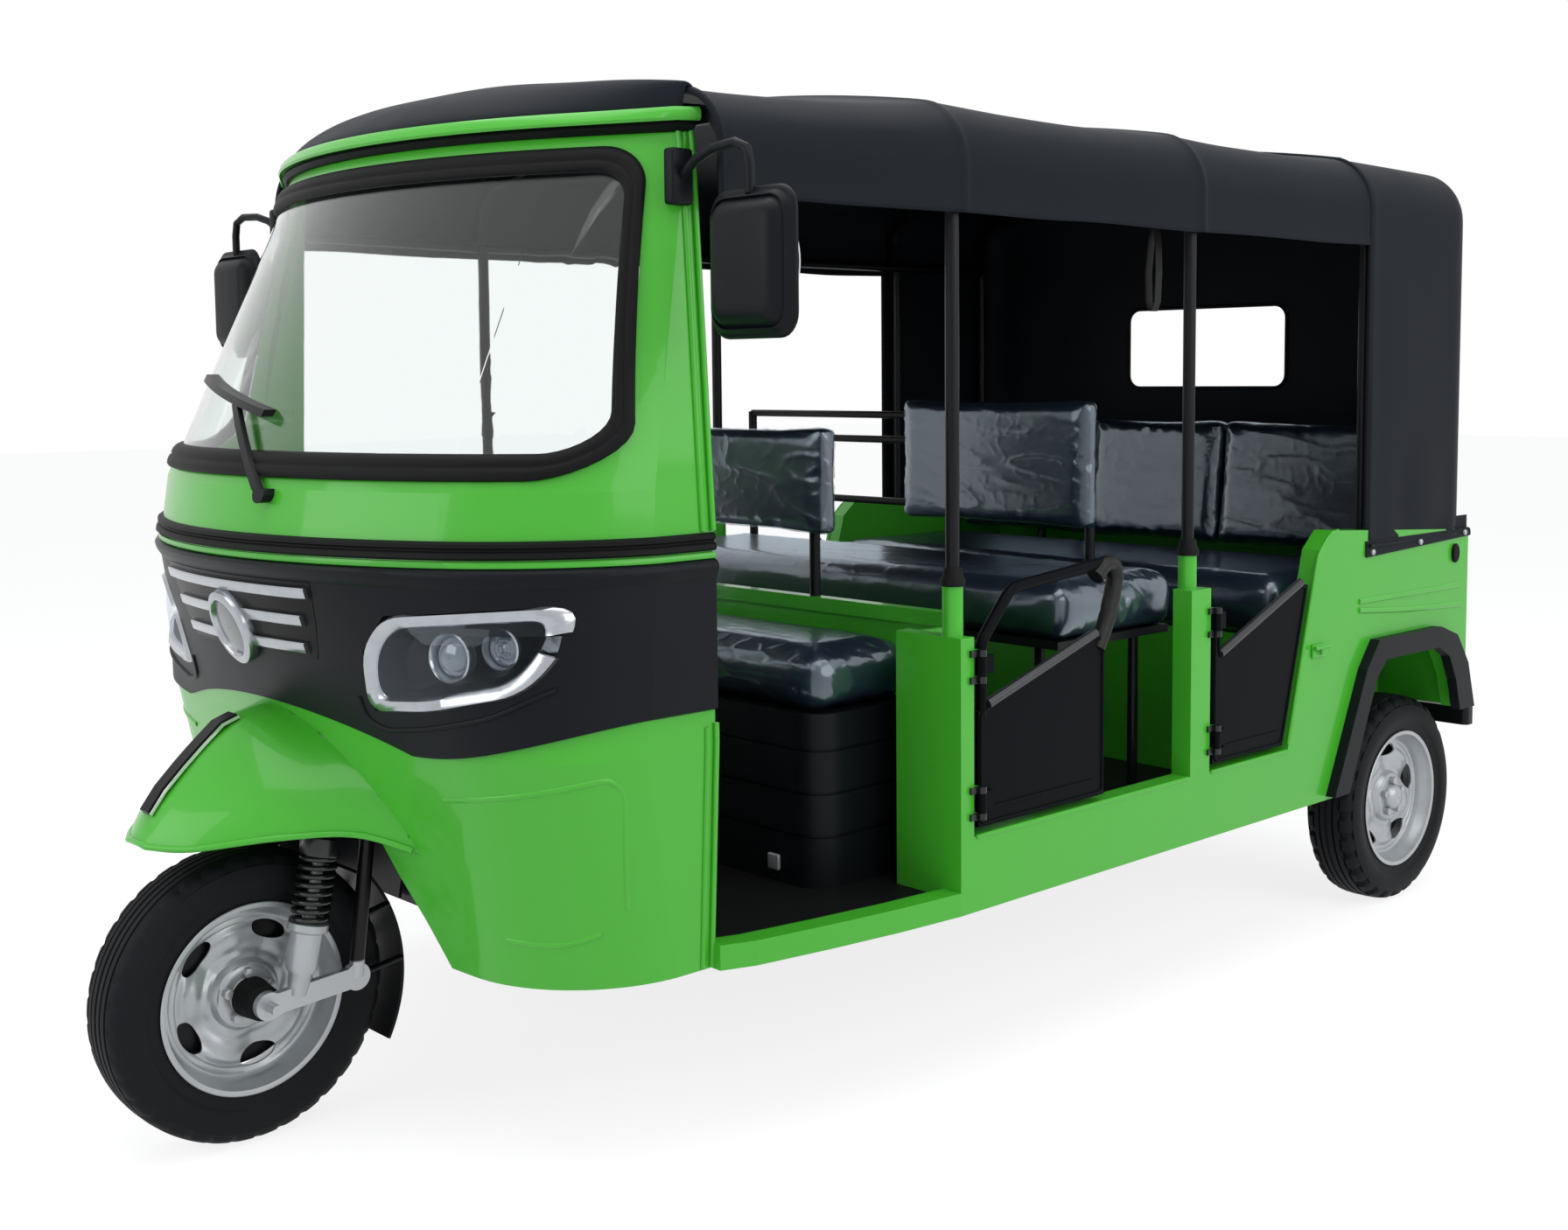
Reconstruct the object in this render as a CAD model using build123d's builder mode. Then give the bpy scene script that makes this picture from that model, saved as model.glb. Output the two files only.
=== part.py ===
from build123d import *
from math import atan2, cos, degrees, hypot, radians, sin, sqrt, tan
import os

# Passenger auto rickshaw. Millimetres; the front of the vehicle looks along -Y, its left side is +X.
# A station is the distance behind the front axle; the origin is the middle of the length, on the ground.
os.makedirs("parts", exist_ok=True)

# ---- driving dimensions -------------------------------------------------------------------------
WHEELBASE = 2673.0
TYRE_RADIUS = 250.0
TYRE_HALF_WIDTH = 64.0
RIM_RADIUS = 166.0
REAR_HALF_TRACK = 650.0
REAR_OVERHANG = 298.0          # rear axle to the rearmost point
REAR_WALL_OVERHANG = 197.0     # rear axle to the rear face of body and canopy
BODY_HALF = 767.0              # half width over the side panels
BODY_BOTTOM = 332.0            # underside of sill and leg shield
SIDE_WALL = 45.0               # thickness of a whole side panel
PANEL = 12.0                   # thickness of a single sheet panel
CAB_WALL = 16.0                # thickness of the cab shell
FLOOR_TOP = 360.0
JAMB_STATION = 500.0           # rear edge of the cab shell
HEM_Z = 1573.0                 # lower edge of the canopy roof
CANOPY_INSET = 10.0            # canopy wall inside the face of the side panels
CANOPY_WALL = 10.0
CURTAIN_AHEAD = 283.0          # front edge of the rear side curtains ahead of the rear axle
RUNNING_GAP = 0.05             # radial clearance of shafts in bores
PIECE_GAP = 0.3                # between soft or curved pieces and what carries them
DOOR_GAP = 12.0                # around the doors

BUMPER_END = WHEELBASE + REAR_OVERHANG
REAR_WALL = WHEELBASE + REAR_WALL_OVERHANG
CURTAIN_FRONT = WHEELBASE - CURTAIN_AHEAD
CANOPY_HALF = BODY_HALF - CANOPY_INSET
CABIN_START = 1030.0           # stations from here to the rear axle stretch with the wheelbase
CABIN_LENGTH = 1643.0          # drawn distance between those two
CABIN_SCALE = (WHEELBASE - CABIN_START) / CABIN_LENGTH
ORIGIN_STATION = (BUMPER_END - TYRE_RADIUS) / 2


def y_at(station):
    return station - ORIGIN_STATION


def cabin(station):
    """Station of something drawn behind the front post, stretched with the wheelbase."""
    return CABIN_START + (station - CABIN_START) * CABIN_SCALE


def yz(pairs):
    """(station, z) pairs as points of a plane that looks along X."""
    return [(y_at(station), z) for station, z in pairs]


def finish(builder, name):
    builder.part.label = name
    export_step(builder.part, f"parts/{name}.step")


def side_plane(x):
    """Plane whose local axes are world Y and Z, looking along +X."""
    return Plane(origin=(x, 0, 0), x_dir=(0, 1, 0), z_dir=(1, 0, 0))


FRONT_PLANE = Plane(origin=(0, 0, 0), x_dir=(1, 0, 0), z_dir=(0, -1, 0))   # local axes X and Z

# ---- cab shell ----------------------------------------------------------------------------------
# Plan of the cab at five heights: station of the nose, knee between nose arc and corner arc,
# and the point where the corner runs into the straight side.
CAB_SECTIONS = [
    # z, nose station, knee x, knee station, side x, side station
    (332.0, 185.0, 430.0, 198.0, 662.0, 430.0),
    (705.0, 90.0, 490.0, 135.0, 681.0, 360.0),
    (1015.0, -20.0, 480.0, 110.0, 681.0, 380.0),
    (1120.0, 0.0, 480.0, 125.0, 674.0, 390.0),
    (1665.0, 262.0, 455.0, 375.0, 640.0, 490.0),
    (1712.0, 285.0, 450.0, 398.0, 634.0, 493.0),
]
LEG_LEVELS = (0, 1, 2)         # sections of the leg shield and fascia
COWL_LEVELS = (2, 3, 4, 5)     # sections of the upper cowl


def cab_loft(levels, outset):
    """Solid cab between some of the sections, its walls moved out (or in, below zero)."""
    with BuildPart() as solid:
        for level in levels:
            z, nose, knee_x, knee_station, side_x, side_station = CAB_SECTIONS[level]
            lean = 2 * (knee_station - nose) / knee_x
            knee = (knee_x + outset * sin(lean), y_at(knee_station) - outset * cos(lean))
            side = (side_x + outset, y_at(side_station))
            jamb = (side_x + outset, y_at(JAMB_STATION))
            with BuildSketch(Plane.XY.offset(z)):
                with BuildLine():
                    ThreePointArc((-knee[0], knee[1]), (0, y_at(nose) - outset), knee)
                    TangentArc(knee, side, tangent=(cos(lean), sin(lean)))
                    Line(side, jamb)
                    Line(jamb, (-jamb[0], jamb[1]))
                    Line((-jamb[0], jamb[1]), (-side[0], side[1]))
                    TangentArc((-knee[0], knee[1]), (-side[0], side[1]), tangent=(-cos(lean), sin(lean)))
                make_face()
        loft(ruled=True)
    return solid.part


def cab_skin(levels, outset, depth):
    """Open-backed shell of the cab, from outset inwards by depth."""
    rear_cut = Pos(0, y_at(JAMB_STATION), 1000) * Box(3000, 2 * PIECE_GAP, 3000)
    return cab_loft(levels, outset) - cab_loft(levels, outset - depth) - rear_cut


def below(z):
    """Everything under a height, to be taken away."""
    return Pos(0, 0, z - 1500) * Box(5000, 8000, 3000)


def above(z):
    return Pos(0, 0, z + 1500) * Box(5000, 8000, 3000)


# Lower edge of the black fascia seen from the front: two arcs on each side, meeting at the dip.
FASCIA_CENTRE_Z = 752.0
FASCIA_DIP = (400.0, 702.0)
FASCIA_SIDE = (760.0, 800.0)
FASCIA_TOP = 1000.0
COWL_BOTTOM = 1003.0
FASCIA_PROUD = 8.0


def fascia_band():
    """Block of everything between the fascia's lower edge and its top, seen from the front."""
    dip_x, dip_z = FASCIA_DIP
    side_x, side_z = FASCIA_SIDE
    with BuildSketch(FRONT_PLANE) as face:
        with BuildLine():
            ThreePointArc((-dip_x, dip_z), (0, FASCIA_CENTRE_Z), (dip_x, dip_z))
            ThreePointArc((dip_x, dip_z), (560, 722), (side_x, side_z))
            Line((side_x, side_z), (side_x, FASCIA_TOP))
            Line((side_x, FASCIA_TOP), (-side_x, FASCIA_TOP))
            Line((-side_x, FASCIA_TOP), (-side_x, side_z))
            ThreePointArc((-side_x, side_z), (-560, 722), (-dip_x, dip_z))
        make_face()
    return extrude(face.sketch, amount=3000, both=True)


# Wheel opening of the leg shield, half outline from the bottom up: x, z.
WHEEL_OPENING = [(388.0, 300.0), (322.0, 405.0), (273.0, 474.0), (236.0, 540.0), (185.0, 655.0)]

fascia_block = fascia_band()
lower_skin = cab_skin(LEG_LEVELS, 0, CAB_WALL)

leg_skin = lower_skin - fascia_block - above(FASCIA_TOP - 1)

with BuildPart() as leg_shield:
    add(leg_skin)
    with BuildSketch(FRONT_PLANE.offset(-y_at(JAMB_STATION - 120))):
        with BuildLine():
            Polyline(*WHEEL_OPENING, *[(-x, z) for x, z in reversed(WHEEL_OPENING)], close=True)
        make_face()
    extrude(amount=1000, mode=Mode.SUBTRACT)
finish(leg_shield, "leg_shield")

# ---- fascia, headlamps and grille ---------------------------------------------------------------
# Outline of a headlamp seen from the front, from its inner top corner round: x, z.
LAMP_OUTLINE = [(392.0, 928.0), (336.0, 868.0), (322.0, 768.0), (460.0, 780.0), (598.0, 814.0),
                (632.0, 876.0), (640.0, 950.0)]
LAMP_CORNER = 14.0
BEZEL_WIDTH = 15.0
BEZEL_PROUD = 12.0
LENS_DEPTH = 14.0
GRILLE_BARS = [(955.0, 248.0), (908.0, 218.0), (861.0, 206.0)]     # z, half length
BAR_HALF_HEIGHT = 8.0
BAR_PROUD = 16.0
EMBLEM_Z = 880.0
EMBLEM_RADIUS = 62.0
EMBLEM_STATION = 28.0          # the cab's nose behind the emblem
EMBLEM_LEAN = 19.5             # the nose leans back towards the chin
EMBLEM_PROUD = 22.0


def lamp_block(side, inset):
    """Headlamp outline run straight back through the cab's front."""
    with BuildSketch(FRONT_PLANE.offset(-y_at(JAMB_STATION - 60))) as face:
        with BuildLine():
            Polyline(*[(side * x, z) for x, z in LAMP_OUTLINE], close=True)
        make_face()
        offset(amount=-inset - LAMP_CORNER, kind=Kind.INTERSECTION)
        offset(amount=LAMP_CORNER, kind=Kind.ARC)
    return extrude(face.sketch, amount=1000)


def bars_block():
    blocks = [Pos(0, y_at(0), z) * Box(2 * half, 700, 2 * BAR_HALF_HEIGHT) for z, half in GRILLE_BARS]
    return blocks[0] + blocks[1:]


fascia_skin = cab_skin(LEG_LEVELS, FASCIA_PROUD, CAB_WALL + FASCIA_PROUD) & fascia_block
lamp_holes = [lamp_block(side, 0) for side in (1, -1)]
lamp_inners = [lamp_block(side, BEZEL_WIDTH) for side in (1, -1)]
bezel_skin = cab_skin(LEG_LEVELS, BEZEL_PROUD, CAB_WALL + BEZEL_PROUD)
lens_skin = cab_skin(LEG_LEVELS, FASCIA_PROUD, CAB_WALL + FASCIA_PROUD)
bar_skin = cab_skin(LEG_LEVELS, BAR_PROUD, BAR_PROUD - FASCIA_PROUD)

with BuildPart() as front_fascia:
    add(fascia_skin - lamp_holes)
finish(front_fascia, "front_fascia")

with BuildPart() as headlamp_bezels:
    for hole, inner in zip(lamp_holes, lamp_inners):
        add((bezel_skin & hole) - inner)
finish(headlamp_bezels, "headlamp_bezels")

with BuildPart() as headlamp_lenses:
    for inner in lamp_inners:
        add(lens_skin & inner)
finish(headlamp_lenses, "headlamp_lenses")

emblem_axis = (0, -cos(radians(EMBLEM_LEAN)), -sin(radians(EMBLEM_LEAN)))
emblem_plane = Plane(origin=(0, y_at(EMBLEM_STATION), EMBLEM_Z), z_dir=emblem_axis)
emblem_disc = extrude(emblem_plane.offset(-EMBLEM_PROUD) * Circle(EMBLEM_RADIUS), amount=2 * EMBLEM_PROUD)
bars = (bar_skin & bars_block()) + (emblem_disc - cab_loft(LEG_LEVELS, FASCIA_PROUD))

with BuildPart() as grille_bars:
    add(bars)
finish(grille_bars, "grille_bars")

# ---- upper cowl and windscreen ------------------------------------------------------------------
SCREEN_BOTTOM = 1138.0         # outer edge of the seal
SCREEN_TOP = 1660.0
SCREEN_HALF_BOTTOM = 664.0
SCREEN_HALF_TOP = 592.0
SCREEN_CORNER = 75.0
SCREEN_SIDE_SHARE = 0.5        # the skin falls away steeply at the sides
SEAL_WIDTH = 40.0
SEAL_PROUD = 9.0
GLASS_INSET = 4.0
GLASS_THICKNESS = 6.0
HEADER_Z = 1695.0              # lower edge of the lip over the windscreen
HEADER_TOP = 1712.0
HEADER_LIP = 26.0


def screen_block(inset):
    """Windscreen outline run straight back through the cab's front."""
    bottom = SCREEN_BOTTOM + inset
    top = SCREEN_TOP - inset
    low_half = SCREEN_HALF_BOTTOM - SCREEN_SIDE_SHARE * inset
    high_half = SCREEN_HALF_TOP - SCREEN_SIDE_SHARE * inset
    with BuildSketch(FRONT_PLANE.offset(-y_at(JAMB_STATION - 25))) as face:
        with BuildLine():
            Polyline((-low_half, bottom), (low_half, bottom), (high_half, top), (-high_half, top),
                     close=True)
        make_face()
        fillet(face.vertices(), SCREEN_CORNER - inset / 2)
    return extrude(face.sketch, amount=1000)


cowl_skin = cab_skin(COWL_LEVELS, 0, CAB_WALL)
header_skin = cab_skin(COWL_LEVELS, HEADER_LIP, HEADER_LIP + CAB_WALL)
seal_skin = cab_skin(COWL_LEVELS, SEAL_PROUD, SEAL_PROUD + CAB_WALL)
glass_skin = cab_skin(COWL_LEVELS, -GLASS_INSET, GLASS_THICKNESS)
cowl_joint = cab_skin(LEG_LEVELS, 0, CAB_WALL) - below(COWL_BOTTOM)
screen_outer = screen_block(0)
screen_inner = screen_block(SEAL_WIDTH)

header_lip = header_skin - below(HEADER_Z)

with BuildPart() as upper_cowl:
    add(cowl_skin + cowl_joint + header_lip - screen_outer)
finish(upper_cowl, "upper_cowl")

with BuildPart() as windscreen_seal:
    add((seal_skin & screen_outer) - screen_inner)
finish(windscreen_seal, "windscreen_seal")

with BuildPart() as windscreen_glass:
    add(glass_skin & screen_inner)
finish(windscreen_glass, "windscreen_glass")

# ---- nose mudguard ------------------------------------------------------------------------------
# Arches of the mudguard from its tip back: station, half width, edge z, crown z.
MUDGUARD_ARCHES = [
    (-168.0, 34.0, 538.0, 552.0),
    (-124.0, 108.0, 540.0, 616.0),
    (-20.0, 200.0, 556.0, 712.0),
    (80.0, 268.0, 556.0, 744.0),
    (152.0, 350.0, 528.0, 751.0),
    (205.0, 372.0, 506.0, 752.0),
]
MUDGUARD_WALL = 8.0


def mudguard_loft(inset):
    with BuildPart() as solid:
        for station, half, edge, crown in MUDGUARD_ARCHES:
            width = half - inset
            top = crown - inset
            base = edge - 40 if inset else edge
            with BuildSketch(FRONT_PLANE.offset(-y_at(station))):
                with BuildLine():
                    Line((-width, base), (width, base))
                    ThreePointArc((width, base), (0.62 * width, base + 0.66 * (top - base)), (0, top))
                    ThreePointArc((0, top), (-0.62 * width, base + 0.66 * (top - base)), (-width, base))
                make_face()
        loft(ruled=True)
    return solid.part


fascia_space = cab_loft(LEG_LEVELS, FASCIA_PROUD + PIECE_GAP) & fascia_block
mudguard_pieces = (mudguard_loft(0) - mudguard_loft(MUDGUARD_WALL) - cab_loft(LEG_LEVELS, PIECE_GAP)
                   - fascia_space)
mudguard_shell = mudguard_pieces.solids().sort_by(SortBy.VOLUME)[-1]

with BuildPart() as nose_mudguard:
    add(mudguard_shell)
finish(nose_mudguard, "nose_mudguard")

# ---- wheels -------------------------------------------------------------------------------------
BEAD_HALF = 52.0
SHOULDER_RADIUS = 241.0
DISC_OFFSET = 18.0             # wheel disc outboard of the middle
DISC_THICKNESS = 8.0
DISC_DISH = 16.0
RIM_BAND = 7.0
HUB_RADIUS = 46.0
HUB_FRONT = 34.0
HUB_BACK = 46.0
WINDOW_COUNT = 5
WINDOW_CIRCLE = 104.0
FRONT_AXLE_RADIUS = 9.0
REAR_AXLE_RADIUS = 16.0


def revolve_about_x(outline):
    """Ring from an (x, radius) outline, spun about the X axis through the origin."""
    with BuildPart() as ring:
        with BuildSketch(Plane.XY):
            with BuildLine():
                Polyline(*outline, close=True)
            make_face()
        revolve(axis=Axis.X)
    return ring.part


def tyre_ring():
    half = TYRE_HALF_WIDTH
    flat = RIM_RADIUS - 10
    return revolve_about_x([
        (-BEAD_HALF, flat), (BEAD_HALF, flat), (BEAD_HALF, RIM_RADIUS), (half - 3, RIM_RADIUS + 18),
        (half, 208), (half - 5, 230), (half - 14, SHOULDER_RADIUS), (30, TYRE_RADIUS - 2), (0, TYRE_RADIUS),
        (-30, TYRE_RADIUS - 2), (-half + 14, SHOULDER_RADIUS), (-half + 5, 230), (-half, 208),
        (-half + 3, RIM_RADIUS + 18), (-BEAD_HALF, RIM_RADIUS),
    ])


def pressed_wheel(bore, hub_radius, outward):
    """Rim band with flanges, dished disc with rounded windows, and the hub with its bore."""
    seat = RIM_RADIUS - 10 - PIECE_GAP
    lip = BEAD_HALF + PIECE_GAP
    band = revolve_about_x([
        (-lip - 6, RIM_RADIUS - 4), (-lip, RIM_RADIUS - 4), (-lip, seat), (lip, seat),
        (lip, RIM_RADIUS - 4), (lip + 6, RIM_RADIUS - 4), (lip + 6, seat - RIM_BAND),
        (-lip - 6, seat - RIM_BAND),
    ])
    face = outward * DISC_OFFSET
    dish = face - outward * DISC_DISH
    back = outward * DISC_THICKNESS
    disc = revolve_about_x([
        (face, bore), (face, 62), (dish, 84), (dish, 124), (face, seat - RIM_BAND + 1),
        (face - back, seat - RIM_BAND + 1), (dish - back, 124), (dish - back, 84), (face - back, 62),
        (face - back, bore),
    ])
    hub = revolve_about_x([(-outward * HUB_BACK, bore), (outward * HUB_FRONT, bore),
                           (outward * HUB_FRONT, hub_radius), (-outward * HUB_BACK, hub_radius)])
    with BuildPart() as wheel:
        add([band, disc, hub])
        with BuildSketch(side_plane(-100)):
            with PolarLocations(WINDOW_CIRCLE, WINDOW_COUNT, start_angle=54):
                RectangleRounded(26, 52, 12)
        extrude(amount=200, mode=Mode.SUBTRACT)
    return wheel.part


TYRE = tyre_ring()
# name, x of the middle of the wheel, station, which way the disc faces
WHEELS = [
    ("front", 0.0, 0.0, 1),
    ("rear_left", REAR_HALF_TRACK, WHEELBASE, 1),
    ("rear_right", -REAR_HALF_TRACK, WHEELBASE, -1),
]
for name, x, station, outward in WHEELS:
    bore = (FRONT_AXLE_RADIUS if name == "front" else REAR_AXLE_RADIUS) + RUNNING_GAP
    centre = Location((x, y_at(station), TYRE_RADIUS))
    rim = pressed_wheel(bore, HUB_RADIUS, outward)
    with BuildPart() as wheel_rim:
        add(rim.moved(centre))
    finish(wheel_rim, f"{name}_rim")
    with BuildPart() as wheel_tyre:
        add(TYRE.moved(centre))
    finish(wheel_tyre, f"{name}_tyre")

# ---- steering -----------------------------------------------------------------------------------
RAKE = 25.0                    # lean of the steering axis from upright
HEAD_STATION = 235.0           # where the axis passes HEAD_Z
HEAD_Z = 640.0
STEM_RADIUS = 17.0
HEAD_RADIUS = 30.0
HEAD_LENGTH = 150.0
YOKE_Z = 572.0
YOKE_THICKNESS = 22.0
LEG_X = 104.0                  # legs and links either side of the wheel
LEG_RADIUS = 13.0
PIVOT = (165.0, 262.0)         # station and z of the link pivot behind the axle
LINK_HALF_THICKNESS = 7.0
LINK_EYE = 24.0
STRUT_FOOT = (54.0, 262.0)
STRUT_HEAD = (118.0, 556.0)
SPRING_RADIUS = 25.0
HANDLEBAR_Z = 1062.0
HANDLEBAR_HALF = 330.0
HANDLEBAR_RADIUS = 12.0
GRIP_RADIUS = 17.0
GRIP_LENGTH = 120.0


def on_axis(z):
    """Station of the steering axis at a height."""
    return HEAD_STATION + (z - HEAD_Z) * tan(radians(RAKE))


def head_plane(z):
    """Plane square to the steering axis, where the axis passes a height."""
    lean = radians(RAKE)
    return Plane(origin=(0, y_at(on_axis(z)), z), x_dir=(1, 0, 0), z_dir=(0, sin(lean), cos(lean)))


def rod(start, end, radius):
    """Round bar between two points given as (x, station, z)."""
    a = Vector(start[0], y_at(start[1]), start[2])
    b = Vector(end[0], y_at(end[1]), end[2])
    plane = Plane(origin=a, z_dir=b - a)
    return extrude(plane * Circle(radius), amount=(b - a).length)


def link_plate(x):
    """Link from the pivot forward to the axle: two eyes and the bar between them."""
    span = hypot(PIVOT[0], PIVOT[1] - TYRE_RADIUS)
    tilt = degrees(atan2(PIVOT[1] - TYRE_RADIUS, PIVOT[0]))
    with BuildPart() as plate:
        with BuildSketch(side_plane(x - LINK_HALF_THICKNESS)):
            with Locations((y_at(0), TYRE_RADIUS), (y_at(PIVOT[0]), PIVOT[1])):
                Circle(LINK_EYE)
            with Locations(Location((y_at(PIVOT[0] / 2), (PIVOT[1] + TYRE_RADIUS) / 2), tilt)):
                Rectangle(span, 1.5 * LINK_EYE)
        extrude(amount=2 * LINK_HALF_THICKNESS)
    return plate.part


yoke_top = head_plane(YOKE_Z)
stem_length = (HANDLEBAR_Z - YOKE_Z) / cos(radians(RAKE)) - HANDLEBAR_RADIUS
fork_pieces = [rod((-LEG_X - 34, 0, TYRE_RADIUS), (LEG_X + 34, 0, TYRE_RADIUS), FRONT_AXLE_RADIUS)]
for side in (1, -1):
    x = side * LEG_X
    fork_pieces += [
        rod((x, PIVOT[0], PIVOT[1]), (x, on_axis(YOKE_Z), YOKE_Z - 4), LEG_RADIUS),
        rod((x, STRUT_HEAD[0] - 4, STRUT_HEAD[1] + 4), (x, on_axis(YOKE_Z), YOKE_Z + 8), LEG_RADIUS),
        link_plate(x),
    ]

with BuildPart() as steering_fork:
    with BuildSketch(yoke_top):
        RectangleRounded(2 * LEG_X + 44, 74, 18)
    extrude(amount=YOKE_THICKNESS, both=True)
    with BuildSketch(yoke_top):
        Circle(STEM_RADIUS)
    extrude(amount=stem_length)
    add(fork_pieces)
finish(steering_fork, "steering_fork")

strut_pieces = []
for side in (1, -1):
    x = side * LEG_X
    low, high = STRUT_FOOT, STRUT_HEAD
    middle = (low[0] + 0.42 * (high[0] - low[0]), low[1] + 0.42 * (high[1] - low[1]))
    strut_pieces.append(rod((x, low[0], low[1]), (x, middle[0], middle[1]), 0.72 * SPRING_RADIUS)
                        + rod((x, middle[0], middle[1]), (x, high[0] - 7, high[1] - 32), SPRING_RADIUS)
                        + rod((x, high[0] - 8, high[1] - 36), (x, high[0], high[1]), 0.56 * SPRING_RADIUS))
strut_clear = steering_fork.part

with BuildPart() as front_struts:
    add([piece - strut_clear for piece in strut_pieces])
finish(front_struts, "front_struts")

bar_station = on_axis(HANDLEBAR_Z)
grip_x = HANDLEBAR_HALF - GRIP_LENGTH
handlebar_pieces = [rod((-HANDLEBAR_HALF, bar_station, HANDLEBAR_Z),
                        (HANDLEBAR_HALF, bar_station, HANDLEBAR_Z), HANDLEBAR_RADIUS)]
for side in (1, -1):
    handlebar_pieces.append(rod((side * grip_x, bar_station, HANDLEBAR_Z),
                                (side * HANDLEBAR_HALF, bar_station, HANDLEBAR_Z), GRIP_RADIUS))
handlebar_clear = steering_fork.part

with BuildPart() as handlebar:
    add([handlebar_pieces[0] - handlebar_clear, handlebar_pieces[1], handlebar_pieces[2]])
finish(handlebar, "handlebar")

GUARD_RADIUS = 272.0
GUARD_WALL = 6.0
GUARD_HALF = 74.0
GUARD_ANGLES = (-28.0, 38.0)   # from straight back, downwards and upwards


def on_guard(radius, angle):
    return (y_at(radius * cos(radians(angle))), TYRE_RADIUS + radius * sin(radians(angle)))


STAY_RADIUS = 6.0
STAY_HEIGHTS = [(365.0, 178.0), (262.0, 165.0)]    # z, station of the leg there
guard_stays = []
for side in (1, -1):
    for z, leg_station in STAY_HEIGHTS:
        reach = sqrt((GUARD_RADIUS + GUARD_WALL / 2) ** 2 - (z - TYRE_RADIUS) ** 2)
        stay = rod((side * LEG_X, leg_station, z), (side * (GUARD_HALF - 4), reach, z), STAY_RADIUS)
        guard_stays.append(stay - steering_fork.part)

with BuildPart() as splash_guard:
    low, high = GUARD_ANGLES
    middle = (low + high) / 2
    outer = GUARD_RADIUS + GUARD_WALL
    with BuildSketch(side_plane(-GUARD_HALF)):
        with BuildLine():
            ThreePointArc(on_guard(GUARD_RADIUS, low), on_guard(GUARD_RADIUS, middle),
                          on_guard(GUARD_RADIUS, high))
            Line(on_guard(GUARD_RADIUS, high), on_guard(outer, high))
            ThreePointArc(on_guard(outer, high), on_guard(outer, middle), on_guard(outer, low))
            Line(on_guard(outer, low), on_guard(GUARD_RADIUS, low))
        make_face()
    extrude(amount=2 * GUARD_HALF)
    add(guard_stays)
finish(splash_guard, "splash_guard")

# ---- chassis ------------------------------------------------------------------------------------
RAIL_X = 380.0
RAIL_WIDTH = 50.0
RAIL_HEIGHT = 60.0
RAIL_FRONT = 420.0
RAIL_STEP = WHEELBASE - 373    # rails rise here to pass over the rear axle
REAR_RAIL_Z = 430.0
FLOOR_THICKNESS = 12.0
FLOOR_BOTTOM = FLOOR_TOP - FLOOR_THICKNESS
CROSS_STATIONS = [440.0, 700.0, 1015.0, cabin(1370.0), cabin(1760.0), cabin(2140.0)]
REAR_CROSS_STATIONS = [RAIL_STEP + 40, REAR_WALL - 50]
NECK_HALF = 30.0
TRAY_HALF = 400.0


def bar_x(half, station, z_low, z_high, depth):
    """Box across the vehicle."""
    return Pos(0, y_at(station), (z_low + z_high) / 2) * Box(2 * half, depth, z_high - z_low)


def bar_y(x, front, rear, z_low, z_high, width):
    """Box along the vehicle."""
    return Pos(x, y_at((front + rear) / 2), (z_low + z_high) / 2) * Box(width, rear - front, z_high - z_low)


frame_pieces = []
rail_top = FLOOR_BOTTOM
for side in (1, -1):
    x = side * RAIL_X
    frame_pieces += [
        bar_y(x, RAIL_FRONT, RAIL_STEP, rail_top - RAIL_HEIGHT, rail_top, RAIL_WIDTH),
        bar_y(x, RAIL_STEP - RAIL_WIDTH, RAIL_STEP, rail_top - RAIL_HEIGHT, REAR_RAIL_Z + RAIL_WIDTH,
              RAIL_WIDTH),
        bar_y(x, RAIL_STEP, REAR_WALL - PANEL - 8, REAR_RAIL_Z, REAR_RAIL_Z + RAIL_WIDTH, RAIL_WIDTH),
    ]
frame_pieces += [bar_x(RAIL_X, station, rail_top - 50, rail_top, 40) for station in CROSS_STATIONS]
frame_pieces += [bar_x(RAIL_X, station, REAR_RAIL_Z, REAR_RAIL_Z + RAIL_WIDTH, 40)
                 for station in REAR_CROSS_STATIONS]
head_axis_plane = head_plane(HEAD_Z)
head_tube = extrude(head_axis_plane * Circle(HEAD_RADIUS), amount=HEAD_LENGTH)
head_bore = extrude(head_axis_plane.offset(-20) * Circle(STEM_RADIUS + RUNNING_GAP), amount=HEAD_LENGTH + 40)
neck_outline = [(440.0, rail_top - 50), (475.0, rail_top - 50), (475.0, rail_top + 20), (360.0, 735.0),
                (325.0, 735.0), (290.0, 700.0), (322.0, 640.0), (408.0, rail_top + 20)]

with BuildPart() as neck:
    with BuildSketch(side_plane(-NECK_HALF)):
        with BuildLine():
            Polyline(*yz(neck_outline), close=True)
        make_face()
    extrude(amount=2 * NECK_HALF)

TRAY_OUTLINE = [(352.0, rail_top), (352.0, rail_top - 24), (470.0, rail_top - 84), (620.0, rail_top - 84),
                (900.0, rail_top - 24), (900.0, rail_top)]
with BuildPart() as belly_tray:
    with BuildSketch(side_plane(-TRAY_HALF)):
        with BuildLine():
            Polyline(*yz(TRAY_OUTLINE), close=True)
        make_face()
    extrude(amount=2 * TRAY_HALF)

with BuildPart() as chassis_frame:
    add(frame_pieces)
    add(belly_tray.part)
    add([neck.part, head_tube])
    add(head_bore, mode=Mode.SUBTRACT)
finish(chassis_frame, "chassis_frame")

# ---- wheel housing and floor --------------------------------------------------------------------
HOUSING_HALF = 392.0
HOUSING_WALL = 6.0
HOUSING_TOP = 640.0
HOUSING_REAR = (338.0, 392.0)  # station of the rear wall at the floor and at its top
housing_slot = bar_y(0, 190, 600, 100, 1000, 2 * NECK_HALF + 2 * DOOR_GAP)
housing_front = cab_loft((0, 1, 2), -CAB_WALL - PIECE_GAP)

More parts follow.
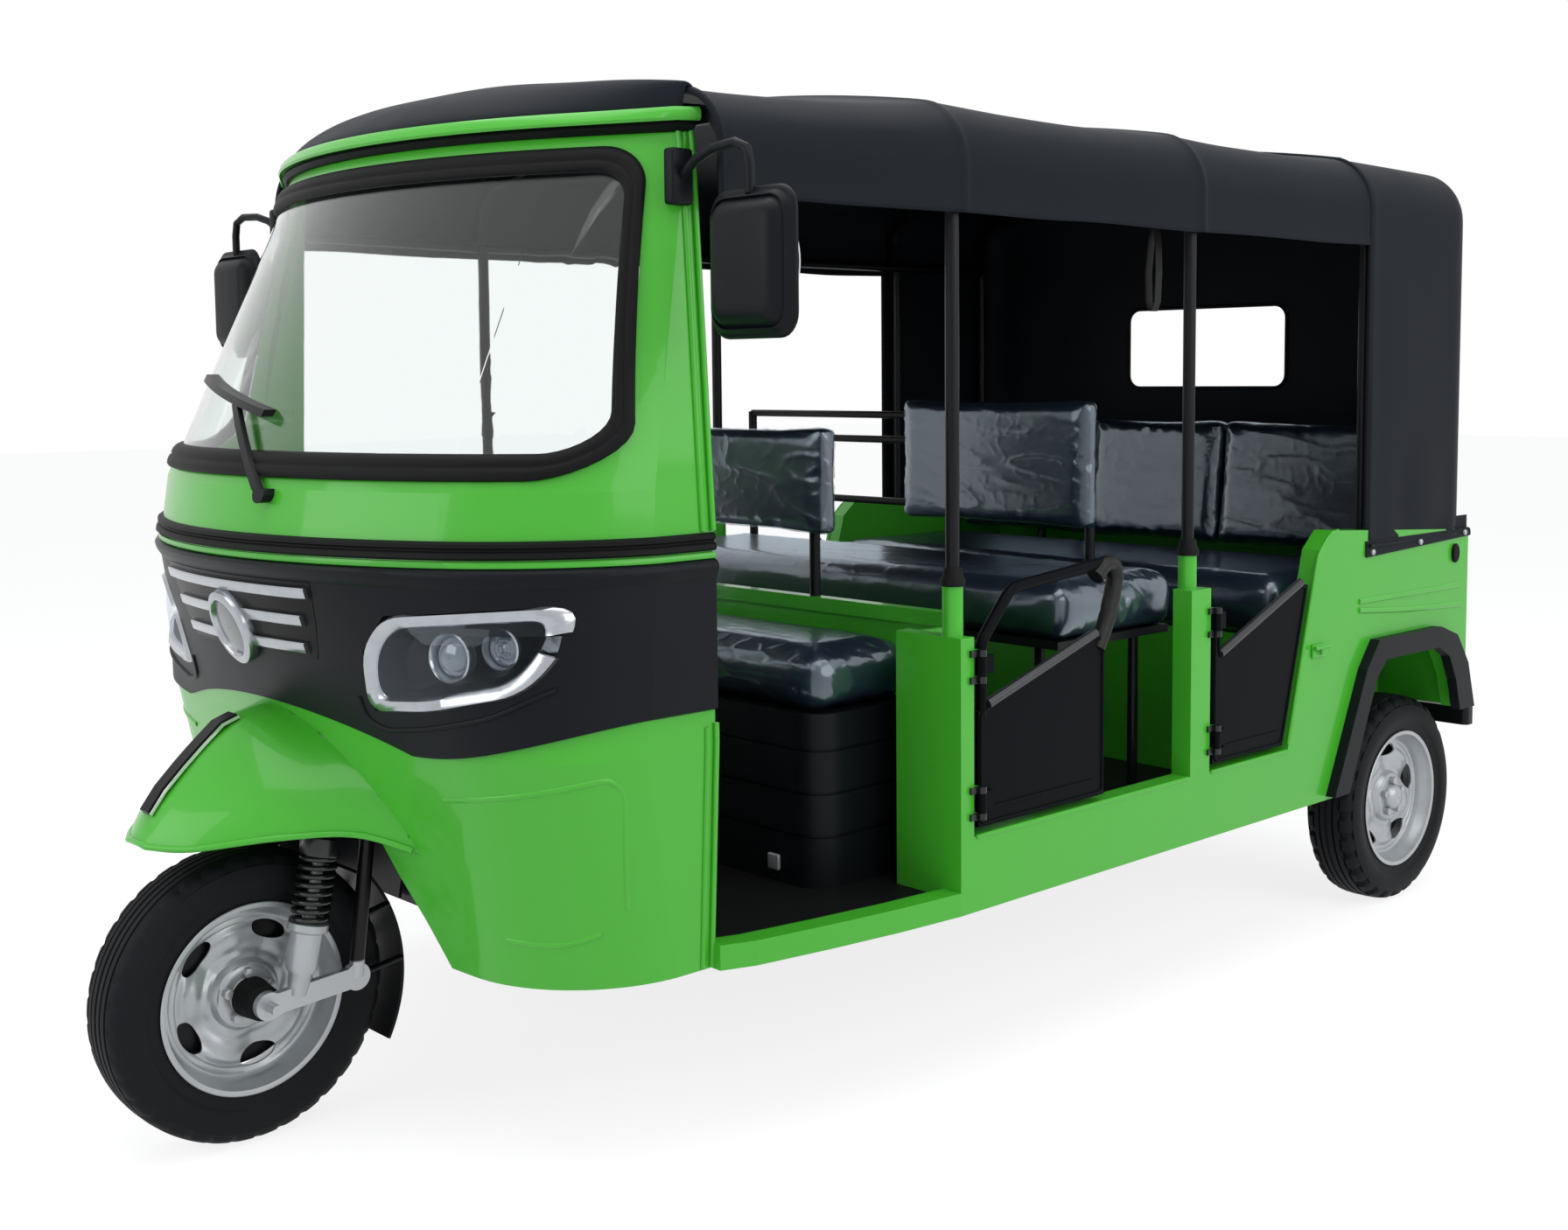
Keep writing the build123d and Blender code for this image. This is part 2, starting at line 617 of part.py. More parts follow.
with BuildPart() as housing_wall:
    with BuildSketch(side_plane(-HOUSING_HALF)):
        with BuildLine():
            Polyline(*yz([(HOUSING_REAR[0], BODY_BOTTOM), (HOUSING_REAR[1], HOUSING_TOP),
                          (-100.0, HOUSING_TOP), (-100.0, HOUSING_TOP + HOUSING_WALL),
                          (HOUSING_REAR[1] + HOUSING_WALL, HOUSING_TOP + HOUSING_WALL),
                          (HOUSING_REAR[0] + HOUSING_WALL, BODY_BOTTOM)]), close=True)
        make_face()
    extrude(amount=2 * HOUSING_HALF)
    with BuildSketch(side_plane(-HOUSING_HALF)):
        with BuildLine():
            Polyline(*yz([(HOUSING_REAR[0] + 1, BODY_BOTTOM), (HOUSING_REAR[1] + 1, HOUSING_TOP + 1),
                          (-100.0, HOUSING_TOP + 1), (-100.0, BODY_BOTTOM)]), close=True)
        make_face()
    extrude(amount=HOUSING_WALL)
    with BuildSketch(side_plane(HOUSING_HALF - HOUSING_WALL)):
        with BuildLine():
            Polyline(*yz([(HOUSING_REAR[0] + 1, BODY_BOTTOM), (HOUSING_REAR[1] + 1, HOUSING_TOP + 1),
                          (-100.0, HOUSING_TOP + 1), (-100.0, BODY_BOTTOM)]), close=True)
        make_face()
    extrude(amount=HOUSING_WALL)
housing_shell = (housing_wall.part & housing_front) - housing_slot

with BuildPart() as wheel_housing:
    add(housing_shell)
finish(wheel_housing, "wheel_housing")

FLOOR_FRONT = 352.0
FLOOR_HALF = BODY_HALF - SIDE_WALL
FLOOR_REAR = RAIL_STEP - RAIL_WIDTH
SILL_FRONT = 686.0             # the sill meets the cab here and widens to the side panel
SILL_SHARES = [(JAMB_STATION, 0.0), (560.0, 0.27), (705.0, 0.58), (854.0, 0.84), (995.0, 1.0)]
SILL_TAPER = [(station, SILL_FRONT + share * (BODY_HALF - SILL_FRONT)) for station, share in SILL_SHARES]
floor_edge = [(FLOOR_FRONT, 560.0), *[(station, x - SIDE_WALL) for station, x in SILL_TAPER],
              (FLOOR_REAR, FLOOR_HALF)]
neck_hole = bar_y(0, 380, 480, 100, 800, 2 * NECK_HALF + 2)

with BuildPart() as floor_pan:
    with BuildSketch(Plane.XY.offset(FLOOR_BOTTOM)):
        with BuildLine():
            Polyline(*[(x, y_at(station)) for station, x in floor_edge],
                     *[(-x, y_at(station)) for station, x in reversed(floor_edge)], close=True)
        make_face()
    extrude(amount=FLOOR_THICKNESS)
    add(neck_hole, mode=Mode.SUBTRACT)
finish(floor_pan, "floor_pan")

# ---- side bodies --------------------------------------------------------------------------------
SILL_TOP = 470.0
POST_FRONT = (995.0, CABIN_START)                    # stations of the front post's base
POST_REAR = (cabin(1695.0), cabin(1763.0))
POST_FRONT_TOP = 830.0
POST_REAR_TOP = 852.0
# Rear edge of the rear opening: station, z.
SLANT = [(cabin(2061.0), SILL_TOP), (cabin(2183.0), 898.0), (cabin(2232.0), 938.0)]
BELT_REAR = 900.0
QUARTER_BOTTOM = 460.0
# Edge of the wheel arch cut in the side panel, front foot to rear foot: distance behind the axle, z.
ARCH_AROUND_AXLE = [(-411.0, BODY_BOTTOM), (-295.0, 600.0), (-241.0, 648.0), (27.0, 648.0), (85.0, 620.0),
                    (137.0, 545.0), (165.0, QUARTER_BOTTOM)]
ARCH = [(WHEELBASE + behind, z) for behind, z in ARCH_AROUND_AXLE]
SIDE_OUTLINE = [
    (POST_FRONT[0], BODY_BOTTOM), *ARCH, (REAR_WALL, QUARTER_BOTTOM), (REAR_WALL, BELT_REAR),
    *reversed(SLANT), (POST_REAR[1], SILL_TOP), (POST_REAR[1], POST_REAR_TOP), (POST_REAR[0], POST_REAR_TOP),
    (POST_REAR[0], SILL_TOP), (POST_FRONT[1], SILL_TOP), (POST_FRONT[1], POST_FRONT_TOP),
    (POST_FRONT[0], POST_FRONT_TOP),
]
POST_INNER = BODY_HALF - 157   # inner edge of the front post's wide base
POST_X = CANOPY_HALF - 25      # roof posts stand here
POST_RADIUS = 12.5
SOCKET_RADIUS = 19.0
SOCKET_TOP = 920.0
HINGE_X = BODY_HALF + 9.0
PIN_RADIUS = 4.0
KNUCKLE_RADIUS = 8.0
KNUCKLE_HALF = 17.0
LUG_HEIGHT = 12.0
LUG_GAP = 1.0
# door, station of its hinge axis, hinge heights
DOOR_HINGES = [("front", cabin(1042.0), (531.0, 777.0)), ("rear", cabin(1776.0), (537.0, 781.0))]


def mirrored(part):
    return mirror(part, about=Plane.YZ)


def upright(x, station, z_low, z_high, radius):
    return extrude(Plane.XY.offset(z_low) * Pos(x, y_at(station)) * Circle(radius), amount=z_high - z_low)


def sill_step():
    """Low sill of the driver's doorway, drawn in to the cab."""
    outer = [(x, y_at(station)) for station, x in SILL_TAPER]
    inner = [(x - SIDE_WALL, y) for x, y in reversed(outer)]
    with BuildPart() as step:
        with BuildSketch(Plane.XY.offset(BODY_BOTTOM)):
            with BuildLine():
                Polyline(*outer, (BODY_HALF, y_at(1000.0)), (FLOOR_HALF, y_at(1000.0)), *inner, close=True)
            make_face()
        extrude(amount=FLOOR_TOP + 14 - BODY_BOTTOM)
    return step.part


hinge_lugs = []
for _, station, heights in DOOR_HINGES:
    for z in heights:
        low, high = z - KNUCKLE_HALF - LUG_GAP, z + KNUCKLE_HALF + LUG_GAP
        for z_low, z_high in ((low - LUG_HEIGHT, low), (high, high + LUG_HEIGHT)):
            hinge_lugs.append(upright(HINGE_X, station, z_low, z_high, KNUCKLE_RADIUS))
            hinge_lugs.append(bar_y(BODY_HALF - 2, station - 26, station - 2, z_low, z_high, 16))
        hinge_lugs.append(upright(HINGE_X, station, low - LUG_HEIGHT, high + LUG_HEIGHT, PIN_RADIUS))
post_base = bar_y((POST_INNER + BODY_HALF) / 2, *POST_FRONT, FLOOR_TOP, POST_FRONT_TOP,
                  BODY_HALF - POST_INNER)
driver_sill = sill_step()
sockets = [upright(POST_X, sum(stations) / 2, top, SOCKET_TOP, SOCKET_RADIUS)
           for stations, top in ((POST_FRONT, POST_FRONT_TOP), (POST_REAR, POST_REAR_TOP))]

with BuildPart() as side_body:
    with BuildSketch(side_plane(BODY_HALF - SIDE_WALL)):
        with BuildLine():
            Polyline(*yz(SIDE_OUTLINE), close=True)
        make_face()
    extrude(amount=SIDE_WALL)
    add([driver_sill, post_base])
    add(hinge_lugs)
    add(sockets)
left_side = side_body.part

with BuildPart() as side_bodies:
    add([left_side, mirrored(left_side)])
finish(side_bodies, "side_bodies")

# ---- doors --------------------------------------------------------------------------------------
DOOR_THICKNESS = 20.0
DOOR_OUTER = BODY_HALF - 7.0
DOOR_BOTTOM = SILL_TOP + DOOR_GAP
HOOP_RADIUS = 11.0
# Outlines from the front bottom corner up and round: station, z.
DOOR_OUTLINES = {
    "front": [(1050.0, DOOR_BOTTOM), (1050.0, 692.0), (1075.0, 700.0), (1392.0, 797.0), (1416.0, 790.0),
              (1416.0, DOOR_BOTTOM)],
    "rear": [(1784.0, DOOR_BOTTOM), (1784.0, 802.0), (1802.0, 802.0), (1812.0, 708.0), (2120.0, 830.0),
             (2146.0, 824.0), (2050.0, DOOR_BOTTOM)],
}
HOOP_ROUTE = [(1068.0, 680.0), (1068.0, 815.0), (1150.0, 905.0), (1470.0, 935.0), (1440.0, 830.0),
              (1400.0, 760.0)]
HOOP_FILLETS = [40.0, 55.0, 24.0, 60.0]


def door_leaf(kind, hinge_station, heights):
    door_mid = DOOR_OUTER - DOOR_THICKNESS / 2
    with BuildPart() as door:
        with BuildSketch(side_plane(DOOR_OUTER - DOOR_THICKNESS)):
            with BuildLine():
                Polyline(*yz([(cabin(station), z) for station, z in DOOR_OUTLINES[kind]]), close=True)
            make_face()
        extrude(amount=DOOR_THICKNESS)
        if kind == "front":
            with BuildLine(side_plane(door_mid)) as route:
                FilletPolyline(*yz([(cabin(station), z) for station, z in HOOP_ROUTE]),
                               radius=[radius * min(1, CABIN_SCALE) for radius in HOOP_FILLETS])
            with BuildSketch(Plane(origin=route.line @ 0, z_dir=route.line % 0)):
                Circle(HOOP_RADIUS)
            sweep(path=route.line)
    knuckles = []
    for z in heights:
        barrel = upright(HINGE_X, hinge_station, z - KNUCKLE_HALF, z + KNUCKLE_HALF, KNUCKLE_RADIUS)
        leaf = bar_y(DOOR_OUTER + 4, hinge_station, hinge_station + 40, z - KNUCKLE_HALF, z + KNUCKLE_HALF, 9)
        bore = upright(HINGE_X, hinge_station, z - 60, z + 60, PIN_RADIUS + RUNNING_GAP)
        knuckles.append((barrel + leaf) - bore)
    return door.part + knuckles


for kind, hinge_station, heights in DOOR_HINGES:
    leaf = door_leaf(kind, hinge_station, heights)
    for side_name, door_part in (("left", leaf), ("right", mirrored(leaf))):
        with BuildPart() as door_node:
            add(door_part)
        finish(door_node, f"door_{kind}_{side_name}")

# ---- rear: flares, panel, lamps, bumper ---------------------------------------------------------
FLARE_PROUD = 24.0
# Outline of a flare over its top and back underneath: distance behind the axle, z.
FLARE_OUTLINE = [(-451.0, 341.0), (-320.0, 615.0), (-267.0, 677.0), (27.0, 677.0), (107.0, 650.0),
                 (165.0, 575.0), (201.0, 462.0), (127.0, 462.0), (103.0, 540.0), (69.0, 600.0),
                 (17.0, 628.0), (-233.0, 628.0), (-275.0, 590.0), (-389.0, 341.0)]

with BuildPart() as flare:
    with BuildSketch(side_plane(BODY_HALF)):
        with BuildLine():
            Polyline(*yz([(WHEELBASE + behind, z) for behind, z in FLARE_OUTLINE]), close=True)
        make_face()
    extrude(amount=FLARE_PROUD)

with BuildPart() as wheel_arch_flares:
    add([flare.part, mirrored(flare.part)])
finish(wheel_arch_flares, "wheel_arch_flares")

PANEL_FRONT = REAR_WALL - PANEL
PLATE_HOLE_SPACING = 180.0
PLATE_HOLE_RADIUS = 3.5
PLATE_Z = 640.0
LAMP_X = FLOOR_HALF - 92
LAMP_Z = 640.0
LAMP_SIZE = (70.0, 170.0)
LAMP_DEPTH = 22.0

rear_plane = Plane(origin=(0, y_at(REAR_WALL), 0), x_dir=(-1, 0, 0), z_dir=(0, 1, 0))

with BuildPart() as rear_panel:
    with BuildSketch(rear_plane):
        with Locations((0, (QUARTER_BOTTOM + BELT_REAR) / 2)):
            Rectangle(2 * FLOOR_HALF, BELT_REAR - QUARTER_BOTTOM)
        with Locations((0, PLATE_Z)):
            with GridLocations(PLATE_HOLE_SPACING, 0, 2, 1):
                Circle(PLATE_HOLE_RADIUS, mode=Mode.SUBTRACT)
    extrude(amount=-PANEL)
finish(rear_panel, "rear_panel")

with BuildPart() as rear_lamps:
    with BuildSketch(rear_plane):
        with Locations((LAMP_X, LAMP_Z), (-LAMP_X, LAMP_Z)):
            RectangleRounded(*LAMP_SIZE, 12)
    extrude(amount=LAMP_DEPTH)
finish(rear_lamps, "rear_lamps")

BUMPER_Z = (398.0, 443.0)
BUMPER_HALF = BODY_HALF - 22
BUMPER_DEPTH = 42.0
BRACKET_X = 360.0

brackets = [bar_y(x, REAR_WALL - PANEL - 8, BUMPER_END - BUMPER_DEPTH, REAR_RAIL_Z + 2, REAR_RAIL_Z + 28, 30)
            for x in (-BRACKET_X, BRACKET_X)]

with BuildPart() as rear_bumper:
    with BuildSketch(Plane.XY.offset(BUMPER_Z[0])):
        with Locations((0, y_at(BUMPER_END - BUMPER_DEPTH / 2))):
            RectangleRounded(2 * BUMPER_HALF, BUMPER_DEPTH, 14)
    extrude(amount=BUMPER_Z[1] - BUMPER_Z[0])
    add(brackets)
finish(rear_bumper, "rear_bumper")

# ---- rear axle and springs ----------------------------------------------------------------------
AXLE_TUBE_RADIUS = 32.0
AXLE_TUBE_END = REAR_HALF_TRACK - 75
DRUM_RADIUS = 105.0
DRUM_DEPTH = 22.0
MOTOR_RADIUS = 88.0
MOTOR_FRONT = WHEELBASE - 233
SPRING_WIDTH = 45.0
SPRING_STACK = 24.0
SPRING_FRONT = (WHEELBASE - 323, 404.0)
SPRING_MIDDLE = (WHEELBASE - 33, 299.0)
SPRING_REAR = (WHEELBASE + 165, 372.0)


def bar_round(x_low, x_high, station, z, radius):
    end = Plane(origin=(x_low, y_at(station), z), z_dir=(1, 0, 0))
    return extrude(end * Circle(radius), amount=x_high - x_low)


axle_pieces = [bar_round(-AXLE_TUBE_END, AXLE_TUBE_END, WHEELBASE, TYRE_RADIUS, AXLE_TUBE_RADIUS),
               bar_round(-125, 125, WHEELBASE, TYRE_RADIUS, MOTOR_RADIUS),
               rod((0, MOTOR_FRONT, TYRE_RADIUS), (0, WHEELBASE, TYRE_RADIUS), MOTOR_RADIUS - 6)]
stub_end = REAR_HALF_TRACK + HUB_FRONT + 6
for side in (1, -1):
    ends = sorted((side * AXLE_TUBE_END, side * stub_end))
    drum = sorted((side * (AXLE_TUBE_END - 4), side * (AXLE_TUBE_END - 4 + DRUM_DEPTH)))
    x = side * RAIL_X
    axle_pieces += [
        bar_round(*ends, WHEELBASE, TYRE_RADIUS, REAR_AXLE_RADIUS),
        bar_round(*drum, WHEELBASE, TYRE_RADIUS, DRUM_RADIUS),
        bar_y(x, WHEELBASE - 40, WHEELBASE + 40, TYRE_RADIUS + 24, SPRING_MIDDLE[1] + 6, SPRING_WIDTH + 8),
        bar_y(x, SPRING_FRONT[0] - 22, SPRING_FRONT[0] + 22, SPRING_FRONT[1] - 16, REAR_RAIL_Z, 36),
        bar_y(x, SPRING_REAR[0] - 18, SPRING_REAR[0] + 18, SPRING_REAR[1] - 16, REAR_RAIL_Z, 36),
    ]

stack_front = (SPRING_FRONT[0], SPRING_FRONT[1] + SPRING_STACK / 2)
stack_middle = (SPRING_MIDDLE[0], SPRING_MIDDLE[1] + SPRING_STACK)
stack_rear = (SPRING_REAR[0], SPRING_REAR[1] + SPRING_STACK / 2)

with BuildPart() as leaf_pack:
    with BuildSketch(side_plane(RAIL_X - SPRING_WIDTH / 2)):
        with BuildLine():
            ThreePointArc(*yz([SPRING_FRONT, SPRING_MIDDLE, SPRING_REAR]))
            Line(*yz([SPRING_REAR, stack_rear]))
            ThreePointArc(*yz([stack_rear, stack_middle, stack_front]))
            Line(*yz([stack_front, SPRING_FRONT]))
        make_face()
    extrude(amount=SPRING_WIDTH)
leaf_right = mirrored(leaf_pack.part)

with BuildPart() as rear_axle:
    add(axle_pieces)
    add([leaf_pack.part, leaf_right])
finish(rear_axle, "rear_axle")

# ---- seats --------------------------------------------------------------------------------------
DRIVER_BOX = (850.0, 1110.0)   # stations of the driver's seat box
DRIVER_BOX_HALF = POST_INNER - 60
DRIVER_BOX_TOP = 682.0
DRIVER_BOX_CORNER = 62.0
DRIVER_CUSHION_TOP = 800.0
GROOVE_LEVELS = [452.0, 532.0, 612.0]
GROOVE_DEPTH = 5.0
GROOVE_HEIGHT = 6.0
CUSHION_OVERHANG = 8.0         # the cushion's edge outside its box
PARTITION = 1130.0             # station of the partition's front face
PARTITION_TOP = 822.0
RAIL_SIZE = 28.0
PAD_THICKNESS = 48.0
PAD_CORNER = 30.0


def rounded_slab(half, front, rear, z_low, z_high, corner):
    outline = Pos(0, y_at((front + rear) / 2)) * RectangleRounded(2 * half, rear - front, corner)
    return extrude(Plane.XY.offset(z_low) * outline, amount=z_high - z_low)


driver_box = rounded_slab(DRIVER_BOX_HALF, *DRIVER_BOX, FLOOR_TOP, DRIVER_BOX_TOP, DRIVER_BOX_CORNER)


def around_driver_box(outset, z_low, z_high):
    """Slab with the driver's box outline moved outwards."""
    return rounded_slab(DRIVER_BOX_HALF + outset, DRIVER_BOX[0] - outset, DRIVER_BOX[1] + outset, z_low,
                        z_high, DRIVER_BOX_CORNER + outset)


def groove(z):
    outside = around_driver_box(GROOVE_DEPTH, z, z + GROOVE_HEIGHT)
    return outside - around_driver_box(-GROOVE_DEPTH, z, z + GROOVE_HEIGHT)


grooves = [groove(z) for z in GROOVE_LEVELS]
driver_pad = around_driver_box(CUSHION_OVERHANG, DRIVER_BOX_TOP + PIECE_GAP, DRIVER_CUSHION_TOP)

with BuildPart() as driver_seat_base:
    add(driver_box - grooves)
finish(driver_seat_base, "driver_seat_base")

with BuildPart() as driver_seat_cushion:
    add(driver_pad)
finish(driver_seat_cushion, "driver_seat_cushion")

panel_pieces = [bar_y(0, PARTITION, PARTITION + PANEL, FLOOR_TOP, PARTITION_TOP, 2 * POST_INNER),
                bar_y(0, PARTITION - 8, PARTITION - 8 + RAIL_SIZE, PARTITION_TOP, PARTITION_TOP + RAIL_SIZE,
                      2 * POST_INNER)]
for side in (1, -1):
    panel_pieces.append(bar_y(side * (POST_INNER - PANEL / 2), POST_FRONT[1], PARTITION + 1, FLOOR_TOP,
                              PARTITION_TOP, PANEL))

with BuildPart() as partition_panel:
    add(panel_pieces)
finish(partition_panel, "partition_panel")

BACKREST_POST = PARTITION + 8          # station of the driver's backrest posts
DRIVER_BACK_HALF = 335.0
DRIVER_BACK_POST_X = 250.0
DRIVER_BACK_Z = (978.0, 1192.0)
FRAME_RADIUS = 11.0
BENCH_FRAME_Z = 756.0
MIDDLE_BENCH = (cabin(1384.0), cabin(1782.0))
MIDDLE_HALF = FLOOR_HALF - 42
MIDDLE_TOP = 882.0
MIDDLE_CORNER = 40.0
LEG_STATIONS = (cabin(1430.0), cabin(1740.0))
LEG_HALF = MIDDLE_HALF - 90
MIDDLE_BACK_X = (-85.0, 470.0)
MIDDLE_BACK_Z = (952.0, 1236.0)
MIDDLE_BACK_STATION = cabin(1800.0)    # rails behind the middle backrest
MIDDLE_RAILS = [985.0, 1135.0, 1195.0]
MIDDLE_RAIL_ENDS = (8 - MIDDLE_HALF, 430.0)
REAR_BASE_FRONT = WHEELBASE - 533
REAR_BASE_TOP = 700.0
REAR_BASE_REAR = REAR_WALL - 30
REAR_BASE_HALF = FLOOR_HALF - 7
WELL_HALF = REAR_HALF_TRACK - TYRE_HALF_WIDTH - 34     # inside of the wheel wells
WELL_FRONT = WHEELBASE - 281
REAR_BENCH = (WHEELBASE - 561, WHEELBASE - 73)
REAR_BENCH_HALF = REAR_BASE_HALF - 13
REAR_BENCH_TOP = 838.0
REAR_BENCH_CORNER = 50.0
REAR_BACK_HALF = REAR_BENCH_HALF - 38
REAR_BACK_OUTLINE = [(WHEELBASE + behind, z)
                     for behind, z in ((-69.0, 842.0), (-33.0, 1165.0), (39.0, 1165.0), (3.0, 842.0))]
REAR_BACK_POST_X = 420.0

frame_tubes = []
for x in (-DRIVER_BACK_POST_X, DRIVER_BACK_POST_X):
    frame_tubes.append(upright(x, BACKREST_POST, PARTITION_TOP + RAIL_SIZE, DRIVER_BACK_Z[1] - 20,
                               FRAME_RADIUS))
bench_tubes = [bar_y(0, MIDDLE_BENCH[0] + 16, MIDDLE_BENCH[1] - 16, BENCH_FRAME_Z - 4, BENCH_FRAME_Z + 12,
                     2 * MIDDLE_HALF - 40)]
for station in LEG_STATIONS:
    for x in (-LEG_HALF, LEG_HALF):
        bench_tubes.append(upright(x, station, FLOOR_TOP, BENCH_FRAME_Z, FRAME_RADIUS))
for z in MIDDLE_RAILS:
    bench_tubes.append(bar_round(*MIDDLE_RAIL_ENDS, MIDDLE_BACK_STATION, z, 0.8 * FRAME_RADIUS))
for x in MIDDLE_RAIL_ENDS:
    bench_tubes.append(rod((x, MIDDLE_BENCH[1] - 30, BENCH_FRAME_Z), (x, MIDDLE_BENCH[1] + 12, BENCH_FRAME_Z),
                           FRAME_RADIUS))
    bench_tubes.append(upright(x, MIDDLE_BACK_STATION, BENCH_FRAME_Z - 8, MIDDLE_RAILS[-1] + 4, FRAME_RADIUS))
back_top, back_foot = REAR_BACK_OUTLINE[2:]
back_lean = (back_top[0] - back_foot[0]) / (back_top[1] - back_foot[1])


def behind_back(z):
    """Station of the posts that carry the rear backrest, at a height."""
    return back_foot[0] + (z - back_foot[1]) * back_lean + FRAME_RADIUS + 2 * PIECE_GAP


post_ends = (REAR_BASE_TOP - 40, REAR_BACK_OUTLINE[2][1] - 20)
back_posts = [rod((x, behind_back(post_ends[0]), post_ends[0]), (x, behind_back(post_ends[1]), post_ends[1]),
                  FRAME_RADIUS) for x in (-REAR_BACK_POST_X, REAR_BACK_POST_X)]

with BuildPart() as rear_pad:
    with BuildSketch(side_plane(-REAR_BACK_HALF)):
        with BuildLine():
            Polyline(*yz(REAR_BACK_OUTLINE), close=True)
        make_face()
    extrude(amount=2 * REAR_BACK_HALF)
back_posts = [post - rear_pad.part - below(REAR_BASE_TOP) for post in back_posts]

with BuildPart() as seat_frames:
    add(frame_tubes)
    add(bench_tubes)
    add(back_posts)
finish(seat_frames, "seat_frames")

driver_back_rear = BACKREST_POST - FRAME_RADIUS - PIECE_GAP
driver_back = bar_y(0, driver_back_rear - PAD_THICKNESS, driver_back_rear, *DRIVER_BACK_Z,
                    2 * DRIVER_BACK_HALF)
middle_pad = rounded_slab(MIDDLE_HALF, *MIDDLE_BENCH, BENCH_FRAME_Z + 12 + PIECE_GAP, MIDDLE_TOP,
                          MIDDLE_CORNER)
middle_back_rear = MIDDLE_BACK_STATION - FRAME_RADIUS - PIECE_GAP
middle_back = bar_y(sum(MIDDLE_BACK_X) / 2, middle_back_rear - PAD_THICKNESS, middle_back_rear,
                    *MIDDLE_BACK_Z, MIDDLE_BACK_X[1] - MIDDLE_BACK_X[0])
rear_bench_pad = rounded_slab(REAR_BENCH_HALF, *REAR_BENCH, REAR_BASE_TOP + PIECE_GAP, REAR_BENCH_TOP,
                              REAR_BENCH_CORNER)
base_pieces = [
    bar_y(0, REAR_BASE_FRONT, REAR_BASE_FRONT + PANEL, FLOOR_TOP, REAR_BASE_TOP, 2 * REAR_BASE_HALF),
    bar_y(0, REAR_BASE_FRONT, REAR_BASE_REAR, REAR_BASE_TOP - PANEL, REAR_BASE_TOP, 2 * REAR_BASE_HALF),
]
for side in (1, -1):
    base_pieces += [
        bar_y(side * (WELL_HALF - PANEL / 2), REAR_BASE_FRONT, REAR_BASE_REAR, FLOOR_TOP, REAR_BASE_TOP,
              PANEL),
        bar_y(side * (WELL_HALF + REAR_BASE_HALF) / 2, WELL_FRONT - PANEL, WELL_FRONT, FLOOR_TOP,
              REAR_BASE_TOP,
              REAR_BASE_HALF - WELL_HALF),
    ]
BATTERY = (REAR_BASE_FRONT + 30, WHEELBASE - 113)      # stations of its front and rear
BATTERY_TOP = 640.0
BATTERY_HALF = 330.0
battery_block = bar_y(0, *BATTERY, REAR_RAIL_Z + RAIL_WIDTH, BATTERY_TOP, 2 * BATTERY_HALF)

with BuildPart() as bench_cushions:
    add([middle_pad, rear_bench_pad])
finish(bench_cushions, "bench_cushions")

with BuildPart() as backrests:
    add([driver_back, middle_back])
    fillet(backrests.edges().filter_by(Axis.Y), PAD_CORNER)
    add(rear_pad.part)
finish(backrests, "backrests")

with BuildPart() as rear_seat_base:
    add(base_pieces)
finish(rear_seat_base, "rear_seat_base")

with BuildPart() as battery_pack:
    add(battery_block)
finish(battery_pack, "battery_pack")

# ---- dashboard ----------------------------------------------------------------------------------
DASH_Z = (900.0, 985.0)
DASH_REAR = 300.0
dash_space = cab_loft(LEG_LEVELS, -CAB_WALL - PIECE_GAP)
dash_slab = bar_y(0, -300, DASH_REAR, *DASH_Z, 2000)
dash_block = dash_space & dash_slab

with BuildPart() as dashboard:
    add(dash_block)
finish(dashboard, "dashboard")

# ---- roof ---------------------------------------------------------------------------------------
# Sections of the canopy: station, half width, z where the wall starts to turn in, crown z.
CANOPY_SECTIONS = [
    (490.0, CAB_SECTIONS[4][4] + 78, 1654.0, 1786.0),
    (1030.0, CANOPY_HALF, 1655.0, 1826.0),
    (CURTAIN_FRONT + 10, CANOPY_HALF, 1655.0, 1824.0),
    (REAR_WALL - 70, CANOPY_HALF, 1650.0, 1816.0),
    (REAR_WALL, CANOPY_HALF - 22, 1636.0, 1768.0),
]
SHOULDER = 79.0                # how far the shoulder turns in
SHOULDER_RISE = 0.6            # share of the rise to the crown made by the shoulder
CURTAIN_CORNER = 55.0
WINDOW_HALF = 252.0
WINDOW_Z = (1246.0, 1468.0)
WINDOW_CORNER = 34.0
CAP_SECTIONS = [
    # z, nose station, knee x, knee station, side x, side station
    (HEADER_TOP + PIECE_GAP, 268.0, 452.0, 384.0, 652.0, 490.0),
    (1742.0, 322.0, 452.0, 418.0, 640.0, 492.0),
    (1776.0, 448.0, 400.0, 474.0, 560.0, 494.0),
]
RAIL_Z = HEM_Z + 22
ROOF_RAIL_RADIUS = 11.0
BOW_RADIUS = 9.0
POST_STATIONS = [sum(POST_FRONT) / 2, sum(POST_REAR) / 2]
REAR_POSTS = [CURTAIN_FRONT + 25, REAR_WALL - 85]
BOW_STATIONS = [520.0, *POST_STATIONS, CURTAIN_FRONT + 12, REAR_POSTS[1]]


def canopy_outline(half, turn_z, crown, inset, base):
    """Half-round roof section: wall, shoulder arc and crown arc, mirrored."""
    rise = crown - turn_z
    shoulder_z = turn_z + SHOULDER_RISE * rise
    wall = (half - inset, turn_z)
    turn = (half - 0.25 * SHOULDER - 0.8 * inset, turn_z + 0.62 * (shoulder_z - turn_z) - 0.6 * inset)
    shoulder = (half - SHOULDER - 0.25 * inset, shoulder_z - 0.97 * inset)
    middle = (half / 2, crown - 0.27 * (crown - shoulder_z) - inset)
    top = (0, crown - inset)
    right = [(half - inset, base), wall, turn, shoulder, middle, top]
    return right, [(-x, z) for x, z in right]


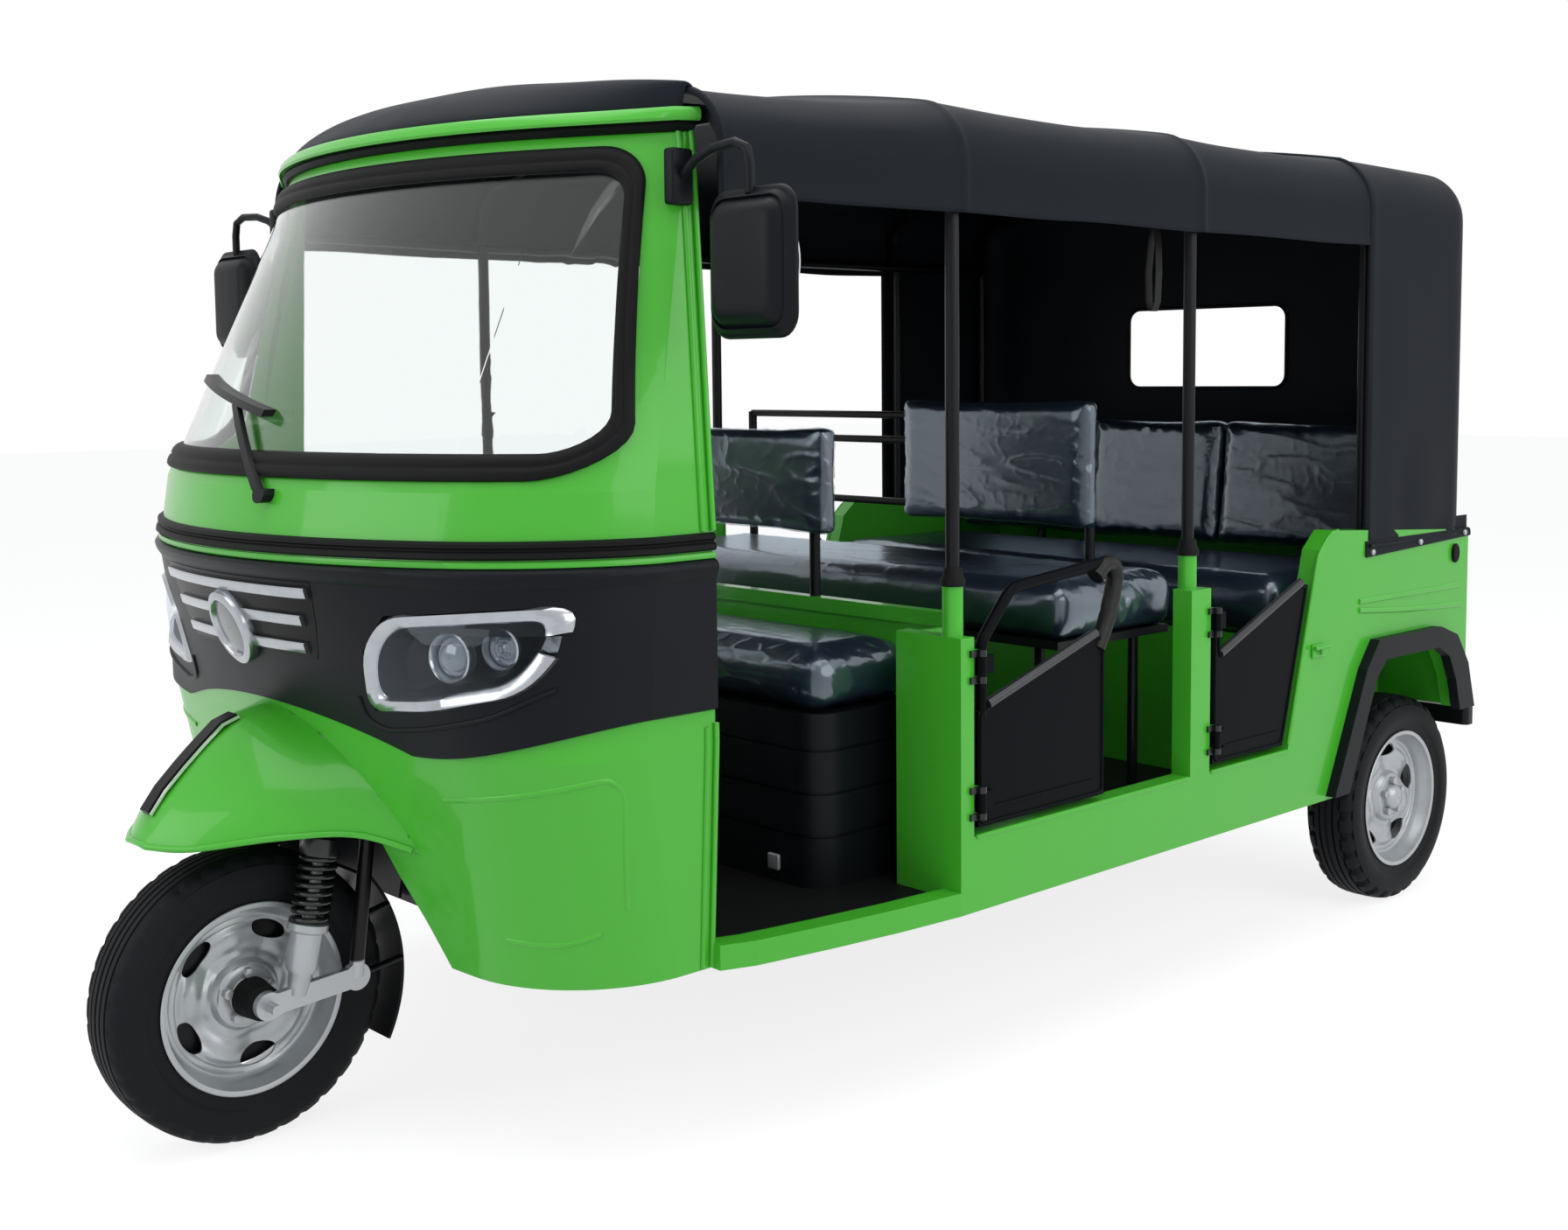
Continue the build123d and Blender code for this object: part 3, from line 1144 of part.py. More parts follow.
def canopy_loft(sections, inset, base):
    with BuildPart() as solid:
        for station, half, turn_z, crown in sections:
            right, left = canopy_outline(half, turn_z, crown, inset, base)
            with BuildSketch(FRONT_PLANE.offset(-y_at(station))):
                with BuildLine():
                    Line(left[0], right[0])
                    Line(right[0], right[1])
                    ThreePointArc(right[1], right[2], right[3])
                    ThreePointArc(right[3], right[4], right[5])
                    ThreePointArc(left[5], left[4], left[3])
                    ThreePointArc(left[3], left[2], left[1])
                    Line(left[1], left[0])
                make_face()
        loft(ruled=True)
    return solid.part


def cap_loft():
    """Padded front cap that closes the cab's top and runs up to the front bow."""
    with BuildPart() as solid:
        for z, nose, knee_x, knee_station, side_x, side_station in CAP_SECTIONS:
            lean = 2 * (knee_station - nose) / knee_x
            knee = (knee_x, y_at(knee_station))
            side = (side_x, y_at(side_station))
            with BuildSketch(Plane.XY.offset(z)):
                with BuildLine():
                    ThreePointArc((-knee[0], knee[1]), (0, y_at(nose)), knee)
                    TangentArc(knee, side, tangent=(cos(lean), sin(lean)))
                    Line(side, (side[0], y_at(500.0)))
                    Line((side[0], y_at(500.0)), (-side[0], y_at(500.0)))
                    Line((-side[0], y_at(500.0)), (-side[0], side[1]))
                    TangentArc((-knee[0], knee[1]), (-side[0], side[1]), tangent=(-cos(lean), sin(lean)))
                make_face()
        loft(ruled=True)
    return solid.part


roof_outer = canopy_loft(CANOPY_SECTIONS, 0, HEM_Z)
inner_sections = [(CANOPY_SECTIONS[0][0] - 1, *CANOPY_SECTIONS[0][1:]), *CANOPY_SECTIONS[1:4],
                  (REAR_WALL - CANOPY_WALL, *CANOPY_SECTIONS[4][1:])]
roof_inner = canopy_loft(inner_sections, CANOPY_WALL, HEM_Z - 60)
curtain_bottom = BELT_REAR + PIECE_GAP
curtain_depth = REAR_WALL - CURTAIN_FRONT

with BuildSketch() as inner_plan:
    with Locations((0, y_at((CURTAIN_FRONT + REAR_WALL) / 2 - CANOPY_WALL))):
        inner_corners = Rectangle(2 * (CANOPY_HALF - CANOPY_WALL), curtain_depth)
    fillet(inner_corners.vertices().group_by(Axis.Y)[-1], CURTAIN_CORNER - CANOPY_WALL)

with BuildPart() as curtain:
    with BuildSketch(Plane.XY.offset(curtain_bottom)):
        with Locations((0, y_at((CURTAIN_FRONT + REAR_WALL) / 2))):
            outer_plan = Rectangle(2 * CANOPY_HALF, curtain_depth)
        fillet(outer_plan.vertices().group_by(Axis.Y)[-1], CURTAIN_CORNER)
        add(inner_plan.sketch, mode=Mode.SUBTRACT)
    extrude(amount=HEM_Z + 30 - curtain_bottom)
    with BuildSketch(rear_plane):
        with Locations((0, sum(WINDOW_Z) / 2)):
            RectangleRounded(2 * WINDOW_HALF, WINDOW_Z[1] - WINDOW_Z[0], WINDOW_CORNER)
    extrude(amount=-200, mode=Mode.SUBTRACT)

belt_start = SLANT[-1]
belt_slope = (belt_start[1] - BELT_REAR) / (REAR_WALL - belt_start[0])
with BuildPart() as belt_wedge:
    with BuildSketch(side_plane(-900)):
        with BuildLine():
            Polyline(*yz([(belt_start[0], 800.0), (belt_start[0], belt_start[1] + PIECE_GAP),
                          (REAR_WALL + 30, BELT_REAR - 30 * belt_slope + PIECE_GAP),
                          (REAR_WALL + 30, 800.0)]), close=True)
        make_face()
    extrude(amount=1800)
canopy_shell = (roof_outer - roof_inner) + curtain.part + cap_loft() - belt_wedge.part

with BuildPart() as canopy:
    add(canopy_shell)
finish(canopy, "canopy")

post_pieces = []
for side in (1, -1):
    for station in POST_STATIONS:
        post_pieces.append(upright(side * POST_X, station, SOCKET_TOP, RAIL_Z - ROOF_RAIL_RADIUS,
                                   POST_RADIUS))
    for station in REAR_POSTS:
        foot = BELT_REAR + (REAR_WALL - station + POST_RADIUS) * belt_slope + PIECE_GAP
        post_pieces.append(upright(side * POST_X, station, foot, RAIL_Z - ROOF_RAIL_RADIUS, POST_RADIUS))


def section_at(station):
    """Canopy section between the tabled ones, by straight interpolation."""
    for low, high in zip(CANOPY_SECTIONS, CANOPY_SECTIONS[1:]):
        if low[0] <= station <= high[0]:
            share = (station - low[0]) / (high[0] - low[0])
            return [a + share * (b - a) for a, b in zip(low, high)][1:]
    return CANOPY_SECTIONS[-1][1:]


def outline_face(points):
    right, left = points
    with BuildSketch() as face:
        with BuildLine():
            Line(left[0], right[0])
            Line(right[0], right[1])
            ThreePointArc(right[1], right[2], right[3])
            ThreePointArc(right[3], right[4], right[5])
            ThreePointArc(left[5], left[4], left[3])
            ThreePointArc(left[3], left[2], left[1])
            Line(left[1], left[0])
        make_face()
    return face.sketch


rail_end = BOW_STATIONS[-1] - 8
front_bow_x = section_at(BOW_STATIONS[0])[0] - CANOPY_WALL - 2 - BOW_RADIUS
side_rails = []
for side in (1, -1):
    side_rails.append(rod((side * front_bow_x, BOW_STATIONS[0], RAIL_Z + 4),
                          (side * POST_X, BOW_STATIONS[1], RAIL_Z), ROOF_RAIL_RADIUS))
    side_rails.append(rod((side * POST_X, BOW_STATIONS[1] - 4, RAIL_Z), (side * POST_X, rail_end, RAIL_Z),
                          ROOF_RAIL_RADIUS))

with BuildPart() as roof_frame:
    for station in BOW_STATIONS:
        half, turn_z, crown = section_at(station)
        near = CANOPY_WALL + 2
        outer_face = outline_face(canopy_outline(half, turn_z, crown, near, RAIL_Z - 5))
        inner_face = outline_face(canopy_outline(half, turn_z, crown, near + 2 * BOW_RADIUS, RAIL_Z - 6))
        with BuildSketch(FRONT_PLANE.offset(-y_at(station) + BOW_RADIUS)):
            add(outer_face)
            add(inner_face, mode=Mode.SUBTRACT)
        extrude(amount=-2 * BOW_RADIUS)
    add(side_rails)
    add(post_pieces)
finish(roof_frame, "roof_frame")

# ---- mirrors and wiper --------------------------------------------------------------------------
MIRROR_X = 835.0
MIRROR_STATION = 450.0
MIRROR_Z = 1462.0
MIRROR_SIZE = (190.0, 220.0, 50.0)
ARM_RADIUS = 8.0
ARM_ROUTE = [(652.0, 464.0, 1600.0), (745.0, 456.0, 1640.0), (MIRROR_X, MIRROR_STATION, 1640.0),
             (MIRROR_X, MIRROR_STATION, MIRROR_Z + MIRROR_SIZE[1] / 2 - 4)]
arm_points = [(x, y_at(station), z) for x, station, z in ARM_ROUTE]
bracket = bar_y(652, 440, 485, 1560, 1650, 26) - cab_loft(COWL_LEVELS, PIECE_GAP)

with BuildPart() as mirror_left:
    with BuildLine() as arm:
        FilletPolyline(*arm_points, radius=[30, 34])
    with BuildSketch(Plane(origin=arm.line @ 0, z_dir=arm.line % 0)):
        Circle(ARM_RADIUS)
    sweep(path=arm.line)
    with BuildSketch(FRONT_PLANE.offset(-y_at(MIRROR_STATION + MIRROR_SIZE[2] / 2))):
        with Locations((MIRROR_X, MIRROR_Z)):
            RectangleRounded(MIRROR_SIZE[0], MIRROR_SIZE[1], 36)
    extrude(amount=MIRROR_SIZE[2])
    add(bracket)
left_mirror = mirror_left.part - cab_loft(COWL_LEVELS, PIECE_GAP)

with BuildPart() as mirrors:
    add([left_mirror, mirrored(left_mirror)])
finish(mirrors, "mirrors")

WIPER_BASE = (150.0, 1112.0)           # x, z seen from the front
WIPER_BEND = (-42.0, 1258.0)
BLADE_ENDS = [(-268.0, 1300.0), (75.0, 1240.0)]
WIPER_WIDTH = 12.0
WIPER_LIFT = 10.0


def front_strip(start, end, width):
    """Straight strip drawn from the front and run back through the cab."""
    length = hypot(end[0] - start[0], end[1] - start[1])
    slope = degrees(atan2(end[1] - start[1], end[0] - start[0]))
    middle = ((start[0] + end[0]) / 2, (start[1] + end[1]) / 2)
    with BuildSketch(FRONT_PLANE.offset(-y_at(300.0))) as face:
        with Locations(Location((*middle, 0), slope)):
            Rectangle(length, width)
    return extrude(face.sketch, amount=600)


wiper_skin = cab_skin((1, 2, 3, 4), SEAL_PROUD + WIPER_LIFT, WIPER_LIFT - PIECE_GAP)
blade_skin = cab_skin((3, 4), SEAL_PROUD + WIPER_LIFT, SEAL_PROUD + WIPER_LIFT + 3)
arm_piece = wiper_skin & front_strip(WIPER_BASE, WIPER_BEND, WIPER_WIDTH)
blade_piece = blade_skin & front_strip(*BLADE_ENDS, WIPER_WIDTH)
boss_skin = cab_skin((2, 3), SEAL_PROUD + WIPER_LIFT, SEAL_PROUD + WIPER_LIFT - PIECE_GAP)
boss_face = FRONT_PLANE.offset(-y_at(300.0)) * Pos(*WIPER_BASE) * Circle(15)
boss_piece = boss_skin & extrude(boss_face, amount=600)

with BuildPart() as wiper:
    add([arm_piece, blade_piece, boss_piece])
finish(wiper, "wiper")
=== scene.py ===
import math
import bpy
from mathutils import Matrix, Vector, noise


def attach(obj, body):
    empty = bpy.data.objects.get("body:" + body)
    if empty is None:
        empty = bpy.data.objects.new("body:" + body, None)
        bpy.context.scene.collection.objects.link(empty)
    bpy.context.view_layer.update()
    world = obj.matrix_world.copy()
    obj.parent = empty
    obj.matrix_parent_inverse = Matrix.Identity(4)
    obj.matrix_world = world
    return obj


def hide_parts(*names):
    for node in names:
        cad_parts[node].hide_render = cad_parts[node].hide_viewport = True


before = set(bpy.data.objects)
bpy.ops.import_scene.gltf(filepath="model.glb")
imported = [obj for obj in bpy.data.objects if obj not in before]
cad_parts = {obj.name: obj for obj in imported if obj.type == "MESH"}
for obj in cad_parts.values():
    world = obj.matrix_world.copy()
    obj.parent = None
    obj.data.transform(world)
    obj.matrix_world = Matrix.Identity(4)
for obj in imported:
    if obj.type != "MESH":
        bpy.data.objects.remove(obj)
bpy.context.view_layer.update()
bpy.ops.object.select_all(action="DESELECT")

# ---- camera, light and floor --------------------------------------------------------------------
# The vehicle stands on a plain pale studio floor. The camera is at eye height by the front left
# corner; a large soft lamp hangs over the roof and two lower ones fill the sides.
CAMERA_PLACE = Vector((2.8359, -2.7022, 1.297))
CAMERA_TURN = 0.7472
CAMERA_DIP = 0.0859
CAMERA_ROLL = -0.0099
CAMERA_LENS = 41.04
CAMERA_SHIFT = -0.0558

look = Vector((-math.cos(CAMERA_TURN) * math.cos(CAMERA_DIP), math.sin(CAMERA_TURN) * math.cos(CAMERA_DIP),
               -math.sin(CAMERA_DIP)))
right = look.cross(Vector((0, 0, 1))).normalized()
up = right.cross(look)
cos_roll, sin_roll = math.cos(CAMERA_ROLL), math.sin(CAMERA_ROLL)
right, up = cos_roll * right + sin_roll * up, cos_roll * up - sin_roll * right
camera_data = bpy.data.cameras.new("camera")
camera_data.lens = CAMERA_LENS
camera_data.sensor_width = 36.0
camera_data.shift_y = CAMERA_SHIFT
camera = bpy.data.objects.new("camera", camera_data)
bpy.context.collection.objects.link(camera)
camera.matrix_world = Matrix((
    (right.x, up.x, -look.x, CAMERA_PLACE.x),
    (right.y, up.y, -look.y, CAMERA_PLACE.y),
    (right.z, up.z, -look.z, CAMERA_PLACE.z),
    (0, 0, 0, 1)))
bpy.context.scene.camera = camera
bpy.context.scene.view_settings.view_transform = "Standard"


def seen_directly(tree):
    """One for light that is seen directly, in metal or through glass, none for light that falls."""
    path = tree.nodes.new("ShaderNodeLightPath")
    total = path.outputs["Is Camera Ray"]
    for name in ("Is Glossy Ray", "Is Transmission Ray"):
        larger = tree.nodes.new("ShaderNodeMath")
        larger.operation = "MAXIMUM"
        tree.links.new(total, larger.inputs[0])
        tree.links.new(path.outputs[name], larger.inputs[1])
        total = larger.outputs[0]
    return total


ROOM_STRENGTH = 0.50
ROOM_COLOUR = (0.93, 0.96, 1.0, 1)
FLOOR_SIZE = 60
FLOOR_COLOUR = (0.80, 0.80, 0.81, 1)
FLOOR_SHADE = 0.30
FLOOR_GLOW = 0.82
world = bpy.data.worlds.new("studio")
bpy.context.scene.world = world
world.use_nodes = True
sky = world.node_tree
sky.nodes.clear()
room_light = sky.nodes.new("ShaderNodeBackground")
room_light.inputs["Color"].default_value = ROOM_COLOUR
room_light.inputs["Strength"].default_value = ROOM_STRENGTH
plain_white = sky.nodes.new("ShaderNodeBackground")
plain_white.inputs["Color"].default_value = (1, 1, 1, 1)
sky_mix = sky.nodes.new("ShaderNodeMixShader")
sky.links.new(seen_directly(sky), sky_mix.inputs["Fac"])
sky.links.new(room_light.outputs[0], sky_mix.inputs[1])
sky.links.new(plain_white.outputs[0], sky_mix.inputs[2])
sky_out = sky.nodes.new("ShaderNodeOutputWorld")
sky.links.new(sky_mix.outputs[0], sky_out.inputs["Surface"])


def lamp(name, place, aim, size, power):
    """Soft white lamp hung at a place and turned to its aim; size in metres, power in watts."""
    data = bpy.data.lights.new(name, "AREA")
    data.shape = "RECTANGLE"
    data.size, data.size_y = size
    data.energy = power
    obj = bpy.data.objects.new(name, data)
    bpy.context.collection.objects.link(obj)
    obj.location = place
    obj.rotation_euler = (Vector(aim) - Vector(place)).to_track_quat("-Z", "Y").to_euler()


lamp("overhead", (0.6, -0.4, 4.6), (0, 0, 0.6), (5.0, 5.0), 150)
lamp("left_side", (4.6, 0.6, 2.6), (0, 0.2, 0.9), (4.5, 2.5), 78)
lamp("front_side", (-0.6, -5.2, 2.4), (0, -1.0, 0.9), (3.5, 2.5), 60)

bpy.ops.mesh.primitive_plane_add(size=FLOOR_SIZE, location=(0, 0, 0))
floor = bpy.context.object
floor.name = "floor"
floor_material = bpy.data.materials.new("studio_floor")
floor_material.use_nodes = True
floor_tree = floor_material.node_tree
matt_floor = floor_tree.nodes["Principled BSDF"]
matt_floor.inputs["Base Color"].default_value = FLOOR_COLOUR
matt_floor.inputs["Roughness"].default_value = 0.9
matt_floor.inputs["Specular IOR Level"].default_value = 0.0
# Seen directly the floor is as white as the backdrop, and only the shadow on it stays.
pale_floor = floor_tree.nodes.new("ShaderNodeBsdfDiffuse")
pale_floor.inputs["Color"].default_value = (FLOOR_SHADE, FLOOR_SHADE, FLOOR_SHADE, 1)
floor_glow = floor_tree.nodes.new("ShaderNodeEmission")
floor_glow.inputs["Strength"].default_value = FLOOR_GLOW
floor_white = floor_tree.nodes.new("ShaderNodeAddShader")
floor_tree.links.new(pale_floor.outputs[0], floor_white.inputs[0])
floor_tree.links.new(floor_glow.outputs[0], floor_white.inputs[1])
floor_mix = floor_tree.nodes.new("ShaderNodeMixShader")
floor_tree.links.new(seen_directly(floor_tree), floor_mix.inputs["Fac"])
floor_tree.links.new(matt_floor.outputs[0], floor_mix.inputs[1])
floor_tree.links.new(floor_white.outputs[0], floor_mix.inputs[2])
floor_tree.links.new(floor_mix.outputs[0], floor_tree.nodes["Material Output"].inputs["Surface"])
floor.data.materials.append(floor_material)
bpy.ops.object.select_all(action="DESELECT")

# ---- chassis ------------------------------------------------------------------------------------
# Two steel box rails with cross tubes, the belly tray and the head tube welded to them, all in
# satin black paint. The paint is a little uneven, as it is on every steel piece below.
LACQUER_ROUGHNESS = 0.06


def uneven_surface():
    """Node group: a base colour that drifts in patches, a drifting roughness and a fine grain."""
    group = bpy.data.node_groups.new("uneven_surface", "ShaderNodeTree")
    for name, kind in (("Colour", "NodeSocketColor"), ("Colour Drift", "NodeSocketFloat"),
                       ("Roughness", "NodeSocketFloat"), ("Roughness Drift", "NodeSocketFloat"),
                       ("Patch Scale", "NodeSocketFloat"), ("Grain Scale", "NodeSocketFloat")):
        group.interface.new_socket(name, in_out="INPUT", socket_type=kind)
    for name, kind in (("Colour", "NodeSocketColor"), ("Roughness", "NodeSocketFloat"),
                       ("Height", "NodeSocketFloat")):
        group.interface.new_socket(name, in_out="OUTPUT", socket_type=kind)
    nodes, links = group.nodes, group.links
    given = nodes.new("NodeGroupInput")
    made = nodes.new("NodeGroupOutput")
    place = nodes.new("ShaderNodeTexCoord")
    patches = nodes.new("ShaderNodeTexNoise")
    patches.inputs["Detail"].default_value = 3.0
    grain = nodes.new("ShaderNodeTexNoise")
    grain.inputs["Detail"].default_value = 4.0
    links.new(place.outputs["Object"], patches.inputs["Vector"])
    links.new(place.outputs["Object"], grain.inputs["Vector"])
    links.new(given.outputs["Patch Scale"], patches.inputs["Scale"])
    links.new(given.outputs["Grain Scale"], grain.inputs["Scale"])

    def math_node(operation, a, b):
        node = nodes.new("ShaderNodeMath")
        node.operation = operation
        for socket, value in zip(node.inputs, (a, b)):
            if isinstance(value, (int, float)):
                socket.default_value = value
            else:
                links.new(value, socket)
        return node.outputs[0]

    drift = math_node("SUBTRACT", patches.outputs["Fac"], 0.5)
    shade = math_node("ADD", math_node("MULTIPLY", drift, given.outputs["Colour Drift"]), 1.0)
    tint = nodes.new("ShaderNodeVectorMath")
    tint.operation = "SCALE"
    links.new(given.outputs["Colour"], tint.inputs[0])
    links.new(shade, tint.inputs["Scale"])
    links.new(tint.outputs["Vector"], made.inputs["Colour"])
    rough_drift = math_node("MULTIPLY", drift, given.outputs["Roughness Drift"])
    rough = math_node("ADD", rough_drift, given.outputs["Roughness"])
    links.new(rough, made.inputs["Roughness"])
    links.new(grain.outputs["Fac"], made.inputs["Height"])
    return group


uneven = uneven_surface()


def finish(name, colour, rough, metal=0.0, coat=0.0, drift=0.25, rough_drift=0.12, patches=5.0, grain=400.0,
           bump=0.05, depth=0.0004, specular=0.5):
    """Material with one plain shader, fed by the uneven surface."""
    material = bpy.data.materials.new(name)
    material.use_nodes = True
    tree = material.node_tree
    shader = tree.nodes["Principled BSDF"]
    surface = tree.nodes.new("ShaderNodeGroup")
    surface.node_tree = uneven
    surface.inputs["Colour"].default_value = (*colour, 1)
    surface.inputs["Colour Drift"].default_value = drift
    surface.inputs["Roughness"].default_value = rough
    surface.inputs["Roughness Drift"].default_value = rough_drift
    surface.inputs["Patch Scale"].default_value = patches
    surface.inputs["Grain Scale"].default_value = grain
    tree.links.new(surface.outputs["Colour"], shader.inputs["Base Color"])
    tree.links.new(surface.outputs["Roughness"], shader.inputs["Roughness"])
    relief = tree.nodes.new("ShaderNodeBump")
    relief.inputs["Strength"].default_value = bump
    relief.inputs["Distance"].default_value = depth
    tree.links.new(surface.outputs["Height"], relief.inputs["Height"])
    tree.links.new(relief.outputs["Normal"], shader.inputs["Normal"])
    shader.inputs["Metallic"].default_value = metal
    shader.inputs["Specular IOR Level"].default_value = specular
    shader.inputs["Coat Weight"].default_value = coat
    shader.inputs["Coat Roughness"].default_value = LACQUER_ROUGHNESS
    return material


def coat_nodes(material, *names):
    """Gives CAD pieces their finish."""
    for name in names:
        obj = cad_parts[name]
        if not obj.data.materials:
            obj.data.materials.append(material)
        for index in range(len(obj.data.materials)):
            obj.data.materials[index] = material


black_steel = finish("black_steel_paint", (0.006, 0.0065, 0.008), 0.34, grain=260.0, bump=0.12,
                     specular=0.16)
coat_nodes(black_steel, "chassis_frame", "wheel_housing", "rear_axle", "rear_bumper", "seat_frames",
           "roof_frame", "handlebar", "wiper")

# ---- green body ---------------------------------------------------------------------------------
# The leg shield, cowl, sides and back are steel sheet, pressed and spot welded; the mudguard is
# moulded. All wear one gloss lime green under a clear lacquer.
GREEN = (0.060, 0.430, 0.026)
green_paint = finish("lime_green_paint", GREEN, 0.32, coat=0.35, drift=0.05, rough_drift=0.04, patches=2.0,
                     grain=90.0, bump=0.02, specular=0.25)
coat_nodes(green_paint, "leg_shield", "upper_cowl", "side_bodies", "rear_panel", "nose_mudguard",
           "partition_panel", "rear_seat_base")

# ---- black mouldings ----------------------------------------------------------------------------
# The fascia, flares, seat box, dashboard and mirrors are moulded in grained black plastic and screwed
# on. The doors are black painted sheet; the rear lamps have plain red lenses.
satin_plastic = finish("satin_black_plastic", (0.0050, 0.0062, 0.0085), 0.40, grain=700.0, bump=0.2,
                       specular=0.12)
coat_nodes(satin_plastic, "front_fascia", "wheel_arch_flares", "driver_seat_base", "dashboard", "mirrors",
           "splash_guard", "battery_pack")
door_paint = finish("black_door_paint", (0.0030, 0.0040, 0.0055), 0.40, grain=260.0, bump=0.1, specular=0.04)
coat_nodes(door_paint, "door_front_left", "door_front_right", "door_rear_left", "door_rear_right")
black_rubber = finish("black_rubber", (0.0060, 0.0062, 0.0068), 0.55, grain=500.0, bump=0.3, specular=0.1)
coat_nodes(black_rubber, "windscreen_seal", "floor_pan")
chrome = finish("bright_chrome", (0.74, 0.75, 0.77), 0.08, metal=1.0, drift=0.05, rough_drift=0.04, bump=0.01)
coat_nodes(chrome, "grille_bars")
red_lens = finish("red_lens", (0.35, 0.01, 0.01), 0.2, coat=1.0)
coat_nodes(red_lens, "rear_lamps")


GLASS_INDEX = 1.45


def clear_pane(name, colour, rough):
    """Clear glass, faintly tinted in its body."""
    material = bpy.data.materials.new(name)
    material.use_nodes = True
    shader = material.node_tree.nodes["Principled BSDF"]
    shader.inputs["Base Color"].default_value = (*colour, 1)
    shader.inputs["Roughness"].default_value = rough
    shader.inputs["Transmission Weight"].default_value = 1.0
    shader.inputs["IOR"].default_value = GLASS_INDEX
    return material


screen_glass = clear_pane("windscreen_glass", (0.90, 0.95, 0.94), 0.02)
coat_nodes(screen_glass, "windscreen_glass")

# ---- tyres --------------------------------------------------------------------------------------
# 4.00-12 cross-ply tyres: rubber, moulded with ribs and grooves round the tread. The front one is a
# ribbed steering tyre with short shoulder slits, the rear ones carry deeper shoulder blocks.
TURN_STEPS = 180
TYRE_HALF = [                    # (x, radius) from the middle of the tread round to the bead
    (0.0000, 0.2470), (0.0030, 0.2470), (0.0038, 0.2500), (0.0140, 0.2500), (0.0150, 0.2445),
    (0.0185, 0.2445), (0.0195, 0.2496), (0.0300, 0.2490), (0.0310, 0.2430), (0.0345, 0.2430),
    (0.0355, 0.2482), (0.0430, 0.2468), (0.0490, 0.2440), (0.0535, 0.2395), (0.0570, 0.2330),
    (0.0590, 0.2290), (0.0602, 0.2287), (0.0625, 0.2200), (0.0637, 0.2100), (0.0632, 0.2000),
    (0.0615, 0.1900), (0.0600, 0.1880), (0.0590, 0.1860), (0.0572, 0.1780), (0.0566, 0.1730),
    (0.0550, 0.1700), (0.0540, 0.1640), (0.0510, 0.1600), (0.0480, 0.1580)]
SLIT_END = 0.058                 # the shoulder slits reach this far out and down to this radius
SLIT_FOOT = 0.23
STATION_ZERO = 1.3605            # a station is a distance behind the front axle; the origin's own
WHEELBASE = 2.673
REAR_HALF_TRACK = 0.65
AXLE_HEIGHT = 0.25
FRONT_AXLE = Vector((0, -STATION_ZERO, AXLE_HEIGHT))
REAR_AXLE_LEFT = Vector((REAR_HALF_TRACK, WHEELBASE - STATION_ZERO, AXLE_HEIGHT))
REAR_AXLE_RIGHT = Vector((-REAR_HALF_TRACK, WHEELBASE - STATION_ZERO, AXLE_HEIGHT))


def only(obj):
    """Selects one piece and nothing else."""
    bpy.ops.object.select_all(action="DESELECT")
    obj.select_set(True)
    bpy.context.view_layer.objects.active = obj
    return obj


def faces_outwards(obj):
    """Turns the faces of a finished piece to the outside."""
    only(obj)
    bpy.ops.object.mode_set(mode="EDIT")
    bpy.ops.mesh.select_all(action="SELECT")
    bpy.ops.mesh.normals_make_consistent(inside=False)
    bpy.ops.object.mode_set(mode="OBJECT")


def turned(name, section, steps=TURN_STEPS):
    """Ring turned about the X axis from a closed (x, radius) section."""
    bpy.ops.mesh.primitive_torus_add(major_segments=steps, minor_segments=len(section))
    obj = bpy.context.object
    obj.name = name
    for index, vertex in enumerate(obj.data.vertices):
        step, across = divmod(index, len(section))
        x, radius = section[across]
        turn = 2 * math.pi * step / steps
        vertex.co = (x, radius * math.cos(turn), radius * math.sin(turn))
    faces_outwards(obj)
    return obj


def smooth(obj, angle=35):
    """Shades a piece smooth across every edge that is blunter than the angle."""
    only(obj)
    bpy.ops.object.shade_smooth_by_angle(angle=math.radians(angle))
    return obj


def move_mesh(obj, matrix):
    obj.data.transform(matrix)
    return obj


def fit(obj, body, material, slot, *nodes):
    """Gives a finished piece its surface and its body, and hides the CAD solids that it stands for."""
    obj.data.materials.clear()
    obj.data.materials.append(material)
    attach(obj, body)
    if nodes:
        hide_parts(*nodes)
    return obj


def join(name, pieces):
    """Makes one piece out of several."""
    bpy.ops.object.select_all(action="DESELECT")
    for obj in pieces:
        obj.select_set(True)
    bpy.context.view_layer.objects.active = pieces[0]
    bpy.ops.object.join()
    pieces[0].name = name
    return pieces[0]


def tyre(name, slit_every, slit_width, slit_depth, slit_from):
    """Tyre with a slit a few steps wide in both shoulders every so many steps."""
    closed = TYRE_HALF + [(-x, radius) for x, radius in reversed(TYRE_HALF[1:])]
    obj = turned(name, closed)
    for index, vertex in enumerate(obj.data.vertices):
        step, across = divmod(index, len(closed))
        x, radius = closed[across]
        if step % slit_every < slit_width and slit_from < abs(x) < SLIT_END and radius > SLIT_FOOT:
            shrink = (radius - slit_depth) / radius
            vertex.co = (x, vertex.co.y * shrink, vertex.co.z * shrink)
    return smooth(obj, 28)


tyre_rubber = finish("tyre_rubber", (0.0075, 0.0085, 0.0105), 0.6, grain=300.0, bump=0.35, specular=0.12)
front_tyre = move_mesh(tyre("tyre_front", 5, 1, 0.004, 0.036), Matrix.Translation(FRONT_AXLE))
fit(front_tyre, "front_wheel", tyre_rubber, "tyre_rubber", "front_tyre")
for side_name, place, node in (("left", REAR_AXLE_LEFT, "rear_left_tyre"),
                               ("right", REAR_AXLE_RIGHT, "rear_right_tyre")):
    rear_tyre = move_mesh(tyre("tyre_rear_" + side_name, 6, 2, 0.008, 0.031), Matrix.Translation(place))
    fit(rear_tyre, "rear_wheel_" + side_name, tyre_rubber, "tyre_rubber", node)

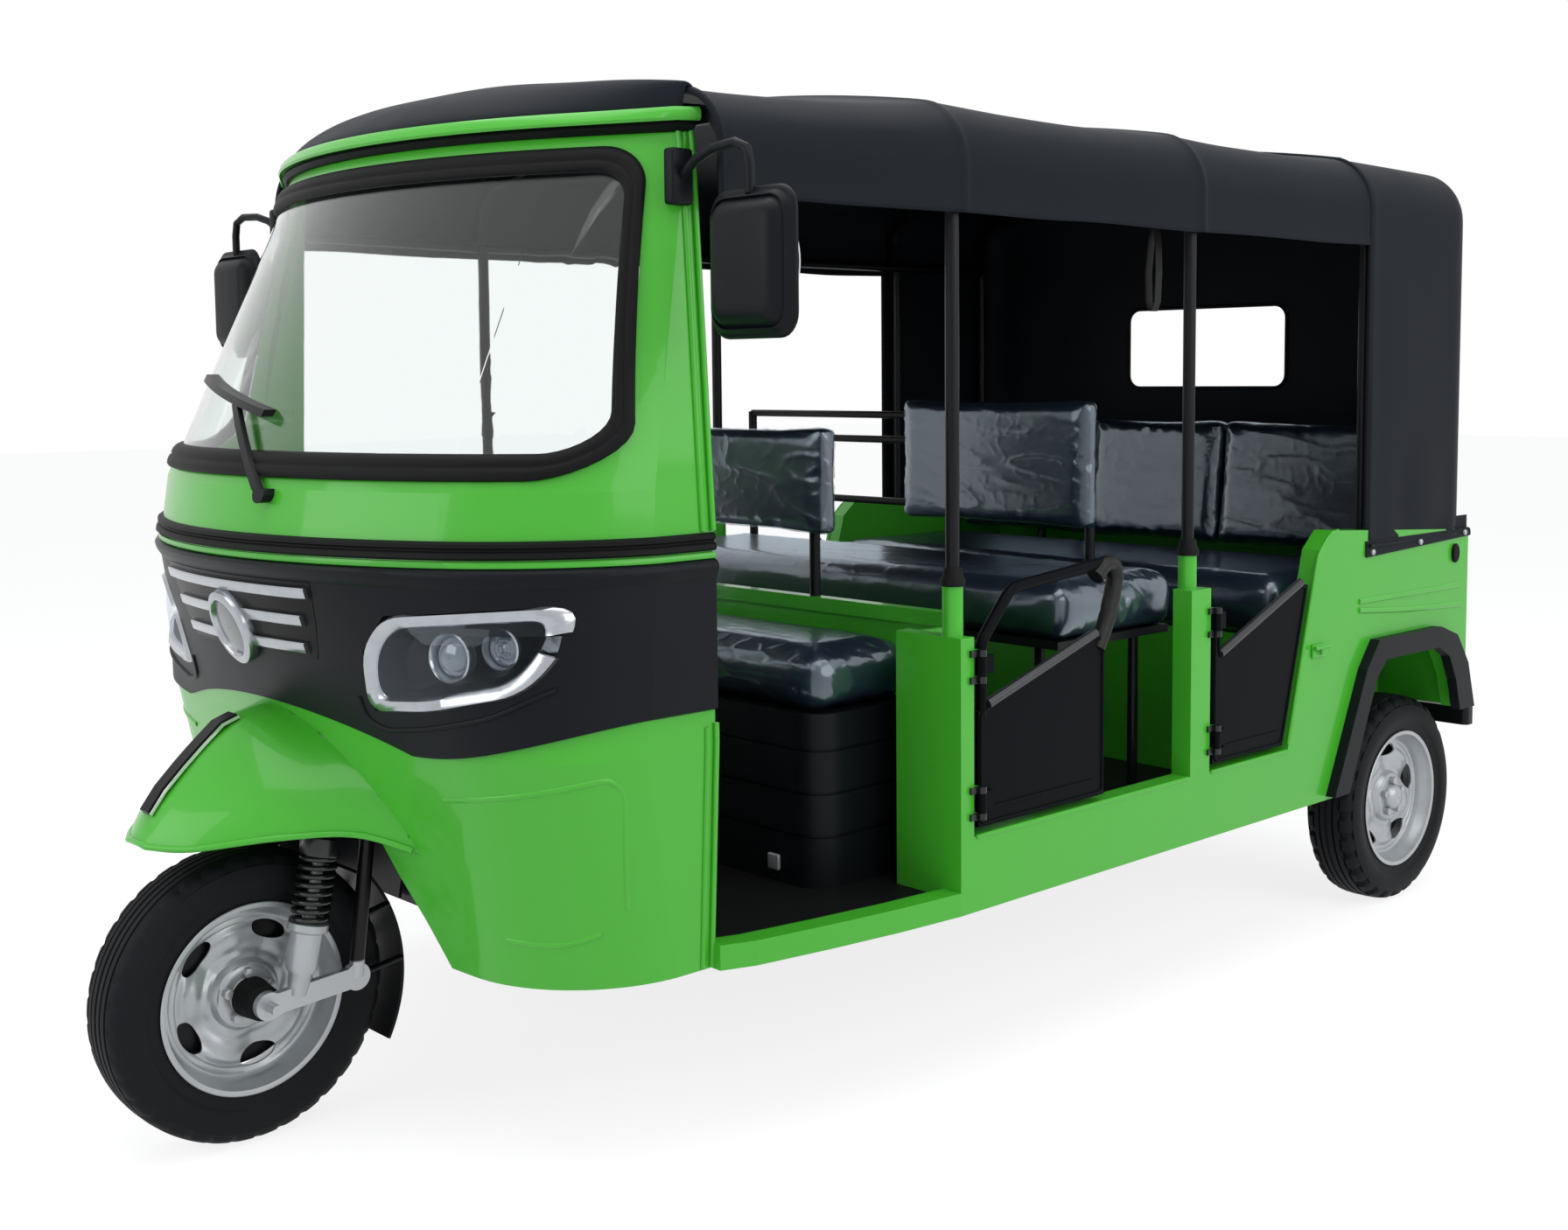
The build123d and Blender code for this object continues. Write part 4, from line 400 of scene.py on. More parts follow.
# ---- wheels -------------------------------------------------------------------------------------
# 12-inch pressed steel wheels in silver paint. A drop-centre rim is rolled and welded; the disc is
# pressed with five raised lobes and five windows between them, and bolts to the hub with five nuts.
RIM_HALF = [(0.0150, 0.1450), (0.0330, 0.1500), (0.0430, 0.1560), (0.0540, 0.1588), (0.0552, 0.1640),
            (0.0570, 0.1655), (0.0583, 0.1640), (0.0580, 0.1612), (0.0562, 0.1560), (0.0430, 0.1528),
            (0.0335, 0.1470), (0.0150, 0.1420)]
DISC_BASE = [(0.030, 0.031), (0.046, 0.031), (0.054, 0.027), (0.064, 0.014), (0.080, 0.007), (0.100, 0.006),
             (0.120, 0.010), (0.132, 0.018), (0.140, 0.022), (0.1455, 0.020)]
DISC_LOBE = [(0.050, 0.000), (0.062, 0.006), (0.074, 0.013), (0.095, 0.018), (0.112, 0.016), (0.126, 0.006),
             (0.136, 0.000)]
DISC_THICKNESS = 0.0035
DISC_INNER = 0.030
DISC_OUTER = 0.1455
DISC_STEPS = 32
LOBE_FULLNESS = 0.7              # below one the lobes are broad and the hollows narrow
LOBES = 5
NUT_CIRCLE = 0.0405
NUT_PLACE = 0.036
WINDOW_RADIUS = 0.113
WINDOW_SIZE = (0.0335, 0.0165)


def between(table, value):
    """Value read from a table of pairs, eased between its rows."""
    if value <= table[0][0]:
        return table[0][1]
    for (low, a), (high, b) in zip(table, table[1:]):
        if value <= high:
            share = (value - low) / (high - low)
            return a + (b - a) * share * share * (3 - 2 * share)
    return table[-1][1]


def wheel_disc(name, turn_start):
    """Pressed disc with its lobes, and an oval window cut between each two of them."""
    radii = [DISC_INNER + (DISC_OUTER - DISC_INNER) * step / DISC_STEPS for step in range(DISC_STEPS + 1)]
    section = [(0.0, radius) for radius in radii] + [(-DISC_THICKNESS, radius) for radius in reversed(radii)]
    disc = turned(name, section)
    for index, vertex in enumerate(disc.data.vertices):
        step, across = divmod(index, len(section))
        radius = section[across][1]
        wave = 0.5 + 0.5 * math.cos(LOBES * (2 * math.pi * step / TURN_STEPS - turn_start))
        vertex.co.x += between(DISC_BASE, radius) + between(DISC_LOBE, radius) * wave ** LOBE_FULLNESS
    cutters = []
    for lobe in range(LOBES):
        turn = turn_start + 2 * math.pi * (lobe + 0.5) / LOBES
        bpy.ops.mesh.primitive_cylinder_add(vertices=28, radius=1, depth=0.1)
        cutter = bpy.context.object
        cutter.data.transform(Matrix.Diagonal((*WINDOW_SIZE, 1, 1)))
        cutter.data.transform(Matrix.Rotation(math.pi / 2, 4, "Y"))
        cutter.data.transform(Matrix.Rotation(math.pi / 2, 4, "X"))
        cutter.data.transform(Matrix.Translation((0, 0, WINDOW_RADIUS)))
        cutter.data.transform(Matrix.Rotation(turn - math.pi / 2, 4, "X"))
        cutters.append(cutter)
    cutter = join("cutter", cutters)
    cut = disc.modifiers.new("windows", "BOOLEAN")
    cut.object = cutter
    cut.operation = "DIFFERENCE"
    cut.solver = "EXACT"
    only(disc)
    bpy.ops.object.modifier_apply(modifier="windows")
    bpy.data.objects.remove(cutter)
    return disc


def wheel_nuts():
    """Hexagon nuts on the bolt circle, one for each lobe."""
    nuts = []
    for lobe in range(LOBES):
        bpy.ops.mesh.primitive_cylinder_add(vertices=6, radius=0.0095, depth=0.014)
        nut = bpy.context.object
        bpy.ops.object.mode_set(mode="EDIT")
        bpy.ops.mesh.bevel(offset=0.0012, segments=2, affect="EDGES")
        bpy.ops.object.mode_set(mode="OBJECT")
        nut.data.transform(Matrix.Rotation(math.pi / 2, 4, "Y"))
        nut.data.transform(Matrix.Translation((NUT_PLACE, 0, NUT_CIRCLE)))
        nut.data.transform(Matrix.Rotation(2 * math.pi * lobe / LOBES, 4, "X"))
        nuts.append(nut)
    return nuts


def wheel(name, turn_start, hub_section):
    """Rim, disc, hub and nuts of one wheel, about the X axis."""
    rim = turned(name + "_band", RIM_HALF + [(-x, radius) for x, radius in reversed(RIM_HALF)])
    hub = turned(name + "_hub", hub_section, 48)
    disc = wheel_disc(name + "_disc", turn_start)
    return smooth(join(name, [rim, disc, hub, *wheel_nuts()]), 32)


silver_paint = finish("silver_wheel_paint", (0.42, 0.44, 0.46), 0.34, metal=0.45, rough_drift=0.2,
                      patches=26.0, grain=500.0, bump=0.10)
FRONT_HUB = [(0.028, 0.012), (0.030, 0.032), (0.034, 0.033), (0.040, 0.026), (0.040, 0.012)]
REAR_HUB = [(0.000, 0.016), (0.000, 0.032), (0.036, 0.032), (0.044, 0.028), (0.052, 0.018), (0.054, 0.002),
            (0.050, 0.001)]
front_wheel = move_mesh(wheel("wheel_front", 0.5, FRONT_HUB), Matrix.Translation(FRONT_AXLE))
fit(front_wheel, "front_wheel", silver_paint, "wheel_alloy", "front_rim")
left_wheel = move_mesh(wheel("wheel_rear_left", 0.9, REAR_HUB), Matrix.Translation(REAR_AXLE_LEFT))
fit(left_wheel, "rear_wheel_left", silver_paint, "wheel_alloy", "rear_left_rim")
right_wheel = wheel("wheel_rear_right", 0.9, REAR_HUB)
move_mesh(right_wheel, Matrix.Translation(REAR_AXLE_RIGHT) @ Matrix.Rotation(math.pi, 4, "Z"))
fit(right_wheel, "rear_wheel_right", silver_paint, "wheel_alloy", "rear_right_rim")

# Dark brake drum faces fill the wheels behind the discs.
DRUM = [(-0.010, 0.036), (-0.010, 0.127), (-0.0045, 0.129), (-0.0030, 0.120), (-0.0045, 0.036)]
for name, body, place, turn in (("front", "front_wheel", FRONT_AXLE, 0),
                                ("rear_left", "rear_wheel_left", REAR_AXLE_LEFT, 0),
                                ("rear_right", "rear_wheel_right", REAR_AXLE_RIGHT, math.pi)):
    drum = turned("drum_face_" + name, DRUM, 64)
    move_mesh(drum, Matrix.Translation(place) @ Matrix.Rotation(turn, 4, "Z"))
    fit(smooth(drum, 40), body, black_steel, "frame_black")

# ---- front hub ----------------------------------------------------------------------------------
# Black ribbed rubber boots close the hub on both sides, between the disc and the links. They taper
# outwards and are pushed over the spindle.
BOOT_RIBS = 7
BOOT_START = 0.040
BOOT_END = 0.0935
BOOT_BORE = 0.012
RIB_PITCH = 0.0075
RIB_TAPER = 0.0008
boot_section = [(BOOT_START, BOOT_BORE)]
for rib in range(BOOT_RIBS):
    start = BOOT_START + RIB_PITCH * rib
    crest, hollow = 0.0345 - RIB_TAPER * rib, 0.0315 - RIB_TAPER * rib
    boot_section += [(start, crest), (start + 0.0052, crest)]
    boot_section += [(start + 0.0058, hollow), (start + 0.0070, hollow)]
boot_section += [(BOOT_END, 2 * BOOT_BORE), (BOOT_END, BOOT_BORE)]
boots = [turned("boot", [(mirror * x, radius) for x, radius in boot_section], 64) for mirror in (1, -1)]
hub_boots = smooth(join("hub_boots", boots), 30)
move_mesh(hub_boots, Matrix.Translation(FRONT_AXLE))
fit(hub_boots, "front_wheel", black_rubber, "rubber_black")

# ---- front fork ---------------------------------------------------------------------------------
# Welded fork in black paint down to the links, which are cast in aluminium; a short coil spring
# and damper stands on each link, with a silver slider below and a black cup above.
LINK_TOP = (0.288, 0.292)        # between these heights the bare casting gives way to black paint


def masked_paint(material, axis, start, end, colour):
    """Second paint on a piece where its distance from the origin along an axis is past the start."""
    tree = material.node_tree
    place = tree.nodes.new("ShaderNodeTexCoord")
    axes = tree.nodes.new("ShaderNodeSeparateXYZ")
    tree.links.new(place.outputs["Object"], axes.inputs[0])
    distance = tree.nodes.new("ShaderNodeMath")
    distance.operation = "ABSOLUTE"
    tree.links.new(axes.outputs[axis], distance.inputs[0])
    mask = tree.nodes.new("ShaderNodeMapRange")
    mask.inputs["From Min"].default_value = start
    mask.inputs["From Max"].default_value = end
    tree.links.new(distance.outputs[0], mask.inputs["Value"])
    paints = tree.nodes.new("ShaderNodeMix")
    paints.data_type = "RGBA"
    shader = tree.nodes["Principled BSDF"]
    tree.links.new(mask.outputs[0], paints.inputs["Factor"])
    tree.links.new(shader.inputs["Base Color"].links[0].from_socket, paints.inputs["A"])
    paints.inputs["B"].default_value = (*colour, 1)
    tree.links.new(paints.outputs["Result"], shader.inputs["Base Color"])


fork_finish = finish("fork_paint_and_casting", (0.42, 0.43, 0.45), 0.34, metal=0.7, grain=420.0, bump=0.12)
masked_paint(fork_finish, "Z", *LINK_TOP, (0.010, 0.010, 0.011))
coat_nodes(fork_finish, "steering_fork")

STRUT_FOOT = Vector((0.104, 0.054 - STATION_ZERO, 0.262))
STRUT_HEAD = Vector((0.104, 0.118 - STATION_ZERO, 0.556))
SLIDER = [(-0.006, 0.008), (-0.006, 0.015), (0.010, 0.018), (0.030, 0.020), (0.040, 0.0270), (0.100, 0.0285),
          (0.104, 0.0345), (0.116, 0.0345), (0.120, 0.0150), (0.120, 0.0100), (0.262, 0.0100),
          (0.262, 0.0080)]
CUP = [(0.232, 0.0105), (0.232, 0.0345), (0.236, 0.0355), (0.262, 0.0330), (0.270, 0.0160), (0.302, 0.0140),
       (0.302, 0.0105)]
COIL_START, COIL_END = 0.118, 0.236
COIL_TURNS = 8.0
COIL_RADIUS = 0.0290
COIL_WIRE = 0.0052
STEPS_A_TURN = 22


def stand_on_link(obj, side):
    """Moves a piece drawn along X onto the link of one side, leaning back as the strut does."""
    lean = (STRUT_HEAD - STRUT_FOOT).to_track_quat("X", "Z").to_matrix().to_4x4()
    foot = Vector((side * STRUT_FOOT.x, STRUT_FOOT.y, STRUT_FOOT.z))
    return move_mesh(obj, Matrix.Translation(foot) @ lean)


def coil_spring(name):
    """Spring wound round the X axis."""
    curve = bpy.data.curves.new(name, "CURVE")
    curve.dimensions = "3D"
    curve.bevel_depth = COIL_WIRE
    curve.bevel_resolution = 2
    line = curve.splines.new("POLY")
    count = int(COIL_TURNS * STEPS_A_TURN)
    line.points.add(count)
    for step in range(count + 1):
        turn = 2 * math.pi * COIL_TURNS * step / count
        line.points[step].co = (COIL_START + (COIL_END - COIL_START) * step / count,
                                COIL_RADIUS * math.cos(turn), COIL_RADIUS * math.sin(turn), 1)
    obj = bpy.data.objects.new(name, curve)
    bpy.context.collection.objects.link(obj)
    only(obj)
    bpy.ops.object.convert(target="MESH")
    return bpy.context.object


sliders = join("strut_sliders", [stand_on_link(turned("slider", SLIDER, 40), side) for side in (1, -1)])
fit(smooth(sliders), "steering", silver_paint, "fork_silver", "front_struts")
coils = join("strut_springs", [stand_on_link(coil_spring("coil"), side) for side in (1, -1)]
             + [stand_on_link(turned("cup", CUP, 40), side) for side in (1, -1)])
spring_paint = finish("spring_paint", (0.010, 0.011, 0.013), 0.24, grain=300.0, bump=0.10)
fit(smooth(coils, 50), "steering", spring_paint, "frame_black")

# ---- roof cloth ---------------------------------------------------------------------------------
# One coated black cloth, sewn in three lengths and stretched over the steel bows from the header to
# the rear hood. It dips a little between the bows, and its front end wraps the padded cap.
# station, half width, top of the straight wall, crown
ROOF_TABLE = [(0.490, 0.720, 1.660, 1.786), (1.030, 0.758, 1.660, 1.829), (2.400, 0.758, 1.660, 1.827),
              (2.800, 0.758, 1.655, 1.819)]
BOWS = (0.490, 1.0125, 1.729, 2.402)
HEM_Z = 1.570
CLOTH_THICKNESS = 0.005
CLOTH_STEP = 0.0245
BOW_DIP = 0.011                  # how far the cloth sags between two bows
WELT_RISE = 0.0035
SLACK = 0.0035


def roof_at(station):
    """Half width, top of the wall and crown of the roof at a station."""
    for low, high in zip(ROOF_TABLE, ROOF_TABLE[1:]):
        if station <= high[0] or high is ROOF_TABLE[-1]:
            share = (station - low[0]) / (high[0] - low[0])
            return [a + (b - a) * share for a, b in zip(low, high)][1:]


def arc_through(a, b, c, count):
    """Points of the arc through three (x, z) points, without the last one."""
    (ax, az), (bx, bz), (cx, cz) = a, b, c
    double = 2 * (ax * (bz - cz) + bx * (cz - az) + cx * (az - bz))
    squares = [x * x + z * z for x, z in (a, b, c)]
    middle_x = (squares[0] * (bz - cz) + squares[1] * (cz - az) + squares[2] * (az - bz)) / double
    middle_z = (squares[0] * (cx - bx) + squares[1] * (ax - cx) + squares[2] * (bx - ax)) / double
    radius = math.hypot(ax - middle_x, az - middle_z)
    start = math.atan2(az - middle_z, ax - middle_x)
    end = math.atan2(cz - middle_z, cx - middle_x)
    return [(middle_x + radius * math.cos(start + (end - start) * step / count),
             middle_z + radius * math.sin(start + (end - start) * step / count)) for step in range(count)]


def roof_line(half, turn, crown, base, wall_steps=6):
    """Cloth's section from the left hem over the top to the right one, as (x, z)."""
    rise = crown - turn
    wall = (half, turn)
    bend = (half - 0.022, turn + 0.37 * rise)
    shoulder = (half - 0.079, turn + 0.63 * rise)
    quarter = (half / 2, crown - 0.11 * rise)
    left = [(half, base + (turn - base) * step / wall_steps) for step in range(wall_steps)]
    left += arc_through(wall, bend, shoulder, 8)
    left += arc_through(shoulder, quarter, (0.0, crown), 14)
    return left + [(0.0, crown)] + [(-x, z) for x, z in reversed(left)]


def woven(name, rows):
    """Mesh of a sheet from rows of equally many points."""
    across = len(rows[0])
    starts = [row * across + step for row in range(len(rows) - 1) for step in range(across - 1)]
    faces = [(start, start + 1, start + across + 1, start + across) for start in starts]
    mesh = bpy.data.meshes.new(name)
    mesh.from_pydata([point for row in rows for point in row], [], faces)
    obj = bpy.data.objects.new(name, mesh)
    bpy.context.collection.objects.link(obj)
    return obj


def apply_modifiers(obj):
    only(obj)
    for modifier in list(obj.modifiers):
        bpy.ops.object.modifier_apply(modifier=modifier.name)
    return obj


def thicken(obj, depth, offset=-1.0, subdivide=0):
    """Gives a sheet its thickness and, where it is soft, finer faces."""
    wall = obj.modifiers.new("wall", "SOLIDIFY")
    wall.thickness = depth
    wall.offset = offset
    if subdivide:
        finer = obj.modifiers.new("finer", "SUBSURF")
        finer.levels = finer.render_levels = subdivide
    return apply_modifiers(obj)


def crease(distance, width):
    """Height of a rounded ridge, one in its middle."""
    return math.exp(-(distance / width) ** 2)


def ripple(point, scale, seed):
    """Smooth noise from -1 to 1."""
    return noise.noise(Vector(point) * scale + Vector((seed, 2 * seed, 0)))


CAP_LIP = [(0.655, 0.492), (0.600, 0.462), (0.530, 0.425), (0.452, 0.390), (0.340, 0.336), (0.230, 0.300),
           (0.120, 0.278), (0.000, 0.270)]


def lip_station(x):
    """Station of the header's edge at a distance from the middle."""
    table = [(px, station) for px, station in reversed(CAP_LIP)]
    x = abs(x)
    for (low, a), (high, b) in zip(table, table[1:]):
        if x <= high:
            return a + (b - a) * (x - low) / (high - low)
    return table[-1][1]


CLOTH_STEPS = 79
stations = sorted({*[BOWS[0] + CLOTH_STEP * step for step in range(CLOTH_STEPS)],
                   *[bow + shift for bow in BOWS[1:3] for shift in (-0.014, -0.007, 0.0, 0.007, 0.014)]})
roof_rows = []
for station in stations:
    half, turn, crown = roof_at(station)
    ahead = max(bow for bow in BOWS if bow <= station + 1e-6)
    behind = min([bow for bow in BOWS if bow > station], default=BOWS[-1])
    share = (station - ahead) / (behind - ahead) if behind > ahead else 0.0
    dip = BOW_DIP * math.sin(math.pi * share) ** 0.8
    welt = sum(crease(station - bow, 0.009) for bow in BOWS[1:3]) * WELT_RISE
    points = []
    outline = roof_line(half, turn, crown, HEM_Z)
    for step, (x, z) in enumerate(outline):
        over = min(1.0, max(0.0, (z - turn) / (crown - turn)))
        slack = SLACK * ripple((x * 2, station * 5, z * 3), 1.0, 3.0)
        out = -dip * (0.35 + 0.65 * over) + welt + slack * (1 - crease(share - 0.5, 0.6) * 0.4)
        normal = Vector((x * 0.25 if over > 0.3 else math.copysign(1.0, x), 0, over + 0.02)).normalized()
        hem = 0.003 * crease(z - HEM_Z, 0.012) if z < HEM_Z + 0.03 else 0.0
        hem_drop = 0.004 * ripple((0, station * 3, x), 1.3, 7.0) if step in (0, len(outline) - 1) else 0.0
        points.append((x + normal.x * out + math.copysign(hem, x), station - STATION_ZERO,
                       z + normal.z * out + hem_drop))
    roof_rows.append(points)
roof_cloth = woven("roof_cloth", roof_rows)
thicken(roof_cloth, CLOTH_THICKNESS, subdivide=1)
smooth(roof_cloth, 50)

# Front cap: the same cloth padded over the header, from the first bow down to the header's edge.
CAP_STEPS = 12
CAP_HALF = 0.662
CAP_START = 0.500
CAP_OVERLAP = 0.010              # how far the cap's lip reaches past the header's edge
CAP_TUCK = 0.014
CAP_BULGE = 0.020
CAP_THICKNESS = 0.008
LIP_Z = 1.7135
front_line = [(x, z) for x, z in roof_line(*roof_at(BOWS[0]), HEM_Z) if abs(x) < CAP_HALF]
cap_rows = []
for step in range(CAP_STEPS + 2):
    share = min(step / CAP_STEPS, 1.0)
    tuck = CAP_TUCK if step == CAP_STEPS + 1 else 0.0
    row = []
    for x, z in front_line:
        reach = lip_station(x * 0.985)
        bulge = CAP_BULGE * math.sin(math.pi * share) ** 0.7
        bulge += 0.004 * ripple((x * 3, share * 2, 0), 1.4, 11.0)
        front = CAP_START + (reach - CAP_OVERLAP - CAP_START) * share
        drop = share ** 1.7
        row.append((x * (1 - 0.012 * share), front - STATION_ZERO - 0.2 * bulge,
                    z + 0.006 + (LIP_Z - z - 0.004) * drop + bulge * (1 - share * 0.3) - tuck))
    cap_rows.append(row)
roof_cap = woven("roof_cap", cap_rows)
thicken(roof_cap, CAP_THICKNESS, subdivide=1)
smooth(roof_cap, 60)


def bead(name, points, radius, resolution=3):
    """Round bead along points, as a mesh."""
    curve = bpy.data.curves.new(name, "CURVE")
    curve.dimensions = "3D"
    curve.bevel_depth = radius
    curve.bevel_resolution = resolution
    curve.use_fill_caps = True
    line = curve.splines.new("POLY")
    line.points.add(len(points) - 1)
    for target, point in zip(line.points, points):
        target.co = (*point, 1)
    obj = bpy.data.objects.new(name, curve)
    bpy.context.collection.objects.link(obj)
    only(obj)
    bpy.ops.object.convert(target="MESH")
    return smooth(bpy.context.object, 60)


# Welted seam where cap and roof cloth meet, down both sides to the hem.
front_hem = bead("front_welt", [(x * 1.004, 0.493 - STATION_ZERO, z + 0.003)
                                for x, z in roof_line(*roof_at(BOWS[0]), HEM_Z)], 0.0065)

# ---- rear hood ----------------------------------------------------------------------------------
# The rear hood is a second cloth: it laps over the roof cloth at the last bow, rounds the rear
# corners and hangs to the belt on both sides and behind, with a rounded window in the back.
HOOD_START = 2.386
HOOD_BEND = 2.792
HOOD_END = 2.874
HOOD_FOOT = 0.893
HOOD_OUT = 0.0065                # the hood lies this far outside the roof cloth's line
HOOD_OVER = 0.0055
SIDE_STEPS = 16
CORNER_STEPS = 9
CORNER_DEPTH = 0.075
WALL_STEPS = 16
WALL_SAG = 0.006
WINDOW_MIDDLE_Z = 1.357
WINDOW_HALF = (0.254, 0.111)     # half width and half height of the rear window's opening
WINDOW_CORNER = 0.036
WINDOW_PLACE = 2.870
hood_rows = []
hood_steps = [HOOD_START + (HOOD_BEND - HOOD_START) * step / SIDE_STEPS for step in range(SIDE_STEPS + 1)]
for station in hood_steps:
    half, turn, crown = roof_at(station)
    outline = roof_line(half + HOOD_OUT, turn, crown + HOOD_OVER, HOOD_FOOT, wall_steps=26)
    edge = 0.0025 * crease(station - HOOD_START, 0.012)
    points = []
    for x, z in outline:
        over = min(1.0, max(0.0, (z - turn) / (crown - turn)))
        slack = 0.0045 * ripple((x * 1.5, station * 3, z * 2.2), 1.0, 21.0)
        foot = 0.005 * ripple((station * 4, 0, x), 1.0, 5.0) * crease(z - HOOD_FOOT, 0.2)
        lap = 0.0035 * crease(z - HOOD_FOOT, 0.03)
        out = slack * (1 - over) + edge + foot + lap
        points.append((x + math.copysign(out * (1 - over), x), station - STATION_ZERO,
                       z + over * (out * 0.5)))
    hood_rows.append(points)
half, turn, crown = roof_at(HOOD_BEND)
for step in range(1, CORNER_STEPS + 1):
    turn_share = step / CORNER_STEPS * math.pi / 2
    inward = CORNER_DEPTH * (1 - math.cos(turn_share))
    station = HOOD_BEND + (HOOD_END - HOOD_BEND) * math.sin(turn_share)
    outline = roof_line(half + HOOD_OUT - inward, turn - inward * 0.25, crown + HOOD_OVER - inward * 0.95,
                        HOOD_FOOT, wall_steps=26)
    hood_rows.append([(x, station - STATION_ZERO, z) for x, z in outline])
wall_outline = [(x, z) for x, y, z in hood_rows[-1]]
for step in range(1, WALL_STEPS + 1):
    share = step / WALL_STEPS
    row = []
    for x, z in wall_outline:
        shrink = 1 - share
        px = x * shrink
        pz = HOOD_FOOT + (z - HOOD_FOOT) * (1 - share * 0.55 * min(1.0, (z - HOOD_FOOT) / 0.8))
        sag = WALL_SAG * ripple((px * 2.5, pz * 2.5, 0), 1.0, 31.0)
        row.append((px, HOOD_END - STATION_ZERO + sag * min(1.0, 4 * share), pz))
    hood_rows.append(row)
rear_hood = woven("rear_hood", hood_rows)
only(rear_hood)
bpy.ops.object.mode_set(mode="EDIT")
bpy.ops.mesh.select_all(action="SELECT")
bpy.ops.mesh.remove_doubles(threshold=0.0004)
bpy.ops.mesh.normals_make_consistent(inside=False)
bpy.ops.object.mode_set(mode="OBJECT")
thicken(rear_hood, CLOTH_THICKNESS, subdivide=1)
bpy.ops.mesh.primitive_cube_add(size=1, location=(0, WINDOW_PLACE - STATION_ZERO, WINDOW_MIDDLE_Z),
                                scale=(2 * WINDOW_HALF[0], 0.16, 2 * WINDOW_HALF[1]))
window_cutter = bpy.context.object
bpy.ops.object.transform_apply(location=True, rotation=True, scale=True)
bpy.ops.object.mode_set(mode="EDIT")
bpy.ops.mesh.select_all(action="DESELECT")
bpy.ops.object.mode_set(mode="OBJECT")
for edge in window_cutter.data.edges:
    ends = [window_cutter.data.vertices[index].co for index in edge.vertices]
    edge.select = abs(ends[0].y - ends[1].y) > 0.1
bpy.ops.object.mode_set(mode="EDIT")
bpy.ops.mesh.bevel(offset=WINDOW_CORNER, segments=7, affect="EDGES")
bpy.ops.object.mode_set(mode="OBJECT")
opening = rear_hood.modifiers.new("window", "BOOLEAN")
opening.object = window_cutter
opening.operation = "DIFFERENCE"
opening.solver = "EXACT"
only(rear_hood)
bpy.ops.object.modifier_apply(modifier="window")
bpy.data.objects.remove(window_cutter)
smooth(rear_hood, 50)

RIM_STEPS = 6
RIM_PLACE = WINDOW_PLACE + 0.001
window_rim = []
for corner, (across, along) in enumerate([(1, 1), (-1, 1), (-1, -1), (1, -1)]):
    middle_x = across * (WINDOW_HALF[0] - WINDOW_CORNER)
    middle_z = WINDOW_MIDDLE_Z + along * (WINDOW_HALF[1] - WINDOW_CORNER)
    for step in range(RIM_STEPS + 1):
        turn_share = math.pi / 2 * (corner + step / RIM_STEPS)
        window_rim.append((middle_x + WINDOW_CORNER * math.cos(turn_share), RIM_PLACE - STATION_ZERO,
                           middle_z + WINDOW_CORNER * math.sin(turn_share)))
window_rim.append(window_rim[0])
hood_welts = [bead("window_welt", window_rim, 0.0055)]
lap_line = roof_line(*roof_at(HOOD_START), HOOD_FOOT, wall_steps=20)
hood_welts.append(bead("hood_welt", [(x * 1.003, HOOD_START - STATION_ZERO, z + 0.003) for x, z in lap_line],
                       0.0055))
foot_rows = hood_rows[:SIDE_STEPS + CORNER_STEPS + 2]
foot_points = [row[0] for row in foot_rows] + [row[-1] for row in reversed(foot_rows)]
foot_line = [(x * 1.002, y, HOOD_FOOT) for x, y, z in foot_points]
hood_welts.append(bead("foot_welt", foot_line, 0.0045))
roof_welts = join("roof_welts", [front_hem, *hood_welts])

roof_canvas = finish("coated_roof_cloth", (0.0085, 0.0110, 0.0155), 0.50, drift=0.5, rough_drift=0.2,
                     patches=3.5, grain=1100.0, bump=0.3, specular=0.06)
fit(roof_cloth, "vehicle", roof_canvas, "canopy_cloth", "canopy")
for piece in (roof_cap, rear_hood, roof_welts):
    fit(piece, "vehicle", roof_canvas, "canopy_cloth")

# ---- seats --------------------------------------------------------------------------------------
# Foam cushions in navy vinyl, still in the clear film they came in. The
# pads sit on the driver's box, the bench frame and the rear base; the backs bolt to tube posts.
PAD_FRAMES = 12
PAD_PRESSURE = 2.2
PAD_REACH = 0.0065               # no point swells further than this
FILM_LIFT = 0.0012
FOLD_WIDTH = 0.20                # shares of the noise that rise into broad folds and fine creases
CREASE_WIDTH = 0.13


def swell(obj):
    """Inflates a closed pad a little, as stuffed vinyl does, and keeps it near its cut shape."""
    rest = [vertex.co.copy() for vertex in obj.data.vertices]
    cloth = obj.modifiers.new("cloth", "CLOTH")
    cloth.settings.use_pressure = True
    cloth.settings.uniform_pressure_force = PAD_PRESSURE
    cloth.settings.effector_weights.gravity = 0.0
    cloth.settings.quality = 4
    cloth.settings.mass = 0.3
    cloth.settings.tension_stiffness = 25
    cloth.settings.compression_stiffness = 25
    cloth.settings.bending_stiffness = 1.5
    cloth.collision_settings.use_collision = False
    cloth.point_cache.frame_start = 1
    cloth.point_cache.frame_end = PAD_FRAMES
    for number in range(1, PAD_FRAMES + 1):
        bpy.context.scene.frame_set(number)
    only(obj)
    bpy.ops.object.modifier_apply(modifier="cloth")
    bpy.context.scene.frame_set(1)
    for vertex, start in zip(obj.data.vertices, rest):
        moved = vertex.co - start
        if moved.length > PAD_REACH:
            vertex.co = start + moved * (PAD_REACH / moved.length)
    return obj


